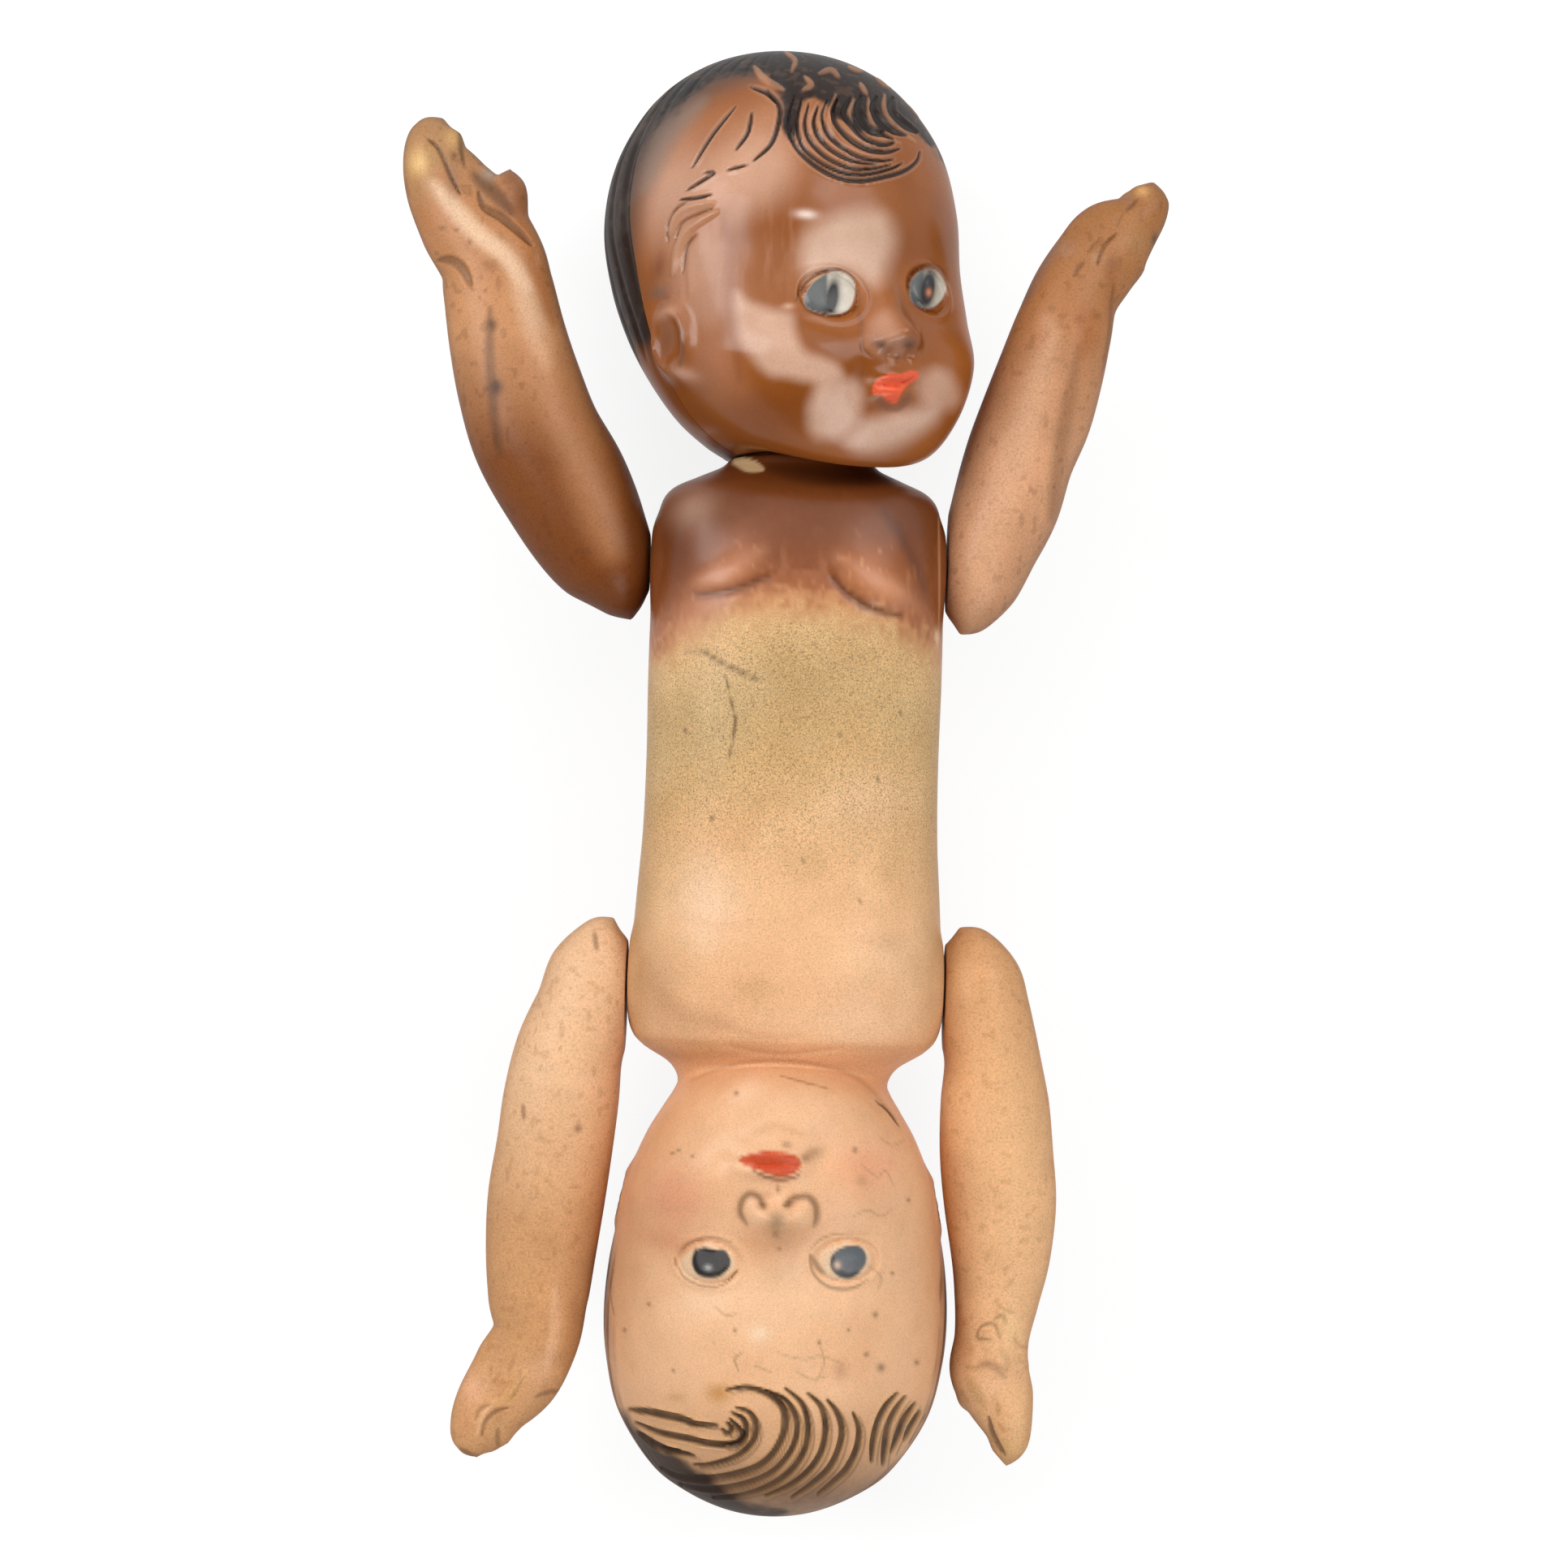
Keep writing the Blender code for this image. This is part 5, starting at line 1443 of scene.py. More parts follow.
@dataclass(frozen=True)
class LowerHairPaint:
    """Faded brown hair on the lower head, with combed grooves that keep the dark paint."""

    waves: HairWaves = HairWaves(38, 0.5, 0.28)
    edge: float = 1712.0
    ridge: Colour = (228, 174, 116)
    groove: Colour = (50, 30, 19)
    wash: Colour = (190, 138, 94)

    def lay(self, canvas: Canvas, half: Half) -> None:
        """Paints and carves the hair of one half."""
        y_mm = canvas.points[..., 1]
        down = (y_mm - SIZES.crown_y) / SIZES.lower_head_length
        if half is Half.BACK:
            hair = smooth_step(0.86, 0.78, down)
            canvas.wash(0.8 * hair * smooth_step(0.25, 0.6, cloud(canvas.points, 5, 5)), (140, 96, 62))
            canvas.wash(0.5 * hair, (130, 86, 56), 0.5)
            comb = self.waves.groove(canvas.points[..., 0], SIZES.axis_z - canvas.points[..., 2], down)
            worn = smooth_step(0.2, 0.6, cloud(canvas.points, 6, 6))
            canvas.wash(0.8 * comb * hair * worn, self.groove)
            canvas.carve(comb * hair, self.waves.depth)
            return
        forward = canvas.points[..., 2] - SIZES.axis_z
        side = smooth_step(8.0, 1.5, forward + 4 * (cloud(canvas.points, 4, 33) - 0.5))
        side = side * smooth_step(0.66, 0.54, down)
        canvas.wash(0.8 * side, (140, 96, 62), 0.45)
        comb = self.waves.groove(canvas.points[..., 0], -forward, down)
        canvas.wash(0.6 * comb * side, self.groove)
        canvas.carve(comb * side, self.waves.depth)
        y = canvas.plan[..., 1] + 10 * (cloud(canvas.points, 3, 31) - 0.5)
        hair = smooth_step(self.edge - 4, self.edge + 50, y)
        canvas.wash(0.35 * hair, self.wash, 0.5)
        canvas.wash(0.75 * canvas.spot((886, 1718), (16, 12)), (196, 136, 66))
        for line, width in LOWER_HAIR_LINES:
            canvas.groove(line, width + 8, 4, self.ridge, 0.55, -0.14)
        for line, width in LOWER_HAIR_LINES:
            mark = canvas.stroke(line, 1.25 * width, 3)
            canvas.wash(mark * (0.75 + 0.25 * cloud(canvas.points, 2, 12)), self.groove, 0.3)
            canvas.carve(mark, 0.42)
        for line, width in LOWER_HAIR_LINES:
            beside = tuple((spot[0] + 7, spot[1] + 4) for spot in line)
            canvas.wash(0.55 * canvas.stroke(beside, 0.4 * width, 3), self.groove, 0.3)
        crown = smooth_step(1780, 1850, y)
        canvas.wash(0.9 * crown * (0.6 + 0.4 * cloud(canvas.points, 1.2, 13)), (112, 82, 58))
        edge = (
            (764, 1738), (792, 1766), (832, 1794), (872, 1820), (920, 1852), (970, 1866), (900, 1892),
            (826, 1864), (766, 1812), (744, 1760),
        )  # fmt: skip
        canvas.wash(0.95 * canvas.patch(edge, 14, 6, 9), (40, 24, 16), 0.2)
        right = ((1150, 1730), (1120, 1790), (1080, 1826), (1030, 1856), (1060, 1856), (1120, 1820), (1160, 1760))
        canvas.wash(0.7 * canvas.patch(right, 16, 5, 19), (104, 70, 44))


# Painted reflections of a window on the glossy brown face: edge ring, soft edge, colour and weight
UPPER_PAINTED_REFLECTIONS: tuple[tuple[Line, float, Colour, float], ...] = (
    (
        ((993, 342), (988, 313), (993, 289), (1010, 275), (1045, 263), (1074, 259), (1094, 269),
         (1103, 295), (1094, 330), (1080, 353), (1062, 342), (1045, 333), (1022, 333), (1004, 342)),
        20, (234, 198, 174), 0.82,
    ),
    (
        ((865, 231), (888, 197), (923, 182), (964, 188), (975, 214), (958, 243), (929, 260),
         (906, 272), (894, 255), (871, 255)),
        30, (224, 176, 148), 0.62,
    ),
    (
        ((907, 362), (923, 374), (952, 382), (975, 388), (981, 411), (993, 434), (1027, 446),
         (1036, 463), (1010, 472), (975, 466), (946, 461), (926, 440), (909, 411)),
        12, (232, 192, 166), 0.82,
    ),
    (
        ((1010, 475), (1033, 468), (1056, 472), (1063, 492), (1056, 521), (1036, 539),
         (1010, 542), (997, 527), (998, 498)),
        14, (234, 196, 172), 0.84,
    ),
    (
        ((1045, 545), (1068, 521), (1097, 513), (1132, 504), (1155, 504), (1152, 521),
         (1126, 539), (1097, 553), (1062, 559)),
        16, (234, 198, 176), 0.84,
    ),
    (
        ((1133, 466), (1152, 455), (1172, 463), (1184, 490), (1172, 504), (1149, 504), (1135, 490)),
        14, (228, 186, 162), 0.74,
    ),
    (
        ((845, 307), (877, 295), (894, 307), (894, 365), (882, 400), (853, 388), (842, 353)),
        22, (206, 160, 134), 0.50,
    ),
    (
        ((1068, 400), (1091, 388), (1114, 411), (1120, 434), (1091, 440), (1071, 429)),
        14, (214, 168, 142), 0.50,
    ),
)  # fmt: skip


UPPER_HAIR_LINES: tuple[tuple[Line, float], ...] = (
    (((979, 119), (972, 146), (977, 175), (997, 199), (1026, 217), (1058, 224), (1094, 218), (1116, 211),
      (1130, 200), (1134, 188)), 6),
    (((988, 123), (983, 150), (988, 179), (1008, 199), (1037, 213), (1066, 216), (1098, 209), (1112, 202)), 5.5),
    (((997, 128), (992, 154), (999, 175), (1019, 195), (1048, 208), (1073, 209), (1098, 204)), 5.5),
    (((1008, 132), (1003, 154), (1013, 175), (1033, 191), (1055, 200), (1080, 204)), 5.5),
    (((1019, 125), (1013, 146), (1022, 168), (1040, 184), (1062, 195), (1084, 199), (1102, 197)), 5.5),
    (((1033, 121), (1026, 139), (1033, 157), (1051, 175), (1073, 186), (1094, 188), (1109, 184)), 7),
    (((1048, 121), (1040, 139), (1051, 157), (1066, 172), (1087, 179), (1102, 177)), 8),
    (((1062, 118), (1057, 136), (1066, 154), (1080, 164), (1100, 172)), 9),
    (((1080, 121), (1075, 136), (1084, 150), (1098, 161), (1116, 168)), 9),
    (((1100, 122), (1098, 138), (1110, 152), (1130, 164)), 10),
    (((907, 132), (878, 168), (853, 208)), 4),
    (((927, 139), (922, 164), (907, 186)), 5),
    (((946, 112), (960, 130), (960, 152), (950, 179), (929, 199)), 6),
    (((925, 108), (945, 116), (957, 128)), 5),
    (((896, 211), (922, 204)), 3.5),
    (((868, 214), (880, 214), (862, 226), (846, 236)), 4),
    (((838, 247), (860, 245), (878, 240)), 4),
)  # fmt: skip
UPPER_RIDGE_LINES: tuple[tuple[Line, float], ...] = (
    (((1001, 172), (999, 150), (1008, 128)), 5),
    (((1018, 180), (1010, 158), (1018, 130)), 5.5),
    (((1046, 190), (1028, 170), (1022, 146), (1030, 118)), 5),
    (((1078, 182), (1058, 168), (1046, 146), (1052, 124)), 5.5),
    (((1110, 178), (1086, 168), (1072, 148), (1070, 122)), 5),
    (((1128, 176), (1106, 160), (1090, 138), (1090, 118)), 5.5),
    (((992, 96), (1000, 106), (990, 112)), 7),
    (((1010, 92), (1024, 88), (1034, 96)), 7),
    (((1046, 84), (1062, 90)), 6),
    (((1060, 104), (1068, 118)), 6),
    (((1080, 98), (1094, 110)), 5),
    (((968, 66), (980, 76), (976, 90)), 6),
    (((1120, 128), (1134, 146)), 6),
    (((930, 84), (944, 100), (966, 112)), 9),
)  # fmt: skip


@dataclass(frozen=True)
class UpperFacePaint:
    """The dark brown face with painted side-glancing eyes and black moulded hair."""

    waves: HairWaves = HairWaves(34, 0.6, 0.30)
    black: Colour = (25, 22, 22)
    hairline: Line = (
        (690, 430), (740, 405), (779, 373), (769, 320), (768, 260), (780, 212), (796, 176), (822, 142),
        (858, 114), (898, 96), (938, 92), (965, 100), (1010, 84), (1090, 92), (1140, 140), (1168, 204),
        (1240, 216), (1280, 100), (1200, 0), (1000, -40), (800, 0), (690, 120), (660, 280),
    )  # fmt: skip

    def lay(self, canvas: Canvas, half: Half) -> None:
        """Paints one half of the head."""
        own = self.own_frame(canvas.points)
        self.lay_ground(canvas, own)
        if half is Half.FACE:
            self.lay_tones(canvas)
            self.lay_features(canvas)
            self.lay_hair(canvas, own)
        else:
            self.lay_back_hair(canvas, own)

    @staticmethod
    def own_frame(points: Array) -> Array:
        """Points counted in the head's own frame, with the neck at the origin."""
        matrix = SwivelHead.matrix()
        return (points - matrix[:3, 3]) @ matrix[:3, :3]

    def lay_ground(self, canvas: Canvas, own: Array) -> None:
        """Brown paint with mottled tones, paler towards the neck as painted light against the shade under the
        jaw.
        """
        canvas.colour[...] = linear((150, 82, 26))
        canvas.grain[...] = 0.14
        mottle = cloud(canvas.points, 11.0, 41)
        canvas.wash(smooth_step(0.35, 0.75, mottle) * 0.5, (172, 100, 44))
        canvas.wash(smooth_step(0.55, 0.2, mottle) * 0.4, (124, 62, 12))
        canvas.gloss[...] = 0.95
        # Painted light: paler towards the neck, lifting the shade under the jaw
        low = smooth_step(5.0, 0.0, own[..., 1])
        canvas.wash(0.5 * low, (176, 104, 50))

    def lay_tones(self, canvas: Canvas) -> None:
        """Soft tones of the brow, the cheeks, the temple, the jaw and the ear, with painted reflections,
        highlights and shade.
        """
        # Among these, the pale ovals over the temple and at the top left are painted reflections, the dark oval
        # at the lower left is painted shade along the jaw, the dark oval in the ear's hollow is painted shade,
        # and the pale ovals on its rim and lobe are painted highlights
        for at, radii, turn, colour, weight in (
            ((955, 520), (60, 44), 0, (122, 60, 10), 0.75),
            ((1075, 255), (70, 34), 10, (166, 98, 48), 0.5),
            ((945, 320), (26, 46), 0, (150, 84, 34), 0.5),
            ((850, 330), (34, 60), 5, (198, 142, 108), 0.6),
            ((880, 440), (30, 50), -10, (190, 128, 92), 0.5),
            ((845, 500), (60, 40), 40, (112, 62, 30), 0.5),
            ((930, 180), (70, 40), -35, (216, 164, 132), 0.6),
            ((826, 236), (44, 66), 25, (220, 174, 148), 0.65),
            ((1150, 420), (28, 36), 0, (150, 82, 34), 0.4),
            ((1085, 520), (24, 12), 0, (176, 124, 96), 0.5),
            ((1170, 300), (22, 60), 0, (140, 80, 36), 0.5),
            ((811, 332), (10, 22), 10, (128, 66, 18), 0.85),
            ((812, 362), (12, 9), 0, (108, 86, 76), 0.7),
            ((822, 422), (13, 24), 10, (124, 66, 26), 0.8),
            ((823, 386), (14, 7), -20, (204, 152, 124), 0.7),
            ((842, 461), (19, 8), 15, (206, 158, 132), 0.7),
            ((1010, 392), (16, 5), 0, (196, 140, 108), 0.4),
        ):
            canvas.wash(weight * canvas.spot(at, radii, turn), colour)
        # Pale streaks over the brow and temple, a streaked painted reflection
        hatch = smooth_step(0.45, 0.7, cloud(canvas.points * np.array([2.2, 0.35, 1.0]), 2.0, 43))
        reflection_area = canvas.spot((955, 300), (52, 50)) + canvas.spot((860, 330), (40, 70))
        canvas.wash(0.30 * hatch * np.minimum(1, reflection_area), (200, 146, 112))
        # The first stroke is a painted dark reflection down the temple; the third is painted shade at the front
        # of the ear
        for line, width, colour, weight in (
            (((893, 262), (898, 320), (906, 400), (912, 470)), 15, (138, 74, 28), 0.6),
            (((852, 292), (846, 330), (848, 370)), 5, (140, 78, 36), 0.5),
            (((838, 402), (841, 430), (838, 452)), 6, (92, 62, 50), 0.5),
            (((1056, 380), (1062, 400), (1060, 420)), 8, (120, 66, 34), 0.5),
        ):
            canvas.wash(weight * canvas.stroke(line, width, 0.9 * width), colour)
        # The painted reflections, laid with less gloss
        for ring, soft, colour, weight in UPPER_PAINTED_REFLECTIONS:
            full = 0.86 + 0.14 * smooth_step(0.3, 0.7, cloud(canvas.points, 6.0, 46))
            canvas.wash(0.88 * weight * full * canvas.patch(ring, 1.8 * soft, 2, 44), colour, 0.6)
        # A painted highlight on the forehead
        canvas.wash(0.9 * canvas.spot((994, 265), (13, 5.5), 5), (250, 224, 210), 1.0)

    def lay_features(self, canvas: Canvas) -> None:
        """The eyes with their lids, the nose's holes, a painted highlight on the nose and the orange-red mouth.
        """
        left = (
            (991, 372), (997, 356), (1010, 343), (1026, 336), (1040, 337), (1051, 346),
            (1054, 360), (1050, 376), (1041, 386), (1024, 388), (1006, 385), (996, 381),
        )  # fmt: skip
        right = (
            (1121, 362), (1123, 348), (1132, 337), (1145, 332), (1156, 336), (1164, 348),
            (1166, 358), (1160, 371), (1150, 379), (1138, 380), (1126, 374),
        )  # fmt: skip
        around = np.maximum(canvas.patch(left, 12), canvas.patch(right, 12))
        canvas.wash(0.45 * around, (112, 62, 34))
        x = canvas.plan[..., 0]
        for ring, grey_to, black_at, radii, white in (
            (left, 1020, (1026, 368), (8, 22), (222, 212, 196)),
            (right, 1139, (1144, 357), (9, 24), (214, 204, 186)),
        ):
            eye = canvas.patch(ring, 3)
            canvas.wash(eye, white, 0.95)
            canvas.wash(0.35 * eye * smooth_step(0.4, 0.7, cloud(canvas.points, 1.6, 71)), (186, 172, 150))
            canvas.wash(eye * (1 - smooth_step(grey_to - 3, grey_to + 3, x)), (104, 106, 106), 0.95)
            canvas.wash(eye * np.minimum(1, 1.7 * canvas.spot(black_at, radii, 8)), (20, 18, 18), 0.95)
        canvas.wash(canvas.stroke(((994, 352), (1003, 345), (1016, 338)), 3, 3), (214, 168, 128))
        canvas.wash(canvas.spot((1145, 361), (3.5, 5)), (206, 130, 90))
        canvas.spots((
            ((1143, 349), (2.5, 4), 0, (70, 84, 96), 0.7),
            ((972, 378), (7, 3.5), 0, (236, 190, 160), 0.6),
        ))
        lids = (
            ((981, 372), (988, 356), (1004, 341), (1026, 333), (1044, 336), (1058, 352)),
            ((1118, 356), (1122, 341), (1134, 331), (1148, 327), (1160, 333), (1168, 348)),
        )
        for line in lids:
            canvas.groove(line, 4, 3, (92, 50, 26), 0.7, 0.08)
        under = canvas.stroke(((992, 382), (1010, 389), (1032, 390), (1048, 384)), 4, 3)
        under = np.maximum(under, canvas.stroke(((1122, 372), (1136, 382), (1152, 381), (1162, 372)), 4, 3))
        canvas.wash(0.5 * under, (84, 46, 26))
        mouth = (
            (1075, 481), (1080, 469), (1097, 461), (1110, 461), (1124, 457), (1132, 460), (1131, 468),
            (1117, 477), (1111, 487), (1105, 498), (1095, 496), (1086, 488), (1076, 487),
        )  # fmt: skip
        canvas.wash(0.97 * canvas.patch(mouth, 3, 1.0, 6), (240, 94, 54), 0.9)
        canvas.groove(((1078, 480), (1094, 474), (1112, 474), (1128, 464)), 2.6, 2, (186, 62, 36), 0.5, 0.14)
        lip = ((1079, 490), (1092, 498), (1105, 501), (1120, 484), (1122, 494), (1108, 508), (1088, 505))
        canvas.wash(0.6 * canvas.patch(lip, 5), (126, 74, 54))
        canvas.wash(0.5 * canvas.spot((1072, 470), (6, 4)), (214, 164, 138))
        for spot in ((1084, 424), (1122, 424)):
            canvas.wash(0.75 * canvas.spot(spot, (9, 6.5)), (104, 72, 58))
        for spot in ((1088, 427), (1118, 427), (1107, 441)):
            canvas.wash(0.6 * canvas.spot(spot, (4.5, 3.5)), (70, 40, 26))
        for line in (((1062, 420), (1064, 432), (1074, 440)), ((1136, 412), (1138, 424), (1132, 434))):
            canvas.groove(line, 4, 4, (94, 54, 30), 0.55, 0.12)
        # A painted highlight on the nose
        canvas.wash(0.45 * canvas.spot((1090, 395), (14, 18)), (204, 150, 120))

    def lay_hair(self, canvas: Canvas, own: Array) -> None:
        """The black hair above the hairline, the combed curls and the side locks."""
        mirror = own * np.array([-1.0, 1.0, 1.0])
        matrix = SwivelHead.matrix()
        behind = Canvas(canvas.points, PICTURE.plan(mirror @ matrix[:3, :3].T + matrix[:3, 3]), canvas.seen)
        hidden = smooth_step(17.0, 21.0, own[..., 0])
        fade = self.hair_mask(canvas, behind, hidden, 60, 10)
        canvas.wash(0.60 * fade, (118, 104, 92), 0.6)
        soot = canvas.stroke(((768, 340), (776, 232), (812, 152), (872, 100), (934, 84)), 44, 40)
        canvas.wash(0.75 * soot, (58, 50, 46), 0.5)
        canvas.wash(0.45 * canvas.stroke(((796, 232), (822, 172), (866, 126)), 26, 24), (150, 136, 124), 0.5)
        band = (
            (958, 84), (1010, 70), (1070, 72), (1120, 96), (1148, 130), (1164, 182), (1148, 180),
            (1126, 166), (1104, 160), (1084, 166), (1064, 160), (1044, 150), (1024, 136), (1006, 118),
            (990, 124), (984, 150), (976, 172), (966, 150), (962, 118), (948, 104),
        )  # fmt: skip
        hair = np.maximum(self.hair_mask(canvas, behind, hidden, 16, 9), canvas.patch(band, 7, 8, 15))
        canvas.wash(0.96 * hair, self.black, 0.45)
        canvas.wash(0.5 * canvas.stroke(((962, 96), (966, 130), (972, 160)), 16, 12), (54, 52, 54), 0.45)
        dust = smooth_step(0.55, 0.75, cloud(canvas.points, 0.9, 57, 2))
        canvas.wash(0.35 * dust * hair, (104, 78, 60))
        for line, width in UPPER_RIDGE_LINES:
            mark = canvas.stroke(line, width, 3)
            canvas.wash(0.8 * mark * (0.5 + 0.5 * cloud(canvas.points, 1.5, 58)), (190, 138, 104))
            canvas.carve(-mark, 0.22)
        for line, width in UPPER_HAIR_LINES:
            wide = canvas.stroke(line, width + 6, 4)
            canvas.wash(0.38 * wide * (1 - hair), (206, 156, 126))
            canvas.carve(-wide, 0.12)
        for line, width in UPPER_HAIR_LINES:
            mark = canvas.stroke(line, width, 2.5)
            canvas.wash(0.95 * mark, (34, 26, 22), 0.5)
            canvas.carve(mark, 0.36)
        comb = self.waves.groove(own[..., 0], -own[..., 2], 1 - own[..., 1] / SIZES.upper_head_length)
        canvas.carve(comb * hair * (1 - canvas.patch(band, 7)), 0.6 * self.waves.depth)
        lock = ((826, 290), (830, 274), (839, 262), (858, 254), (880, 252))
        lower = ((830, 340), (834, 312), (844, 288), (862, 274), (884, 262))
        for line, width in ((lock, 7), (lower, 9)):
            canvas.groove(line, width, 5, (192, 142, 110), 0.55, -0.32)
        for line in (
            ((823, 300), (824, 276), (834, 258), (846, 250)),
            ((832, 300), (840, 276), (862, 264), (878, 258)),
            ((842, 338), (846, 306), (858, 290)),
        ):
            canvas.groove(line, 3.4, 2.5, (104, 60, 30), 0.75, 0.22)

    def hair_mask(
        self, canvas: Canvas, behind: Canvas, hidden: Array, soft: float, ragged: float
    ) -> Array:
        """Where the black hair lies; the side that the picture hides mirrors the other."""
        near = canvas.patch(self.hairline, soft, ragged, 52, True)
        return near + hidden * (behind.patch(self.hairline, soft, ragged, 52, True) - near)

    def lay_back_hair(self, canvas: Canvas, own: Array) -> None:
        """Black hair with combed waves over the back of the head, down to the nape."""
        down = 1 - own[..., 1] / SIZES.upper_head_length
        ragged = 3.0 * (cloud(canvas.points, 4.0, 51) - 0.5)
        hair = smooth_step(0.80, 0.70, down + ragged / 60)
        canvas.wash(0.6 * (1 - hair), (104, 56, 28))
        canvas.wash(0.96 * hair, self.black, 0.25)
        canvas.wash(0.5 * hair * smooth_step(0.5, 0.8, cloud(canvas.points, 3.0, 60)), (84, 76, 70))
        comb = self.waves.groove(own[..., 0], -own[..., 2], down)
        canvas.carve(comb * hair, self.waves.depth)
        rubbed = smooth_step(0.62, 0.78, cloud(canvas.points, 1.6, 61)) * hair
        canvas.wash(0.55 * rubbed * (1 - comb), (104, 72, 50))


# --------------------------------------------------------------------------------------
# Forms of the moulded shells
# --------------------------------------------------------------------------------------
@dataclass(frozen=True)
class FaceForms:
    """Places and sizes of a face's features, with heights above its neck line."""

    eye_up: float
    eye_lean: float
    eye_apart: float
    eye_width: float
    eye_height: float
    eye_rise: float
    socket: float
    nose_up: float
    nose_width: float
    nose_length: float
    nose_rise: float
    mouth_up: float
    mouth_at: float
    mouth_width: float
    lip: float
    lip_rise: float
    muzzle: float
    chin_up: float
    chin_radius: float
    chin_rise: float
    cheek_up: float
    cheek_apart: float
    cheek_rise: float
    ear_up: float
    ear_forward: float
    ear_height: float
    ear_width: float
    ear_rise: float

    def relief(self, x: Array, up: Array) -> Array:
        """How far the features stand out forwards from the plain head.

        Soft hills make the bridge, the tip and the wings of the nose, the muzzle, chin,
        cheeks and lips. Hollows make the eye sockets, nostrils, the line between the
        lips and the crease under them. The eyeballs are flat domes inside a lid ring.
        """
        half, long = self.nose_width / 2, self.nose_length
        rise = self.nose_rise * bump(x, up, (0, self.nose_up), (0.72 * half, 0.34 * long))
        rise += 0.35 * self.nose_rise * bump(
            x, up, (0, self.nose_up + 0.55 * long), (0.6 * half, 0.5 * long)
        )
        mouth = self.mouth_at
        rise += self.muzzle * bump(x, up, (mouth, self.mouth_up), (self.mouth_width, 2.8 * self.lip))
        rise += self.chin_rise * bump(x, up, (0, self.chin_up), (self.chin_radius,) * 2)
        rise += self.lip_rise * bump(
            x, up, (mouth, self.mouth_up - 0.75 * self.lip), (0.32 * self.mouth_width, 0.6 * self.lip)
        )
        wide = self.mouth_width
        for side in (-1, 1):
            rise += 0.95 * self.lip_rise * bump(
                x,
                up,
                (mouth + side * 0.16 * wide, self.mouth_up + 0.7 * self.lip),
                (0.26 * wide, 0.6 * self.lip),
            )
            wing = (side * 0.75 * half, self.nose_up - 0.14 * long)
            rise += 0.34 * self.nose_rise * bump(x, up, wing, (0.4 * half, 0.2 * long))
            nostril = (side * 0.42 * half, self.nose_up - 0.38 * long)
            rise -= 0.28 * self.nose_rise * bump(x, up, nostril, (0.24 * half, 0.11 * long))
            eye, high = side * self.eye_apart / 2, self.eye_up + side * self.eye_lean
            rise -= self.socket * bump(x, up, (eye, high), (0.75 * self.eye_width, 0.9 * self.eye_height))
            off = np.hypot(2 * (x - eye) / self.eye_width, 2 * (up - high) / self.eye_height)
            rise += self.eye_rise * np.sqrt(np.maximum(0, 1 - off**2))
            rise += 0.30 * np.exp(-(((off - 1.28) / 0.16) ** 2))
            rise -= 0.16 * np.exp(-(((off - 1.06) / 0.10) ** 2))
            rise += self.cheek_rise * bump(x, up, (side * self.cheek_apart / 2, self.cheek_up), (7.0, 7.0))
            corner = (mouth + side * 0.66 * wide, self.mouth_up + 0.1 * self.lip)
            rise -= 0.55 * bump(x, up, corner, (0.18 * wide, 1.4 * self.lip))
        rise -= 0.30 * bump(x, up, (0, self.mouth_up + 2.6 * self.lip), (0.8, 1.2))
        rise -= 0.42 * bump(x, up, (mouth, self.mouth_up), (0.42 * wide, 0.28 * self.lip))
        rise -= 0.50 * bump(x, up, (mouth, self.mouth_up - 2.1 * self.lip), (0.5 * wide, 0.7 * self.lip))
        return rise

    def ear(self, points: Array, up: Array) -> Array:
        """How far a moulded ear stands out sideways: a rim and a lobe round a hollow."""
        u = (up - self.ear_up) / (0.5 * self.ear_height)
        v = (points[..., 2] - self.ear_forward) / (0.5 * self.ear_width)
        off = np.hypot(u, v)
        base = np.exp(-((off / 1.1) ** 6))
        rim = np.exp(-(((off - 0.8) / 0.2) ** 2)) * smooth_step(-0.9, 0.2, u + 0.6 * np.abs(v) - 0.5 * v)
        lobe = bump(u, v, (-0.72, 0.15), (0.30, 0.42))
        shell = bump(u, v, (0.02, 0.12), (0.45, 0.5))
        rise = 0.55 * base + 0.55 * rim + 0.6 * lobe - 0.45 * shell
        return self.ear_rise * rise * np.sign(points[..., 0])


UPPER_FACE = FaceForms(
    eye_up=19.8, eye_lean=0.8, eye_apart=15.8, eye_width=7.2, eye_height=5.8, eye_rise=1.1, socket=1.2,
    nose_up=13.9, nose_width=7.0, nose_length=7.5, nose_rise=3.1,
    mouth_up=7.3, mouth_at=0.0, mouth_width=7.6, lip=1.5, lip_rise=0.5, muzzle=0.4,
    chin_up=2.0, chin_radius=4.6, chin_rise=0.5, cheek_up=8.5, cheek_apart=20.0, cheek_rise=0.4,
    ear_up=14.4, ear_forward=3.9, ear_height=10.5, ear_width=8.0, ear_rise=1.3,
)  # fmt: skip
LOWER_FACE = FaceForms(
    eye_up=21.55, eye_lean=-0.35, eye_apart=18.0, eye_width=7.6, eye_height=5.4, eye_rise=0.9, socket=1.0,
    nose_up=15.9, nose_width=7.6, nose_length=7.5, nose_rise=2.8,
    mouth_up=8.2, mouth_at=-1.3, mouth_width=9.4, lip=1.5, lip_rise=0.7, muzzle=1.0,
    chin_up=3.0, chin_radius=5.0, chin_rise=0.9, cheek_up=11.5, cheek_apart=26.0, cheek_rise=0.6,
    ear_up=16.0, ear_forward=1.0, ear_height=9.0, ear_width=6.0, ear_rise=0.45,
)  # fmt: skip


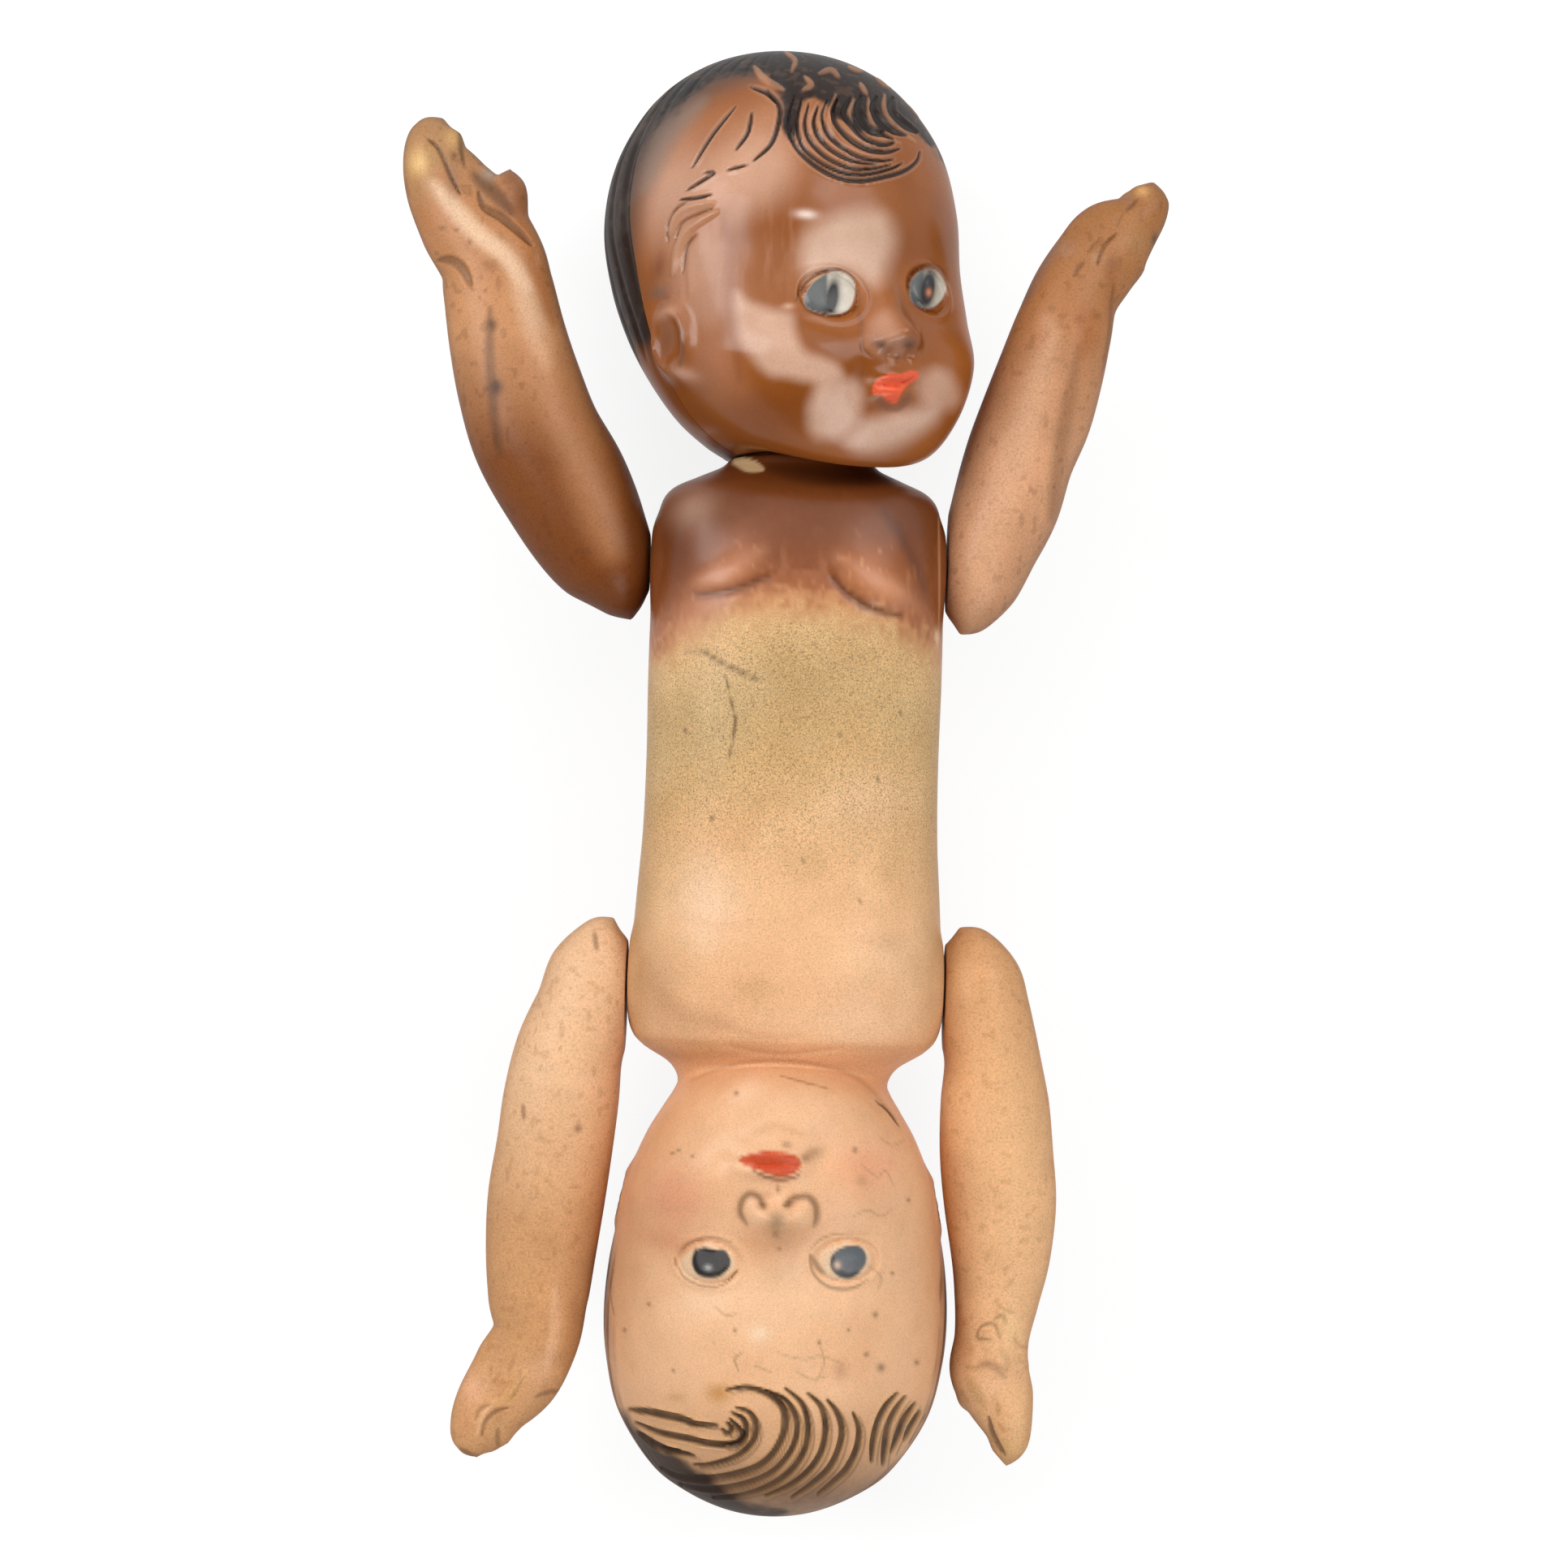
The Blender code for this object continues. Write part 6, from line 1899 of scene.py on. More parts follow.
def scaled(shares: tuple, start: float, length: float, sizes: tuple) -> list[tuple]:
    """Turns a table of shares into stations in millimetres.

    Args:
        shares: Rows of place, setback, width, front, back, drop and squareness.
        start: Place of share 0.
        length: Distance from share 0 to share 1.
        sizes: Full setback, width, front, back and drop.

    Returns:
        Rows in the same order.
    """
    setback, width, front, back, drop = sizes
    return [
        (start + a * length, c * setback, w * width, f * front, b * back, d * drop, n)
        for a, c, w, f, b, d, n in shares
    ]


def hollow_rows(rows: Array, wall: float, start: float, mouth: float) -> Array:
    """Rows of the hollow: each profile moved in by the wall, square to itself.

    The three profiles, width, front and back, are moved one by one and then read at the
    same share of the way as the rows of the outside. Past a place they end in a round
    mouth.

    Args:
        rows: Rows of the outside.
        wall: Thickness of the composition.
        start: Place along the axis at which the round mouth starts.
        mouth: Radius of the mouth.

    Returns:
        As many rows as the outside has.
    """
    inner = rows.copy()
    heading = np.sign(rows[-1, 0] - rows[0, 0])
    along = heading * rows[:, 0]
    moved = []
    for column in (2, 3, 4):
        rise, climb = np.gradient(along), np.gradient(rows[:, column])
        run = np.maximum(np.hypot(rise, climb), 1e-9)
        place = np.maximum.accumulate(along + wall * climb / run)
        moved.append((place, np.maximum(rows[:, column] - wall * rise / run, 0.0)))
    first = moved[0][0][0]
    places = first + (along - along[0]) * (along[-1] - first) / (along[-1] - along[0])
    inner[:, 0] = heading * places
    for column, (place, radius) in zip((2, 3, 4), moved):
        inner[:, column] = np.interp(places, place, radius)
    inner[:, 1] = np.interp(places, along, rows[:, 1])
    inner[:, 5] = np.interp(places, along, rows[:, 5])
    round_part = smooth_step(heading * start - 0.8, heading * start, places)
    for column, value in ((1, 0.0), (2, mouth), (3, mouth), (4, mouth), (5, 0.0), (6, 2.0)):
        inner[:, column] += round_part * (value - inner[:, column])
    inner[0, 2:5] = 0
    return inner


def half_turn(count: int, crowding: float, half: Half) -> Array:
    """Angles from the +X seam over one half to the -X seam, closer in the middle."""
    u = np.linspace(-1, 1, count)
    swing = math.pi / 2 * (1 + crowding * u + (1 - crowding) * u**3)
    return swing * half.value


@dataclass
class MouldedShell:
    """One half of a moulded shell: its outside grid, its hollow and its paint.

    Attributes:
        name: Name of the piece.
        node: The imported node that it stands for.
        body: The body that it moves with.
        half: Face half or back half.
        rows: How many rings the outside has.
        columns: How many points each ring has.
    """

    name: str
    node: str
    body: str
    half: Half
    rows: int
    columns: int
    seam_gap: float = 0.03
    hollow_columns: int = 13
    back_share: float = 1.0
    mouth: float = SIZES.stump_bore
    mouth_start: float = SIZES.upper_neck_y - 0.6
    finish: PaintedComposition = PEACH_BODY

    def stations(self) -> Array:
        """Stations of the outside, from the crown to the mouth."""
        raise NotImplementedError

    def density(self, stations: Array) -> Array:
        """How closely the rings lie at each station."""
        return np.ones(len(stations))

    def mould(self, outer: Array) -> None:
        """Adds the moulded features to the plain outside."""

    def place(self, points: Array) -> Array:
        """Carries points from the shell's own frame to the doll's."""
        return points

    def paint(self, canvas: Canvas) -> None:
        """Paints and carves the outside."""
        raise NotImplementedError

    def build(self) -> None:
        """Makes the piece, rides it on its body and hides the node that it replaces."""
        stations = self.stations()
        rows = even_rows(stations, self.rows, True, self.density(stations))
        crowding = 0.8 if self.half is Half.FACE else 1.0
        outer = loft(rows, half_turn(self.columns, crowding, self.half), self.back_share)
        self.mould(outer)
        inner_rows = hollow_rows(rows, SIZES.wall, self.mouth_start, self.mouth)
        inner = loft(inner_rows, half_turn(self.hollow_columns, 1.0, self.half), self.back_share)
        for grid in (outer, inner):
            grid[..., 2] += self.half.value * self.seam_gap
        outward = -1.0 if (rows[-1, 0] - rows[0, 0]) * self.half.value < 0 else 1.0
        outer, inner = self.place(outer), self.place(inner)
        normals = grid_normals(outer, outward)
        middle = normals[self.rows // 2, self.columns // 2]
        if (middle @ (outer[self.rows // 2, self.columns // 2] - outer.mean((0, 1)))) < 0:
            normals = -normals
        seen = smooth_step(*SEEN, PICTURE.facing(outer, normals))
        canvas = Canvas(outer, PICTURE.plan(outer), seen)
        self.paint(canvas)
        canvas.relief[0] = canvas.relief[0].mean()
        canvas.colour[0] = canvas.colour[0].mean(0)
        canvas.relief *= smooth_step(0, 4, self.seam_distance(outer.shape))
        outer = outer + normals * canvas.relief[..., None]
        skin = half_skin(outer, inner, canvas, linear(BARE_COMPOSITION))
        obj = skin.to_object(self.name)
        turn_outwards(obj)
        obj.data.materials.append(self.finish.material())
        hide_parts(self.node)
        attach(obj, self.body)
        LOG.info("%s: %d triangles", self.name, 2 * len(skin.quads) + len(skin.triangles))

    @staticmethod
    def seam_distance(shape: tuple[int, ...]) -> Array:
        """Columns between a point and the nearer seam."""
        column = np.arange(shape[1])
        return np.broadcast_to(np.minimum(column, shape[1] - 1 - column), shape[:2])


@dataclass
class DollBody(MouldedShell):
    """The torso with the lower head, the neck between them and the upper neck's stump."""

    breast_rise: float = 0.9
    breast_radius: float = 5.6
    breast_reach: float = 8.6
    breast_shares: Pair = (0.215, 0.766)
    boss_radius: float = 8.0
    bore_radius: float = 3.2
    bosses: tuple[Pair, ...] = (UPPER_SHOULDER, LOWER_SHOULDER)

    def stations(self) -> Array:
        """Stations of the lower head, its neck, the torso and the stump."""
        s = SIZES
        head = (-s.setback, s.head_width / 2, s.head_front, s.head_back, s.chin_drop)
        neck = (-s.setback, s.neck_width / 2, s.neck_depth / 2, s.neck_depth / 2, s.chin_drop)
        torso = (s.torso_rise, s.torso_width / 2, s.torso_front, s.torso_back, s.chin_drop)
        rows = scaled(LOWER_HEAD_SHARES, s.crown_y, s.lower_head_length, head)
        rows += scaled(LOWER_NECK_SHARES, s.lower_neck_y, s.lower_head_length, neck)
        rows += scaled(TORSO_SHARES, s.lower_neck_y, s.torso_length, torso)
        for height, radius in STUMP_SHARES:
            at = s.upper_neck_y + height * s.stump_height
            rows.append((at, 0, *(radius * s.stump_radius,) * 3, 0, 2.0))
        return np.array(rows)

    def density(self, stations: Array) -> Array:
        """Rings lie twice as closely on the face as on the torso."""
        face = stations[:, 0] < SIZES.lower_neck_y + 2
        return np.where(face, 1.0, 0.5) if self.half is Half.FACE else np.ones(len(stations))

    def mould(self, outer: Array) -> None:
        """Adds the face, the soft chests and the ears."""
        up = SIZES.lower_neck_y - outer[..., 1]
        x, y = outer[..., 0].copy(), outer[..., 1]
        if self.half is Half.FACE:
            outer[..., 2] += LOWER_FACE.relief(x, up)
            for share in self.breast_shares:
                at = SIZES.lower_neck_y + share * SIZES.torso_length
                for side in Side:
                    hill = bump(x, y, (side.value * self.breast_reach, at), (self.breast_radius,) * 2)
                    outer[..., 2] += self.breast_rise * hill
        outer[..., 0] += LOWER_FACE.ear(outer, up)
        self.mould_shoulders(outer)

    def mould_shoulders(self, outer: Array) -> None:
        """Adds the flat round bosses that the arms bear on, with the mouths of their holes."""
        for reach, share in self.bosses:
            at = SIZES.lower_neck_y + share * SIZES.torso_length
            far = np.hypot(outer[..., 1] - at, outer[..., 2] - SIZES.torso_rise)
            flat = smooth_step(self.boss_radius, 0.56 * self.boss_radius, far)
            flat = flat * (np.abs(outer[..., 0]) > 0.5 * reach)
            hole = smooth_step(self.bore_radius + 0.4, self.bore_radius - 0.2, far)
            target = np.sign(outer[..., 0]) * (reach - 1.6 * hole)
            outer[..., 0] += flat * (target - outer[..., 0])

    def place(self, points: Array) -> Array:
        """Lifts the body so that it rests on the table."""
        lifted = points + np.array([0, 0, SIZES.axis_z])
        lifted[..., 2] = np.maximum(lifted[..., 2], 0)
        return lifted

    def paint(self, canvas: Canvas) -> None:
        """Paints the peach body with its brown end, and the lower face."""
        TorsoPaint().lay(canvas, self.half)
        if self.half is Half.FACE:
            LowerFacePaint().lay(canvas)
        LowerHairPaint().lay(canvas, self.half)


@dataclass
class SwivelHead(MouldedShell):
    """The brown upper head, turned to its left on the stump."""

    back_share: float = SIZES.nape_share
    mouth: float = SIZES.socket_radius
    mouth_start: float = SIZES.socket_depth
    finish: PaintedComposition = BROWN_HEAD

    def stations(self) -> Array:
        """Stations from the crown down to the rim of the socket."""
        s = SIZES
        sizes = (-s.setback, s.head_width / 2, s.head_front, s.head_back, -s.chin_drop)
        rows = scaled(UPPER_HEAD_SHARES, s.upper_head_length, -s.upper_head_length, sizes)
        rim = s.socket_radius + s.socket_lip
        rows.append((0.005 * s.upper_head_length, 0, rim, rim, rim, 0, 2.0))
        return np.array(rows)

    def mould(self, outer: Array) -> None:
        """Adds the face and the ears."""
        x, up = outer[..., 0].copy(), outer[..., 1]
        if self.half is Half.FACE:
            outer[..., 2] += UPPER_FACE.relief(x, up)
        outer[..., 0] += UPPER_FACE.ear(outer, up)

    @staticmethod
    def matrix() -> Array:
        """Where the head sits: on the stump, turned and a little tilted."""
        at = Vector((0, SIZES.upper_neck_y + SIZES.pivot_rise, SIZES.axis_z))
        turn = Matrix.Rotation(SIZES.tilt, 4, "Z") @ Matrix.Rotation(SIZES.yaw, 4, "Y")
        return np.array(Matrix.Translation(at) @ turn)

    def place(self, points: Array) -> Array:
        """Carries points from the head's frame to the doll's."""
        matrix = self.matrix()
        return points @ matrix[:3, :3].T + matrix[:3, 3]

    def paint(self, canvas: Canvas) -> None:
        """Paints the brown face and the black hair."""
        UpperFacePaint().lay(canvas, self.half)


# --------------------------------------------------------------------------------------
# Arms
# --------------------------------------------------------------------------------------
@dataclass(frozen=True)
class ArmPaint:
    """Ground tones of an arm, from the shoulder to the finger tips, and its marks.

    Attributes:
        ground: Stops of way along, as a share of the arm's length, and colour.
        back: Colour of the side that lies on the table, a painted shade; also the colour of the specks.
        gloss: Gloss of the sound paint.
        grain: Strength of its fine specks.
        grooves: Creases in the picture, with their width, depth and darkness, which is painted shade.
        stains: Soft strokes in the picture, with their width, colour and weight; among them painted highlights
            and painted shade.
        spots: Oval spots in the picture: middle, radii, colour and weight; among them painted highlights.
        hills: Raised ovals in the picture: middle, radii and height.
    """

    ground: tuple[tuple[float, Colour], ...]
    back: Colour
    gloss: float
    grain: float
    grooves: tuple[tuple[Line, float, float, float], ...]
    stains: tuple[tuple[Line, float, Colour, float], ...]
    spots: tuple[tuple[Pair, Pair, Colour, float], ...]
    hills: tuple[tuple[Pair, Pair, float], ...] = ()

    def lay(self, canvas: Canvas, share: Array, seed: int) -> None:
        """Paints and carves an arm whose points lie at shares of its length."""
        places = [stop for stop, _ in self.ground]
        stops = np.array([linear(colour) for _, colour in self.ground])
        place = share + 0.05 * (cloud(canvas.points, 7, seed) - 0.5)
        for band in range(3):
            canvas.colour[..., band] = np.interp(place, places, stops[:, band])
        canvas.gloss[...] = self.gloss
        # Painted shade: the paint darkens to the back colour where the surface turns away from above
        canvas.wash(0.6 * (1 - smooth_step(0.0, 0.5, canvas.seen)), self.back)
        canvas.grain[...] = self.grain
        mottle = smooth_step(0.5, 0.8, cloud(canvas.points, 4.0, seed + 1))
        canvas.shade(0.25 * mottle, 0.75)
        pale = smooth_step(0.55, 0.8, cloud(canvas.points, 5.0, seed + 3))
        canvas.shade(0.3 * pale, 1.25)
        specks = smooth_step(0.74, 0.80, cloud(canvas.points, 0.9, seed + 2, 1))
        canvas.wash(0.26 * specks, self.back, 0.3)
        for line, width, colour, weight in self.stains:
            canvas.wash(weight * canvas.stroke(line, width, 0.8 * width), colour)
        for at, radii, colour, weight in self.spots:
            canvas.wash(weight * canvas.spot(at, radii), colour)
        for at, radii, height in self.hills:
            canvas.carve(-canvas.spot(at, radii), height)
        # Painted shade: each crease is darkened as well as sunk
        for line, width, depth, darkness in self.grooves:
            mark = canvas.stroke(line, width, 3)
            canvas.shade(darkness * mark, 0.3)
            canvas.carve(mark, depth)


@dataclass
class Arm:
    """A solid composition arm with a mitten hand, lofted along its centre line.

    Attributes:
        node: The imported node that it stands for.
        limb: Shares of the limb's stations.
        thumb: Shares of the thumb's stations.
        side: Which side of the doll.
        upward: 1 where the hand points to the upper crown, -1 to the lower one.
        reach: Distance of the flat shoulder's boss from the midline.
        shoulder_share: Place of the shoulder along the torso.
        paint: Its paint.
        finish: Its material.
        seed: Which noise it takes.
    """

    node: str
    limb: tuple
    thumb: tuple
    side: Side
    upward: int
    reach: float
    shoulder_share: float
    paint: ArmPaint
    finish: PaintedComposition
    seed: int
    length: float = 68.0
    width: float = 17.0
    depth: float = 14.6
    spread: float = 30.0
    bow_share: float = 0.25
    gap: float = 0.3
    voxel: float = 0.28
    sides: int = 96
    rings: int = 220

    @property
    def origin(self) -> Array:
        """Middle of the flat shoulder."""
        at = SIZES.lower_neck_y + self.shoulder_share * SIZES.torso_length
        return np.array([self.side.value * (self.reach + self.gap), at, SIZES.axis_z + SIZES.torso_rise])

    def tube(self, shares: tuple, rings: int) -> tuple[Array, Array, Array]:
        """Points and faces of a loft of ellipses square to a line in the X-Y plane.

        Args:
            shares: Way out, way along, half width and half depth of each station.
            rings: How many rings to make.

        Returns:
            Points, faces with four corners and faces with three.
        """
        table = np.array(shares)
        bow = (SIZES.head_width / 2 - self.reach) * np.clip(table[:, 1] / self.bow_share, 0, 1)
        stations = np.stack(
            [
                table[:, 0] * self.spread + bow,
                table[:, 1] * self.length,
                table[:, 2] * self.width,
                table[:, 3] * self.depth,
            ],
            axis=1,
        )
        first = 2 * stations[0] - stations[1]
        last = 2 * stations[-1] - stations[-2]
        line = np.vstack([first, stations, last])
        rows = curve_at(line, np.linspace(0, len(stations) - 1, rings + 2))
        path = rows[:, :2]
        heading = np.gradient(path, axis=0)
        heading /= np.linalg.norm(heading, axis=1, keepdims=True)
        aside = np.stack([heading[:, 1], -heading[:, 0]], axis=1)
        turn = np.linspace(0, 2 * math.pi, self.sides, endpoint=False)
        radii = np.maximum(rows[1:-1, 2:4], 0.02)
        flat = path[1:-1, None, :] + aside[1:-1, None, :] * (radii[:, :1] * np.cos(turn))[..., None]
        ring = np.concatenate([flat, (radii[:, 1:] * np.sin(turn))[..., None]], axis=-1)
        ends = [np.array([[*path[0], 0.0]]), np.array([[*path[-1], 0.0]])]
        points = np.vstack([ends[0], ring.reshape(-1, 3), ends[1]])
        ids = 1 + np.arange(rings * self.sides).reshape(rings, self.sides)
        around = np.roll(ids, -1, axis=1)
        quads = np.stack([ids[:-1], around[:-1], around[1:], ids[1:]], -1).reshape(-1, 4)
        tip = np.full(self.sides, len(points) - 1)
        fans = [np.stack([np.zeros(self.sides, int), around[0], ids[0]], -1)]
        fans.append(np.stack([tip, ids[-1], around[-1]], -1))
        return points, quads, np.vstack(fans)

    def blank(self) -> bpy.types.Object:
        """The arm and its thumb as one closed, evenly meshed blank."""
        points, quads, fans = self.tube(self.limb, self.rings)
        more, more_quads, more_fans = self.tube(self.thumb, 60)
        offset = len(points)
        points = np.vstack([points, more]) * [self.side.value, self.upward, 1] + self.origin
        quads = np.vstack([quads, more_quads + offset])
        fans = np.vstack([fans, more_fans + offset])
        grey = np.full((len(points), 3), 0.5)
        obj = Skin(points, quads, fans, grey, grey[:, 0], grey[:, 0]).to_object(self.node + "_blank")
        turn_outwards(obj)
        remesh = obj.modifiers.new("Remesh", "REMESH")
        remesh.mode = "VOXEL"
        remesh.voxel_size = self.voxel * MM
        smooth = obj.modifiers.new("Smooth", "SMOOTH")
        smooth.factor = 0.5
        smooth.iterations = 6
        return obj

    def build(self) -> None:
        """Makes the arm, paints it and puts it in the place of its node."""
        blank = self.blank()
        graph = bpy.context.evaluated_depsgraph_get()
        mesh = bpy.data.meshes.new_from_object(blank.evaluated_get(graph))
        bpy.data.objects.remove(blank, do_unlink=True)
        mesh.name = self.node + "_skin"
        count = len(mesh.vertices)
        points = np.empty(count * 3, np.float32)
        normals = np.empty(count * 3, np.float32)
        mesh.vertices.foreach_get("co", points)
        mesh.vertex_normals.foreach_get("vector", normals)
        points = points.reshape(-1, 3).astype(float) / MM
        normals = normals.reshape(-1, 3).astype(float)
        facing = PICTURE.facing(points, normals)
        seen = smooth_step(*SEEN, facing)
        canvas = Canvas(points, PICTURE.plan(points), seen)
        share = self.upward * (points[:, 1] - self.origin[1]) / self.length
        self.paint.lay(canvas, share, self.seed)
        # Painted shade: the sides that the picture plane shows edge on darken towards the underside's colour
        edge = smooth_step(*RIM, facing) * seen
        canvas.wash(RIM_SHADE * edge, self.paint.back)
        points = points + normals * canvas.relief[:, None]
        out = self.side.value * (points[:, 0] - self.origin[0])
        points[:, 0] = self.origin[0] + self.side.value * np.maximum(out, 0)
        mesh.vertices.foreach_set("co", (points * MM).astype(np.float32).ravel())
        for name in [a.name for a in mesh.attributes if a.name in ("paint", "gloss", "grain")]:
            mesh.attributes.remove(mesh.attributes[name])
        write_paint(mesh, canvas.colour, canvas.gloss, canvas.grain)
        mesh.shade_smooth()
        mesh.set_sharp_from_angle(angle=math.radians(55.0))
        mesh.materials.clear()
        mesh.materials.append(self.finish.material())
        obj = bpy.data.objects.new(mesh.name, mesh)
        bpy.context.scene.collection.objects.link(obj)
        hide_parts(self.node)
        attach(obj, self.node + "_body")
        LOG.info("%s: %d faces", obj.name, len(mesh.polygons))


UPPER_LEFT_PAINT = ArmPaint(
    ground=(
        (-0.15, (118, 62, 22)),
        (0.2, (128, 70, 26)),
        (0.45, (202, 144, 98)),
        (0.7, (190, 130, 84)),
        (0.9, (178, 134, 92)),
    ),
    back=(96, 52, 24),
    gloss=0.75,
    grain=0.35,
    grooves=(
        (((527, 172), (540, 183), (549, 202), (557, 220), (567, 240)), 5, 0.45, 0.75),
        (((590, 238), (598, 256), (618, 268), (640, 286), (656, 302)), 10, 0.40, 0.70),
        (((541, 322), (556, 322), (570, 332), (580, 352)), 12, 0.30, 0.65),
    ),
    stains=(
        # painted highlights along the hand
        (((535, 228), (556, 252), (586, 286), (622, 316), (650, 356)), 22, (242, 204, 168), 0.8),
        (((636, 330), (656, 390), (676, 450)), 28, (232, 188, 150), 0.65),
        (((668, 420), (700, 510), (730, 600), (752, 680)), 56, (206, 144, 96), 0.5),
        (((604, 380), (604, 440), (610, 520), (616, 560)), 12, (84, 50, 28), 0.55),
        (((568, 150), (567, 178), (572, 204)), 6, (84, 54, 30), 0.8),
        (((640, 270), (662, 330), (682, 400)), 16, (176, 102, 48), 0.45),
        # painted shade between the thumb and the finger
        (((584, 216), (606, 236), (630, 262)), 18, (82, 56, 42), 0.7),
        (((616, 282), (636, 290), (654, 310)), 10, (206, 134, 76), 0.5),
        (((770, 580), (784, 650), (792, 710)), 22, (112, 60, 26), 0.4),
    ),
    spots=(
        ((516, 202), (13, 18), (244, 200, 132), 0.85),
        ((558, 172), (9, 14), (228, 180, 118), 0.8),
        ((560, 193), (4, 4), (96, 60, 34), 0.7),
        ((534, 194), (8, 10), (176, 142, 90), 0.55),
        ((518, 236), (16, 18), (178, 132, 86), 0.7),
        ((558, 224), (9, 22), (146, 106, 80), 0.6),
        # painted highlight on the thumb
        ((604, 214), (10, 9), (176, 160, 144), 0.75),
        ((628, 222), (12, 14), (136, 82, 56), 0.7),
        ((640, 250), (14, 22), (136, 84, 56), 0.6),
        ((604, 328), (11, 8), (160, 108, 72), 0.7),
        ((663, 320), (4, 12), (208, 148, 112), 0.6),
        ((563, 284), (3, 2.4), (96, 60, 34), 0.7),
        ((579, 299), (3, 3), (120, 72, 36), 0.7),
        ((545, 282), (5, 3), (120, 76, 42), 0.6),
        ((612, 478), (8, 10), (50, 28, 16), 0.8),
        ((608, 402), (6, 8), (70, 42, 24), 0.6),
    ),
    hills=(((548, 200), (12, 34), 0.3), ((524, 220), (14, 34), 0.3), ((625, 232), (14, 20), 0.4)),
)
UPPER_RIGHT_PAINT = ArmPaint(
    ground=(
        (-0.15, (212, 156, 116)),
        (0.25, (214, 158, 118)),
        (0.5, (184, 124, 78)),
        (0.75, (168, 112, 66)),
        (0.95, (148, 106, 66)),
    ),
    back=(120, 72, 38),
    gloss=0.7,
    grain=0.4,
    grooves=(
        (((1376, 289), (1363, 302), (1357, 314), (1353, 327)), 5, 0.30, 0.60),
        (((1355, 296), (1346, 304), (1341, 312)), 4, 0.18, 0.40),
        (((1402, 247), (1396, 254), (1388, 260)), 5, 0.25, 0.55),
        (((1386, 262), (1381, 270), (1377, 280)), 3, 0.14, 0.35),
        (((1336, 324), (1329, 331), (1324, 340)), 6, 0.20, 0.50),
    ),
    stains=(
        (((1186, 800), (1216, 690), (1250, 580), (1282, 470), (1300, 410)), 30, (224, 174, 136), 0.55),
        (((1330, 430), (1316, 500), (1306, 560), (1296, 640)), 18, (122, 78, 44), 0.45),
        (((1264, 372), (1280, 336), (1302, 302)), 16, (158, 118, 98), 0.6),
        (((1334, 380), (1342, 410), (1334, 440)), 24, (168, 100, 50), 0.5),
        (((1362, 330), (1370, 350), (1366, 390)), 12, (158, 102, 60), 0.5),
        (((1372, 352), (1368, 400), (1362, 450)), 5, (120, 76, 44), 0.5),
    ),
    spots=(
        ((1408, 237), (9, 8), (222, 168, 108), 0.9),
        ((1391, 245), (4, 7), (150, 120, 100), 0.6),
        ((1423, 297), (4, 8), (70, 46, 28), 0.85),
        ((1384, 305), (10, 8), (184, 124, 84), 0.6),
        ((1371, 326), (9, 12), (142, 90, 56), 0.7),
        ((1352, 318), (8, 8), (188, 142, 104), 0.6),
        ((1314, 308), (12, 10), (176, 132, 104), 0.6),
        ((1290, 398), (12, 12), (206, 156, 118), 0.6),
        ((1352, 390), (5, 4), (134, 82, 42), 0.7),
        ((1330, 394), (6, 5), (144, 88, 46), 0.6),
        ((1296, 381), (5, 5), (150, 102, 60), 0.6),
        ((1400, 300), (18, 14), (190, 144, 98), 0.5),
        ((1395, 280), (18, 12), (178, 126, 82), 0.5),
    ),
    hills=(((1405, 262), (16, 22), 0.25),),
)
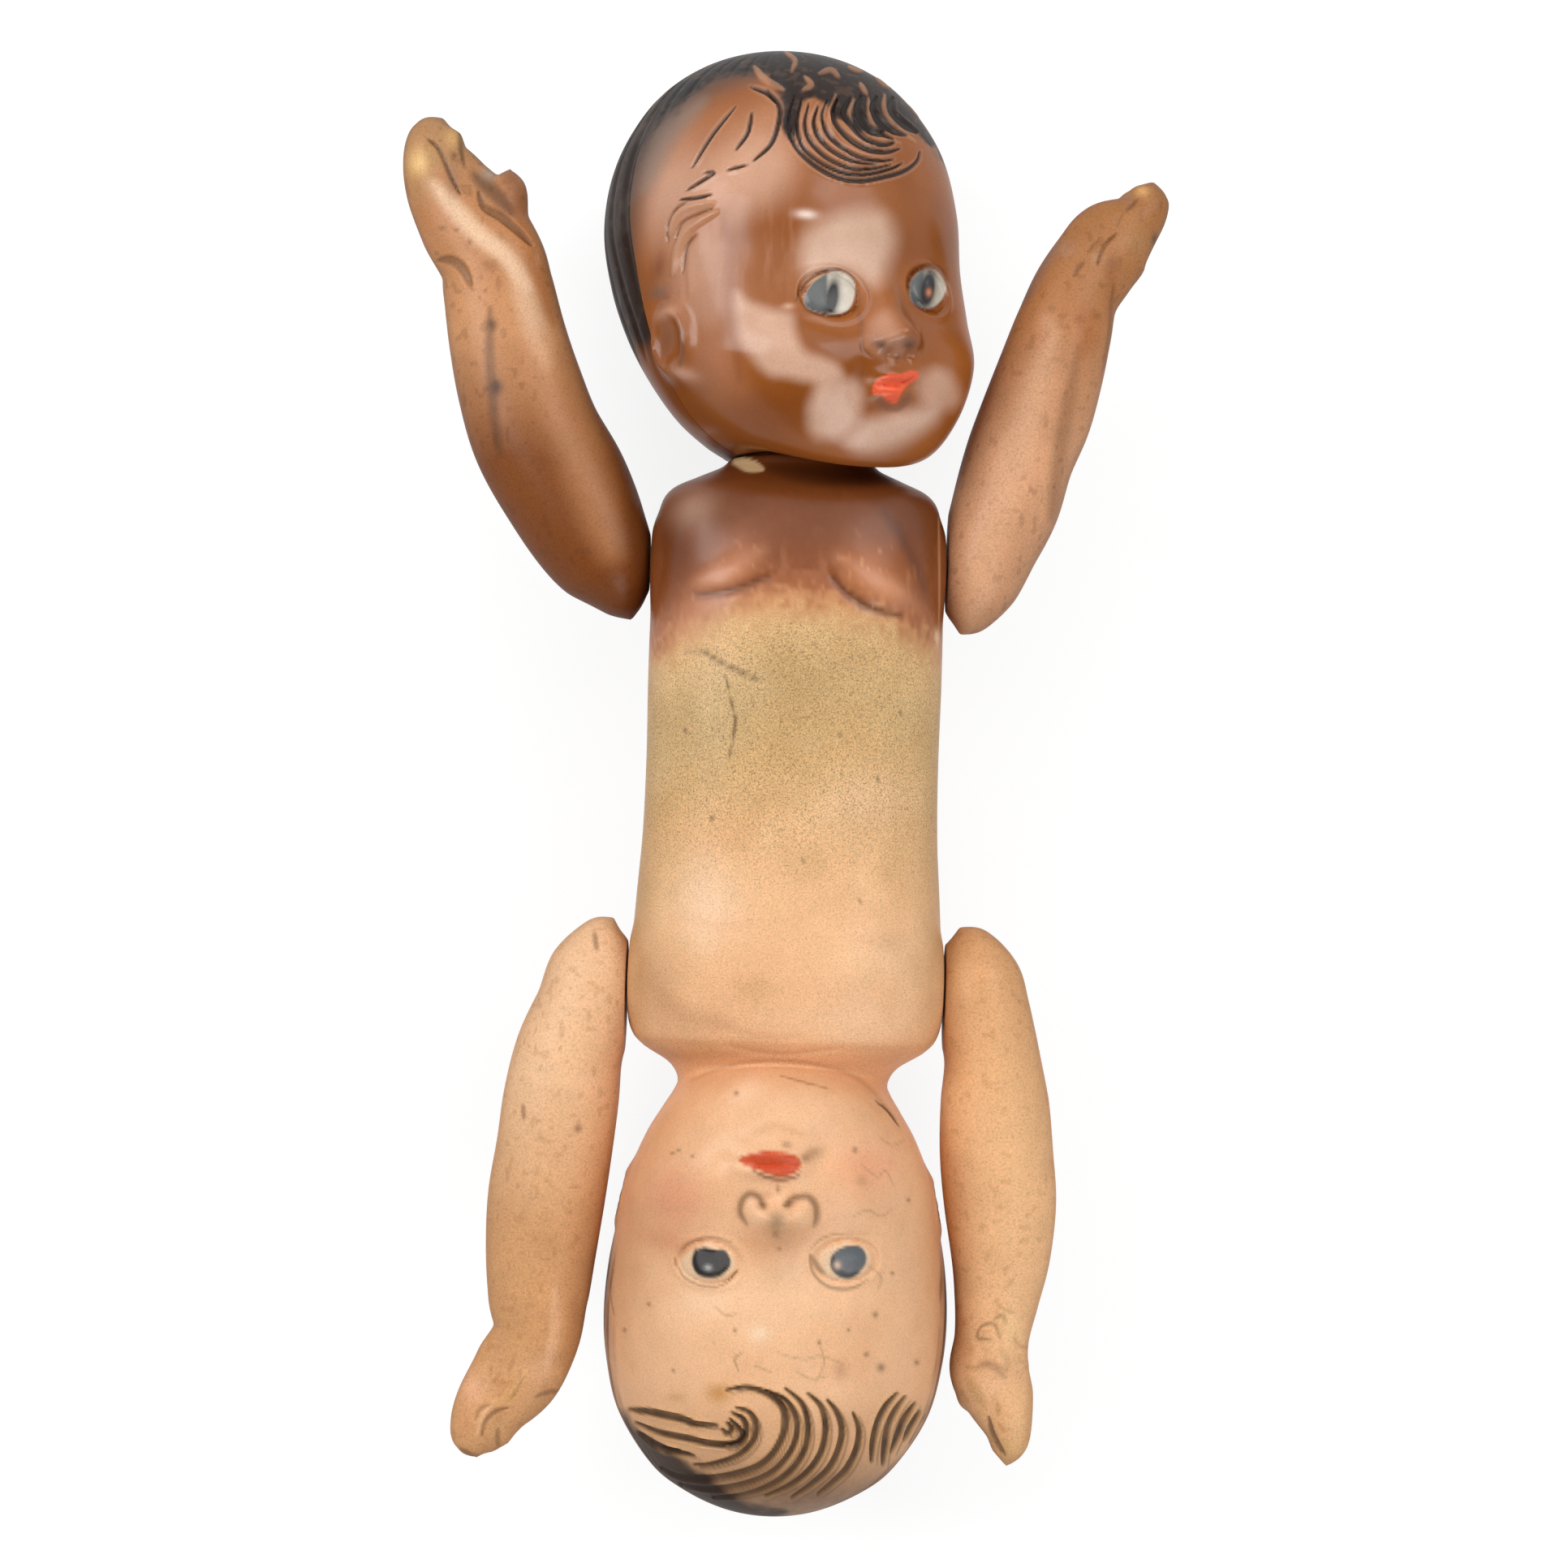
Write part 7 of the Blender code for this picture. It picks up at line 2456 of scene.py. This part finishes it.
LOWER_LEFT_PAINT = ArmPaint(
    ground=(
        (-0.15, (238, 190, 148)),
        (0.2, (240, 192, 148)),
        (0.5, (212, 158, 110)),
        (0.75, (212, 156, 106)),
        (0.95, (218, 162, 112)),
    ),
    back=(176, 118, 72),
    gloss=0.6,
    grain=0.4,
    grooves=(
        (((626, 1737), (610, 1742), (598, 1754), (594, 1770)), 6, 0.40, 0.45),
        (((606, 1732), (592, 1738), (586, 1751)), 5, 0.28, 0.40),
        (((646, 1698), (638, 1712), (630, 1726)), 4, 0.20, 0.35),
        (((614, 1762), (613, 1782)), 6, 0.25, 0.45),
    ),
    stains=(
        (((612, 1724), (598, 1742), (588, 1768)), 5, (246, 194, 146), 0.6),
        (((650, 1688), (638, 1708), (612, 1732)), 6, (236, 184, 126), 0.5),
        (((684, 1590), (684, 1640), (672, 1690)), 14, (238, 186, 144), 0.5),
        (((708, 1600), (706, 1650), (696, 1690)), 16, (190, 134, 88), 0.5),
        (((568, 1786), (582, 1794), (598, 1800)), 6, (110, 76, 48), 0.7),
        (((660, 1722), (676, 1716), (688, 1715)), 6, (120, 84, 56), 0.6),
        (((733, 1150), (736, 1172)), 6, (110, 66, 36), 0.6),
        (((645, 1362), (646, 1380)), 5, (110, 66, 36), 0.6),
        (((620, 1640), (618, 1660)), 9, (202, 150, 104), 0.4),
        (((634, 1674), (628, 1690)), 6, (178, 126, 82), 0.6),
        (((606, 1684), (605, 1696)), 4, (178, 122, 82), 0.6),
        (((617, 1694), (606, 1706)), 4, (178, 122, 82), 0.5),
        (((612, 1722), (628, 1706)), 4, (206, 140, 98), 0.4),
    ),
    spots=(
        ((712, 1392), (5, 5), (110, 66, 36), 0.6),
        ((582, 1712), (16, 20), (246, 186, 146), 0.6),
        ((612, 1750), (12, 12), (186, 140, 92), 0.5),
        ((628, 1722), (10, 8), (212, 160, 98), 0.5),
        ((574, 1745), (10, 24), (226, 160, 112), 0.5),
        ((648, 1628), (4, 4), (192, 140, 94), 0.6),
        ((633, 1618), (5, 6), (198, 148, 104), 0.6),
        ((668, 1624), (4, 5), (200, 142, 98), 0.5),
        ((664, 1650), (7, 3), (200, 146, 102), 0.5),
        ((596, 1703), (5, 4), (204, 146, 106), 0.5),
        ((654, 1676), (6, 8), (200, 150, 106), 0.4),
        ((626, 1705), (8, 3), (196, 132, 88), 0.6),
        ((597, 1785), (5, 6), (198, 142, 90), 0.5),
        ((660, 1690), (26, 18), (236, 180, 136), 0.5),
    ),
    hills=(((590, 1752), (16, 26), 0.3), ((620, 1775), (10, 16), 0.3)),
)
LOWER_RIGHT_PAINT = ArmPaint(
    ground=(
        (-0.15, (214, 156, 106)),
        (0.25, (234, 182, 132)),
        (0.5, (240, 188, 138)),
        (0.8, (238, 184, 136)),
        (1.0, (224, 172, 120)),
    ),
    back=(182, 126, 78),
    gloss=0.6,
    grain=0.4,
    grooves=(
        (((1218, 1748), (1222, 1766), (1231, 1784), (1238, 1794)), 7, 0.40, 0.85),
        (((1250, 1650), (1258, 1660), (1266, 1662)), 4, 0.22, 0.30),
    ),
    stains=(
        (((1206, 1640), (1212, 1634), (1224, 1632), (1232, 1646), (1234, 1652)), 4, (148, 108, 70), 0.7),
        (((1206, 1640), (1206, 1650), (1222, 1651)), 4.5, (148, 108, 70), 0.7),
        (((1226, 1626), (1236, 1622), (1240, 1634)), 6, (150, 112, 72), 0.7),
        (((1227, 1606), (1238, 1614), (1250, 1618)), 4, (172, 132, 88), 0.6),
        (((1204, 1686), (1216, 1682), (1228, 1686), (1238, 1698)), 11, (176, 128, 90), 0.65),
        (((1234, 1662), (1242, 1678), (1238, 1690)), 9, (202, 156, 108), 0.5),
        (((1190, 1685), (1202, 1686)), 5, (200, 146, 88), 0.6),
        (((1192, 1700), (1204, 1716), (1214, 1734)), 12, (190, 144, 84), 0.5),
        (((1229, 1728), (1231, 1744)), 6, (184, 134, 86), 0.6),
        (((1231, 1754), (1239, 1766)), 5, (196, 136, 82), 0.6),
        # painted shadow of the lower head along the arm's inner edge
        (((1170, 1560), (1166, 1620), (1168, 1680)), 16, (176, 116, 68), 0.6),
        (((1184, 1620), (1186, 1660), (1194, 1690)), 18, (216, 152, 104), 0.4),
        (((1268, 1700), (1268, 1750), (1260, 1785)), 8, (214, 160, 112), 0.5),
        (((1270, 1664), (1272, 1690)), 4, (156, 112, 80), 0.5),
    ),
    spots=(
        ((1246, 1786), (14, 14), (222, 176, 118), 0.7),
        ((1248, 1640), (16, 26), (252, 206, 150), 0.6),
        ((1256, 1748), (9, 30), (250, 200, 144), 0.5),
        ((1222, 1712), (18, 12), (248, 196, 150), 0.5),
        ((1197, 1664), (5, 6), (206, 146, 94), 0.5),
        ((1180, 1612), (4, 4), (200, 140, 92), 0.5),
        ((1216, 1666), (5, 7), (214, 160, 116), 0.5),
        ((1188, 1632), (4, 4), (198, 140, 92), 0.5),
    ),
    hills=(((1246, 1750), (14, 34), 0.25),),
)


def doll_arms() -> tuple[Arm, ...]:
    """The four arms, each from its own outline."""
    upper, lower = UPPER_SHOULDER, LOWER_SHOULDER
    return (
        Arm("upper_left_arm", UPPER_LEFT_ARM_SHARES, UPPER_LEFT_THUMB_SHARES, Side.LEFT, 1,
            *upper, UPPER_LEFT_PAINT, BROWN_ARM, 71),
        Arm("upper_right_arm", UPPER_RIGHT_ARM_SHARES, UPPER_RIGHT_THUMB_SHARES, Side.RIGHT, 1,
            *upper, UPPER_RIGHT_PAINT, BROWN_ARM, 72),
        Arm("lower_left_arm", LOWER_LEFT_ARM_SHARES, LOWER_LEFT_THUMB_SHARES, Side.LEFT, -1,
            *lower, LOWER_LEFT_PAINT, PEACH_ARM, 73),
        Arm("lower_right_arm", LOWER_RIGHT_ARM_SHARES, LOWER_RIGHT_THUMB_SHARES, Side.RIGHT, -1,
            *lower, LOWER_RIGHT_PAINT, PEACH_ARM, 74),
    )  # fmt: skip


# --------------------------------------------------------------------------------------
# Stringing and studio
# --------------------------------------------------------------------------------------
@dataclass(frozen=True)
class Stringing:
    """Finishes of the hooks, the bar and the rubber inside, whose solids stay as they are."""

    wires: tuple[str, ...] = (
        "upper_left_arm_hook",
        "upper_right_arm_hook",
        "lower_left_arm_hook",
        "lower_right_arm_hook",
        "head_hook",
    )
    bars: tuple[str, ...] = ("head_crossbar",)
    cords: tuple[str, ...] = ("upper_arm_elastic", "lower_arm_elastic")

    def dress(self, frame: dict) -> None:
        """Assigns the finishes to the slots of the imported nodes."""
        for names, finish in ((self.wires, HOOK_WIRE), (self.bars, BARE_WOOD), (self.cords, RUBBER_CORD)):
            material = finish.material()
            for name in names:
                for slot in frame["nodes"][name].material_slots:
                    slot.material = material
                LOG.info("%s: %s", name, finish.slot)


@dataclass(frozen=True)
class Lamp:
    """An area light that looks at the doll.

    Attributes:
        name: Its name.
        azimuth: Degrees from +X towards +Y in which it stands.
        polar: Degrees by which its direction leans from straight up.
        distance: How far away it is, in metres.
        size: Its width and height, in metres.
        strength: Brightness of its face, as a multiple of white.
    """

    name: str
    azimuth: float
    polar: float
    distance: float
    size: Pair
    strength: float

    def build(self, target: Vector) -> None:
        """Puts the lamp in its place."""
        data = bpy.data.lights.new(self.name, "AREA")
        data.shape = "RECTANGLE"
        data.size, data.size_y = self.size
        data.energy = self.strength * LAMP_WATTS * self.size[0] * self.size[1]
        lamp = bpy.data.objects.new(self.name, data)
        around, down = math.radians(self.azimuth), math.radians(self.polar)
        way = Vector((math.cos(around) * math.sin(down), math.sin(around) * math.sin(down), math.cos(down)))
        lamp.location = target + way * self.distance
        lamp.rotation_euler = way.to_track_quat("Z", "Y").to_euler()
        bpy.context.scene.collection.objects.link(lamp)


@dataclass(frozen=True)
class Studio:
    """The camera over the doll, the white floor, the room's light and the lamps.

    Attributes:
        half_frame: Half the width that the camera sees at the doll's axis, in millimetres.
        floor_size: Side of the floor, in millimetres.
        floor_glow: Its own brightness to the camera near the doll.
        glow_rise: Distances in metres between which that rises to white.
        floor_colour: How much of the light it gives back.
        ceiling: Brightness of the room from above.
        walls: Brightness of the room from the sides.
        lamps: The area lights.
    """

    half_frame: float = 108.35
    floor_size: float = 3000.0
    floor_glow: float = 0.82
    glow_rise: Pair = (0.30, 0.90)
    floor_colour: float = 0.26
    ceiling: float = 0.16
    walls: float = 0.40
    lamps: tuple[Lamp, ...] = (
        Lamp("lamp_window", 160, 48, 0.80, (0.40, 0.50), 4.3),
        Lamp("lamp_top", 90, 35, 0.80, (0.90, 0.60), 0.90),
        Lamp("lamp_right", 38, 48, 0.80, (0.40, 0.50), 2.35),
        Lamp("lamp_low", -55, 52, 0.80, (0.40, 0.40), 2.75),
    )

    def build(self) -> None:
        """Makes everything that isn't part of the doll."""
        self.camera()
        self.floor()
        self.world()
        target = Vector((PICTURE.x, PICTURE.y, SIZES.axis_z)) * MM
        for lamp in self.lamps:
            lamp.build(target)
            LOG.info("%s", lamp.name)

    def camera(self) -> None:
        """A camera straight above, rolled a little, whose frame is the picture's."""
        data = bpy.data.cameras.new("camera")
        data.sensor_fit = "HORIZONTAL"
        data.sensor_width = 36.0
        data.lens = 36.0 * PICTURE.distance / (2 * self.half_frame)
        data.clip_start, data.clip_end = 0.01, 20.0
        camera = bpy.data.objects.new("camera", data)
        camera.location = Vector(PICTURE.eye) * MM
        camera.rotation_euler = (0, 0, PICTURE.roll)
        bpy.context.scene.collection.objects.link(camera)
        bpy.context.scene.camera = camera

    def floor(self) -> None:
        """A table top that keeps a soft shadow and turns to plain white further out."""
        half = self.floor_size / 2 * MM
        corners = [(-half, -half, 0), (half, -half, 0), (half, half, 0), (-half, half, 0)]
        mesh = bpy.data.meshes.new("floor")
        mesh.from_pydata(corners, [], [(0, 1, 2, 3)])
        obj = bpy.data.objects.new("floor", mesh)
        bpy.context.scene.collection.objects.link(obj)
        material = bpy.data.materials.new("floor_white")
        material.use_nodes = True
        tree = material.node_tree
        tree.nodes.clear()
        strength = tree.nodes.new("ShaderNodeMath")
        strength.operation = "MULTIPLY"
        place = tree.nodes.new("ShaderNodeTexCoord")
        far = tree.nodes.new("ShaderNodeVectorMath")
        far.operation = "LENGTH"
        tree.links.new(place.outputs["Object"], far.inputs[0])
        level = tree.nodes.new("ShaderNodeMapRange")
        level.inputs["From Min"].default_value = self.glow_rise[0]
        level.inputs["From Max"].default_value = self.glow_rise[1]
        level.inputs["To Min"].default_value = self.floor_glow
        level.inputs["To Max"].default_value = 1.0
        tree.links.new(far.outputs["Value"], level.inputs["Value"])
        tree.links.new(self.looked_at(tree), strength.inputs[0])
        tree.links.new(level.outputs["Result"], strength.inputs[1])
        glow = tree.nodes.new("ShaderNodeEmission")
        tree.links.new(strength.outputs[0], glow.inputs["Strength"])
        matt = tree.nodes.new("ShaderNodeBsdfDiffuse")
        matt.inputs["Color"].default_value = (*[self.floor_colour] * 3, 1)
        both = tree.nodes.new("ShaderNodeAddShader")
        out = tree.nodes.new("ShaderNodeOutputMaterial")
        tree.links.new(glow.outputs[0], both.inputs[0])
        tree.links.new(matt.outputs[0], both.inputs[1])
        tree.links.new(both.outputs[0], out.inputs["Surface"])
        mesh.materials.append(material)

    @staticmethod
    def looked_at(tree: Tree) -> Socket:
        """1 for rays from the camera, in a reflection or through glass, else 0."""
        path = tree.nodes.new("ShaderNodeLightPath")
        total = path.outputs["Is Camera Ray"]
        for name in ("Is Glossy Ray", "Is Transmission Ray"):
            either = tree.nodes.new("ShaderNodeMath")
            either.operation = "MAXIMUM"
            tree.links.new(total, either.inputs[0])
            tree.links.new(path.outputs[name], either.inputs[1])
            total = either.outputs[0]
        return total

    def world(self) -> None:
        """A studio with white walls, a dimmer ceiling and a white view from the camera."""
        world = bpy.data.worlds.new("room")
        bpy.context.scene.world = world
        world.use_nodes = True
        tree = world.node_tree
        place = tree.nodes.new("ShaderNodeTexCoord")
        parts = tree.nodes.new("ShaderNodeSeparateXYZ")
        tree.links.new(place.outputs["Generated"], parts.inputs[0])
        walls = self.fall(tree, parts.outputs["Z"], self.walls, self.ceiling)
        seen = self.fall(tree, parts.outputs["Z"], 1.0, self.ceiling)
        path = tree.nodes.new("ShaderNodeLightPath")
        level = self.choose(tree, self.looked_at(tree), walls, seen)
        level = self.choose(tree, path.outputs["Is Camera Ray"], level, None)
        tree.links.new(level, tree.nodes["Background"].inputs["Strength"])
        tree.nodes["Background"].inputs["Color"].default_value = (1, 1, 1, 1)

    @staticmethod
    def fall(tree: Tree, height: Socket, low: float, high: float) -> Socket:
        """A brightness that goes from the walls' to the ceiling's with height."""
        node = tree.nodes.new("ShaderNodeMapRange")
        node.interpolation_type = "SMOOTHSTEP"
        node.inputs["From Min"].default_value = 0.30
        node.inputs["From Max"].default_value = 0.60
        node.inputs["To Min"].default_value = low
        node.inputs["To Max"].default_value = high
        tree.links.new(height, node.inputs["Value"])
        return node.outputs["Result"]

    @staticmethod
    def choose(
        tree: Tree,
        share: Socket,
        first: Socket,
        second: Socket | None,
    ) -> Socket:
        """The first brightness, or by a share the second, where none stands for white."""
        node = tree.nodes.new("ShaderNodeMapRange")
        node.inputs["To Max"].default_value = 1.0
        tree.links.new(share, node.inputs["Value"])
        tree.links.new(first, node.inputs["To Min"])
        if second is not None:
            tree.links.new(second, node.inputs["To Max"])
        return node.outputs["Result"]


def doll_shells() -> tuple[MouldedShell, ...]:
    """The four half shells: name, node, body, half, and rows and columns of the outside."""
    return (
        DollBody("body_face_skin", "body_front_shell", "body", Half.FACE, 388, 240),
        SwivelHead("upper_head_face_skin", "upper_head_face_shell", "upper_head", Half.FACE, 330, 290),
        DollBody("body_back_skin", "body_back_shell", "body", Half.BACK, 260, 160),
        SwivelHead("upper_head_back_skin", "upper_head_back_shell", "upper_head", Half.BACK, 240, 200),
    )


def main() -> None:
    """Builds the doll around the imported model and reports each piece."""
    logging.basicConfig(level=logging.INFO, format="%(message)s")
    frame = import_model()
    bpy.context.scene.view_settings.view_transform = "Standard"
    Studio().build()
    for shell in doll_shells():
        shell.build()
    for arm in doll_arms():
        arm.build()
    Stringing().dress(frame)


if __name__ == "__main__":
    main()
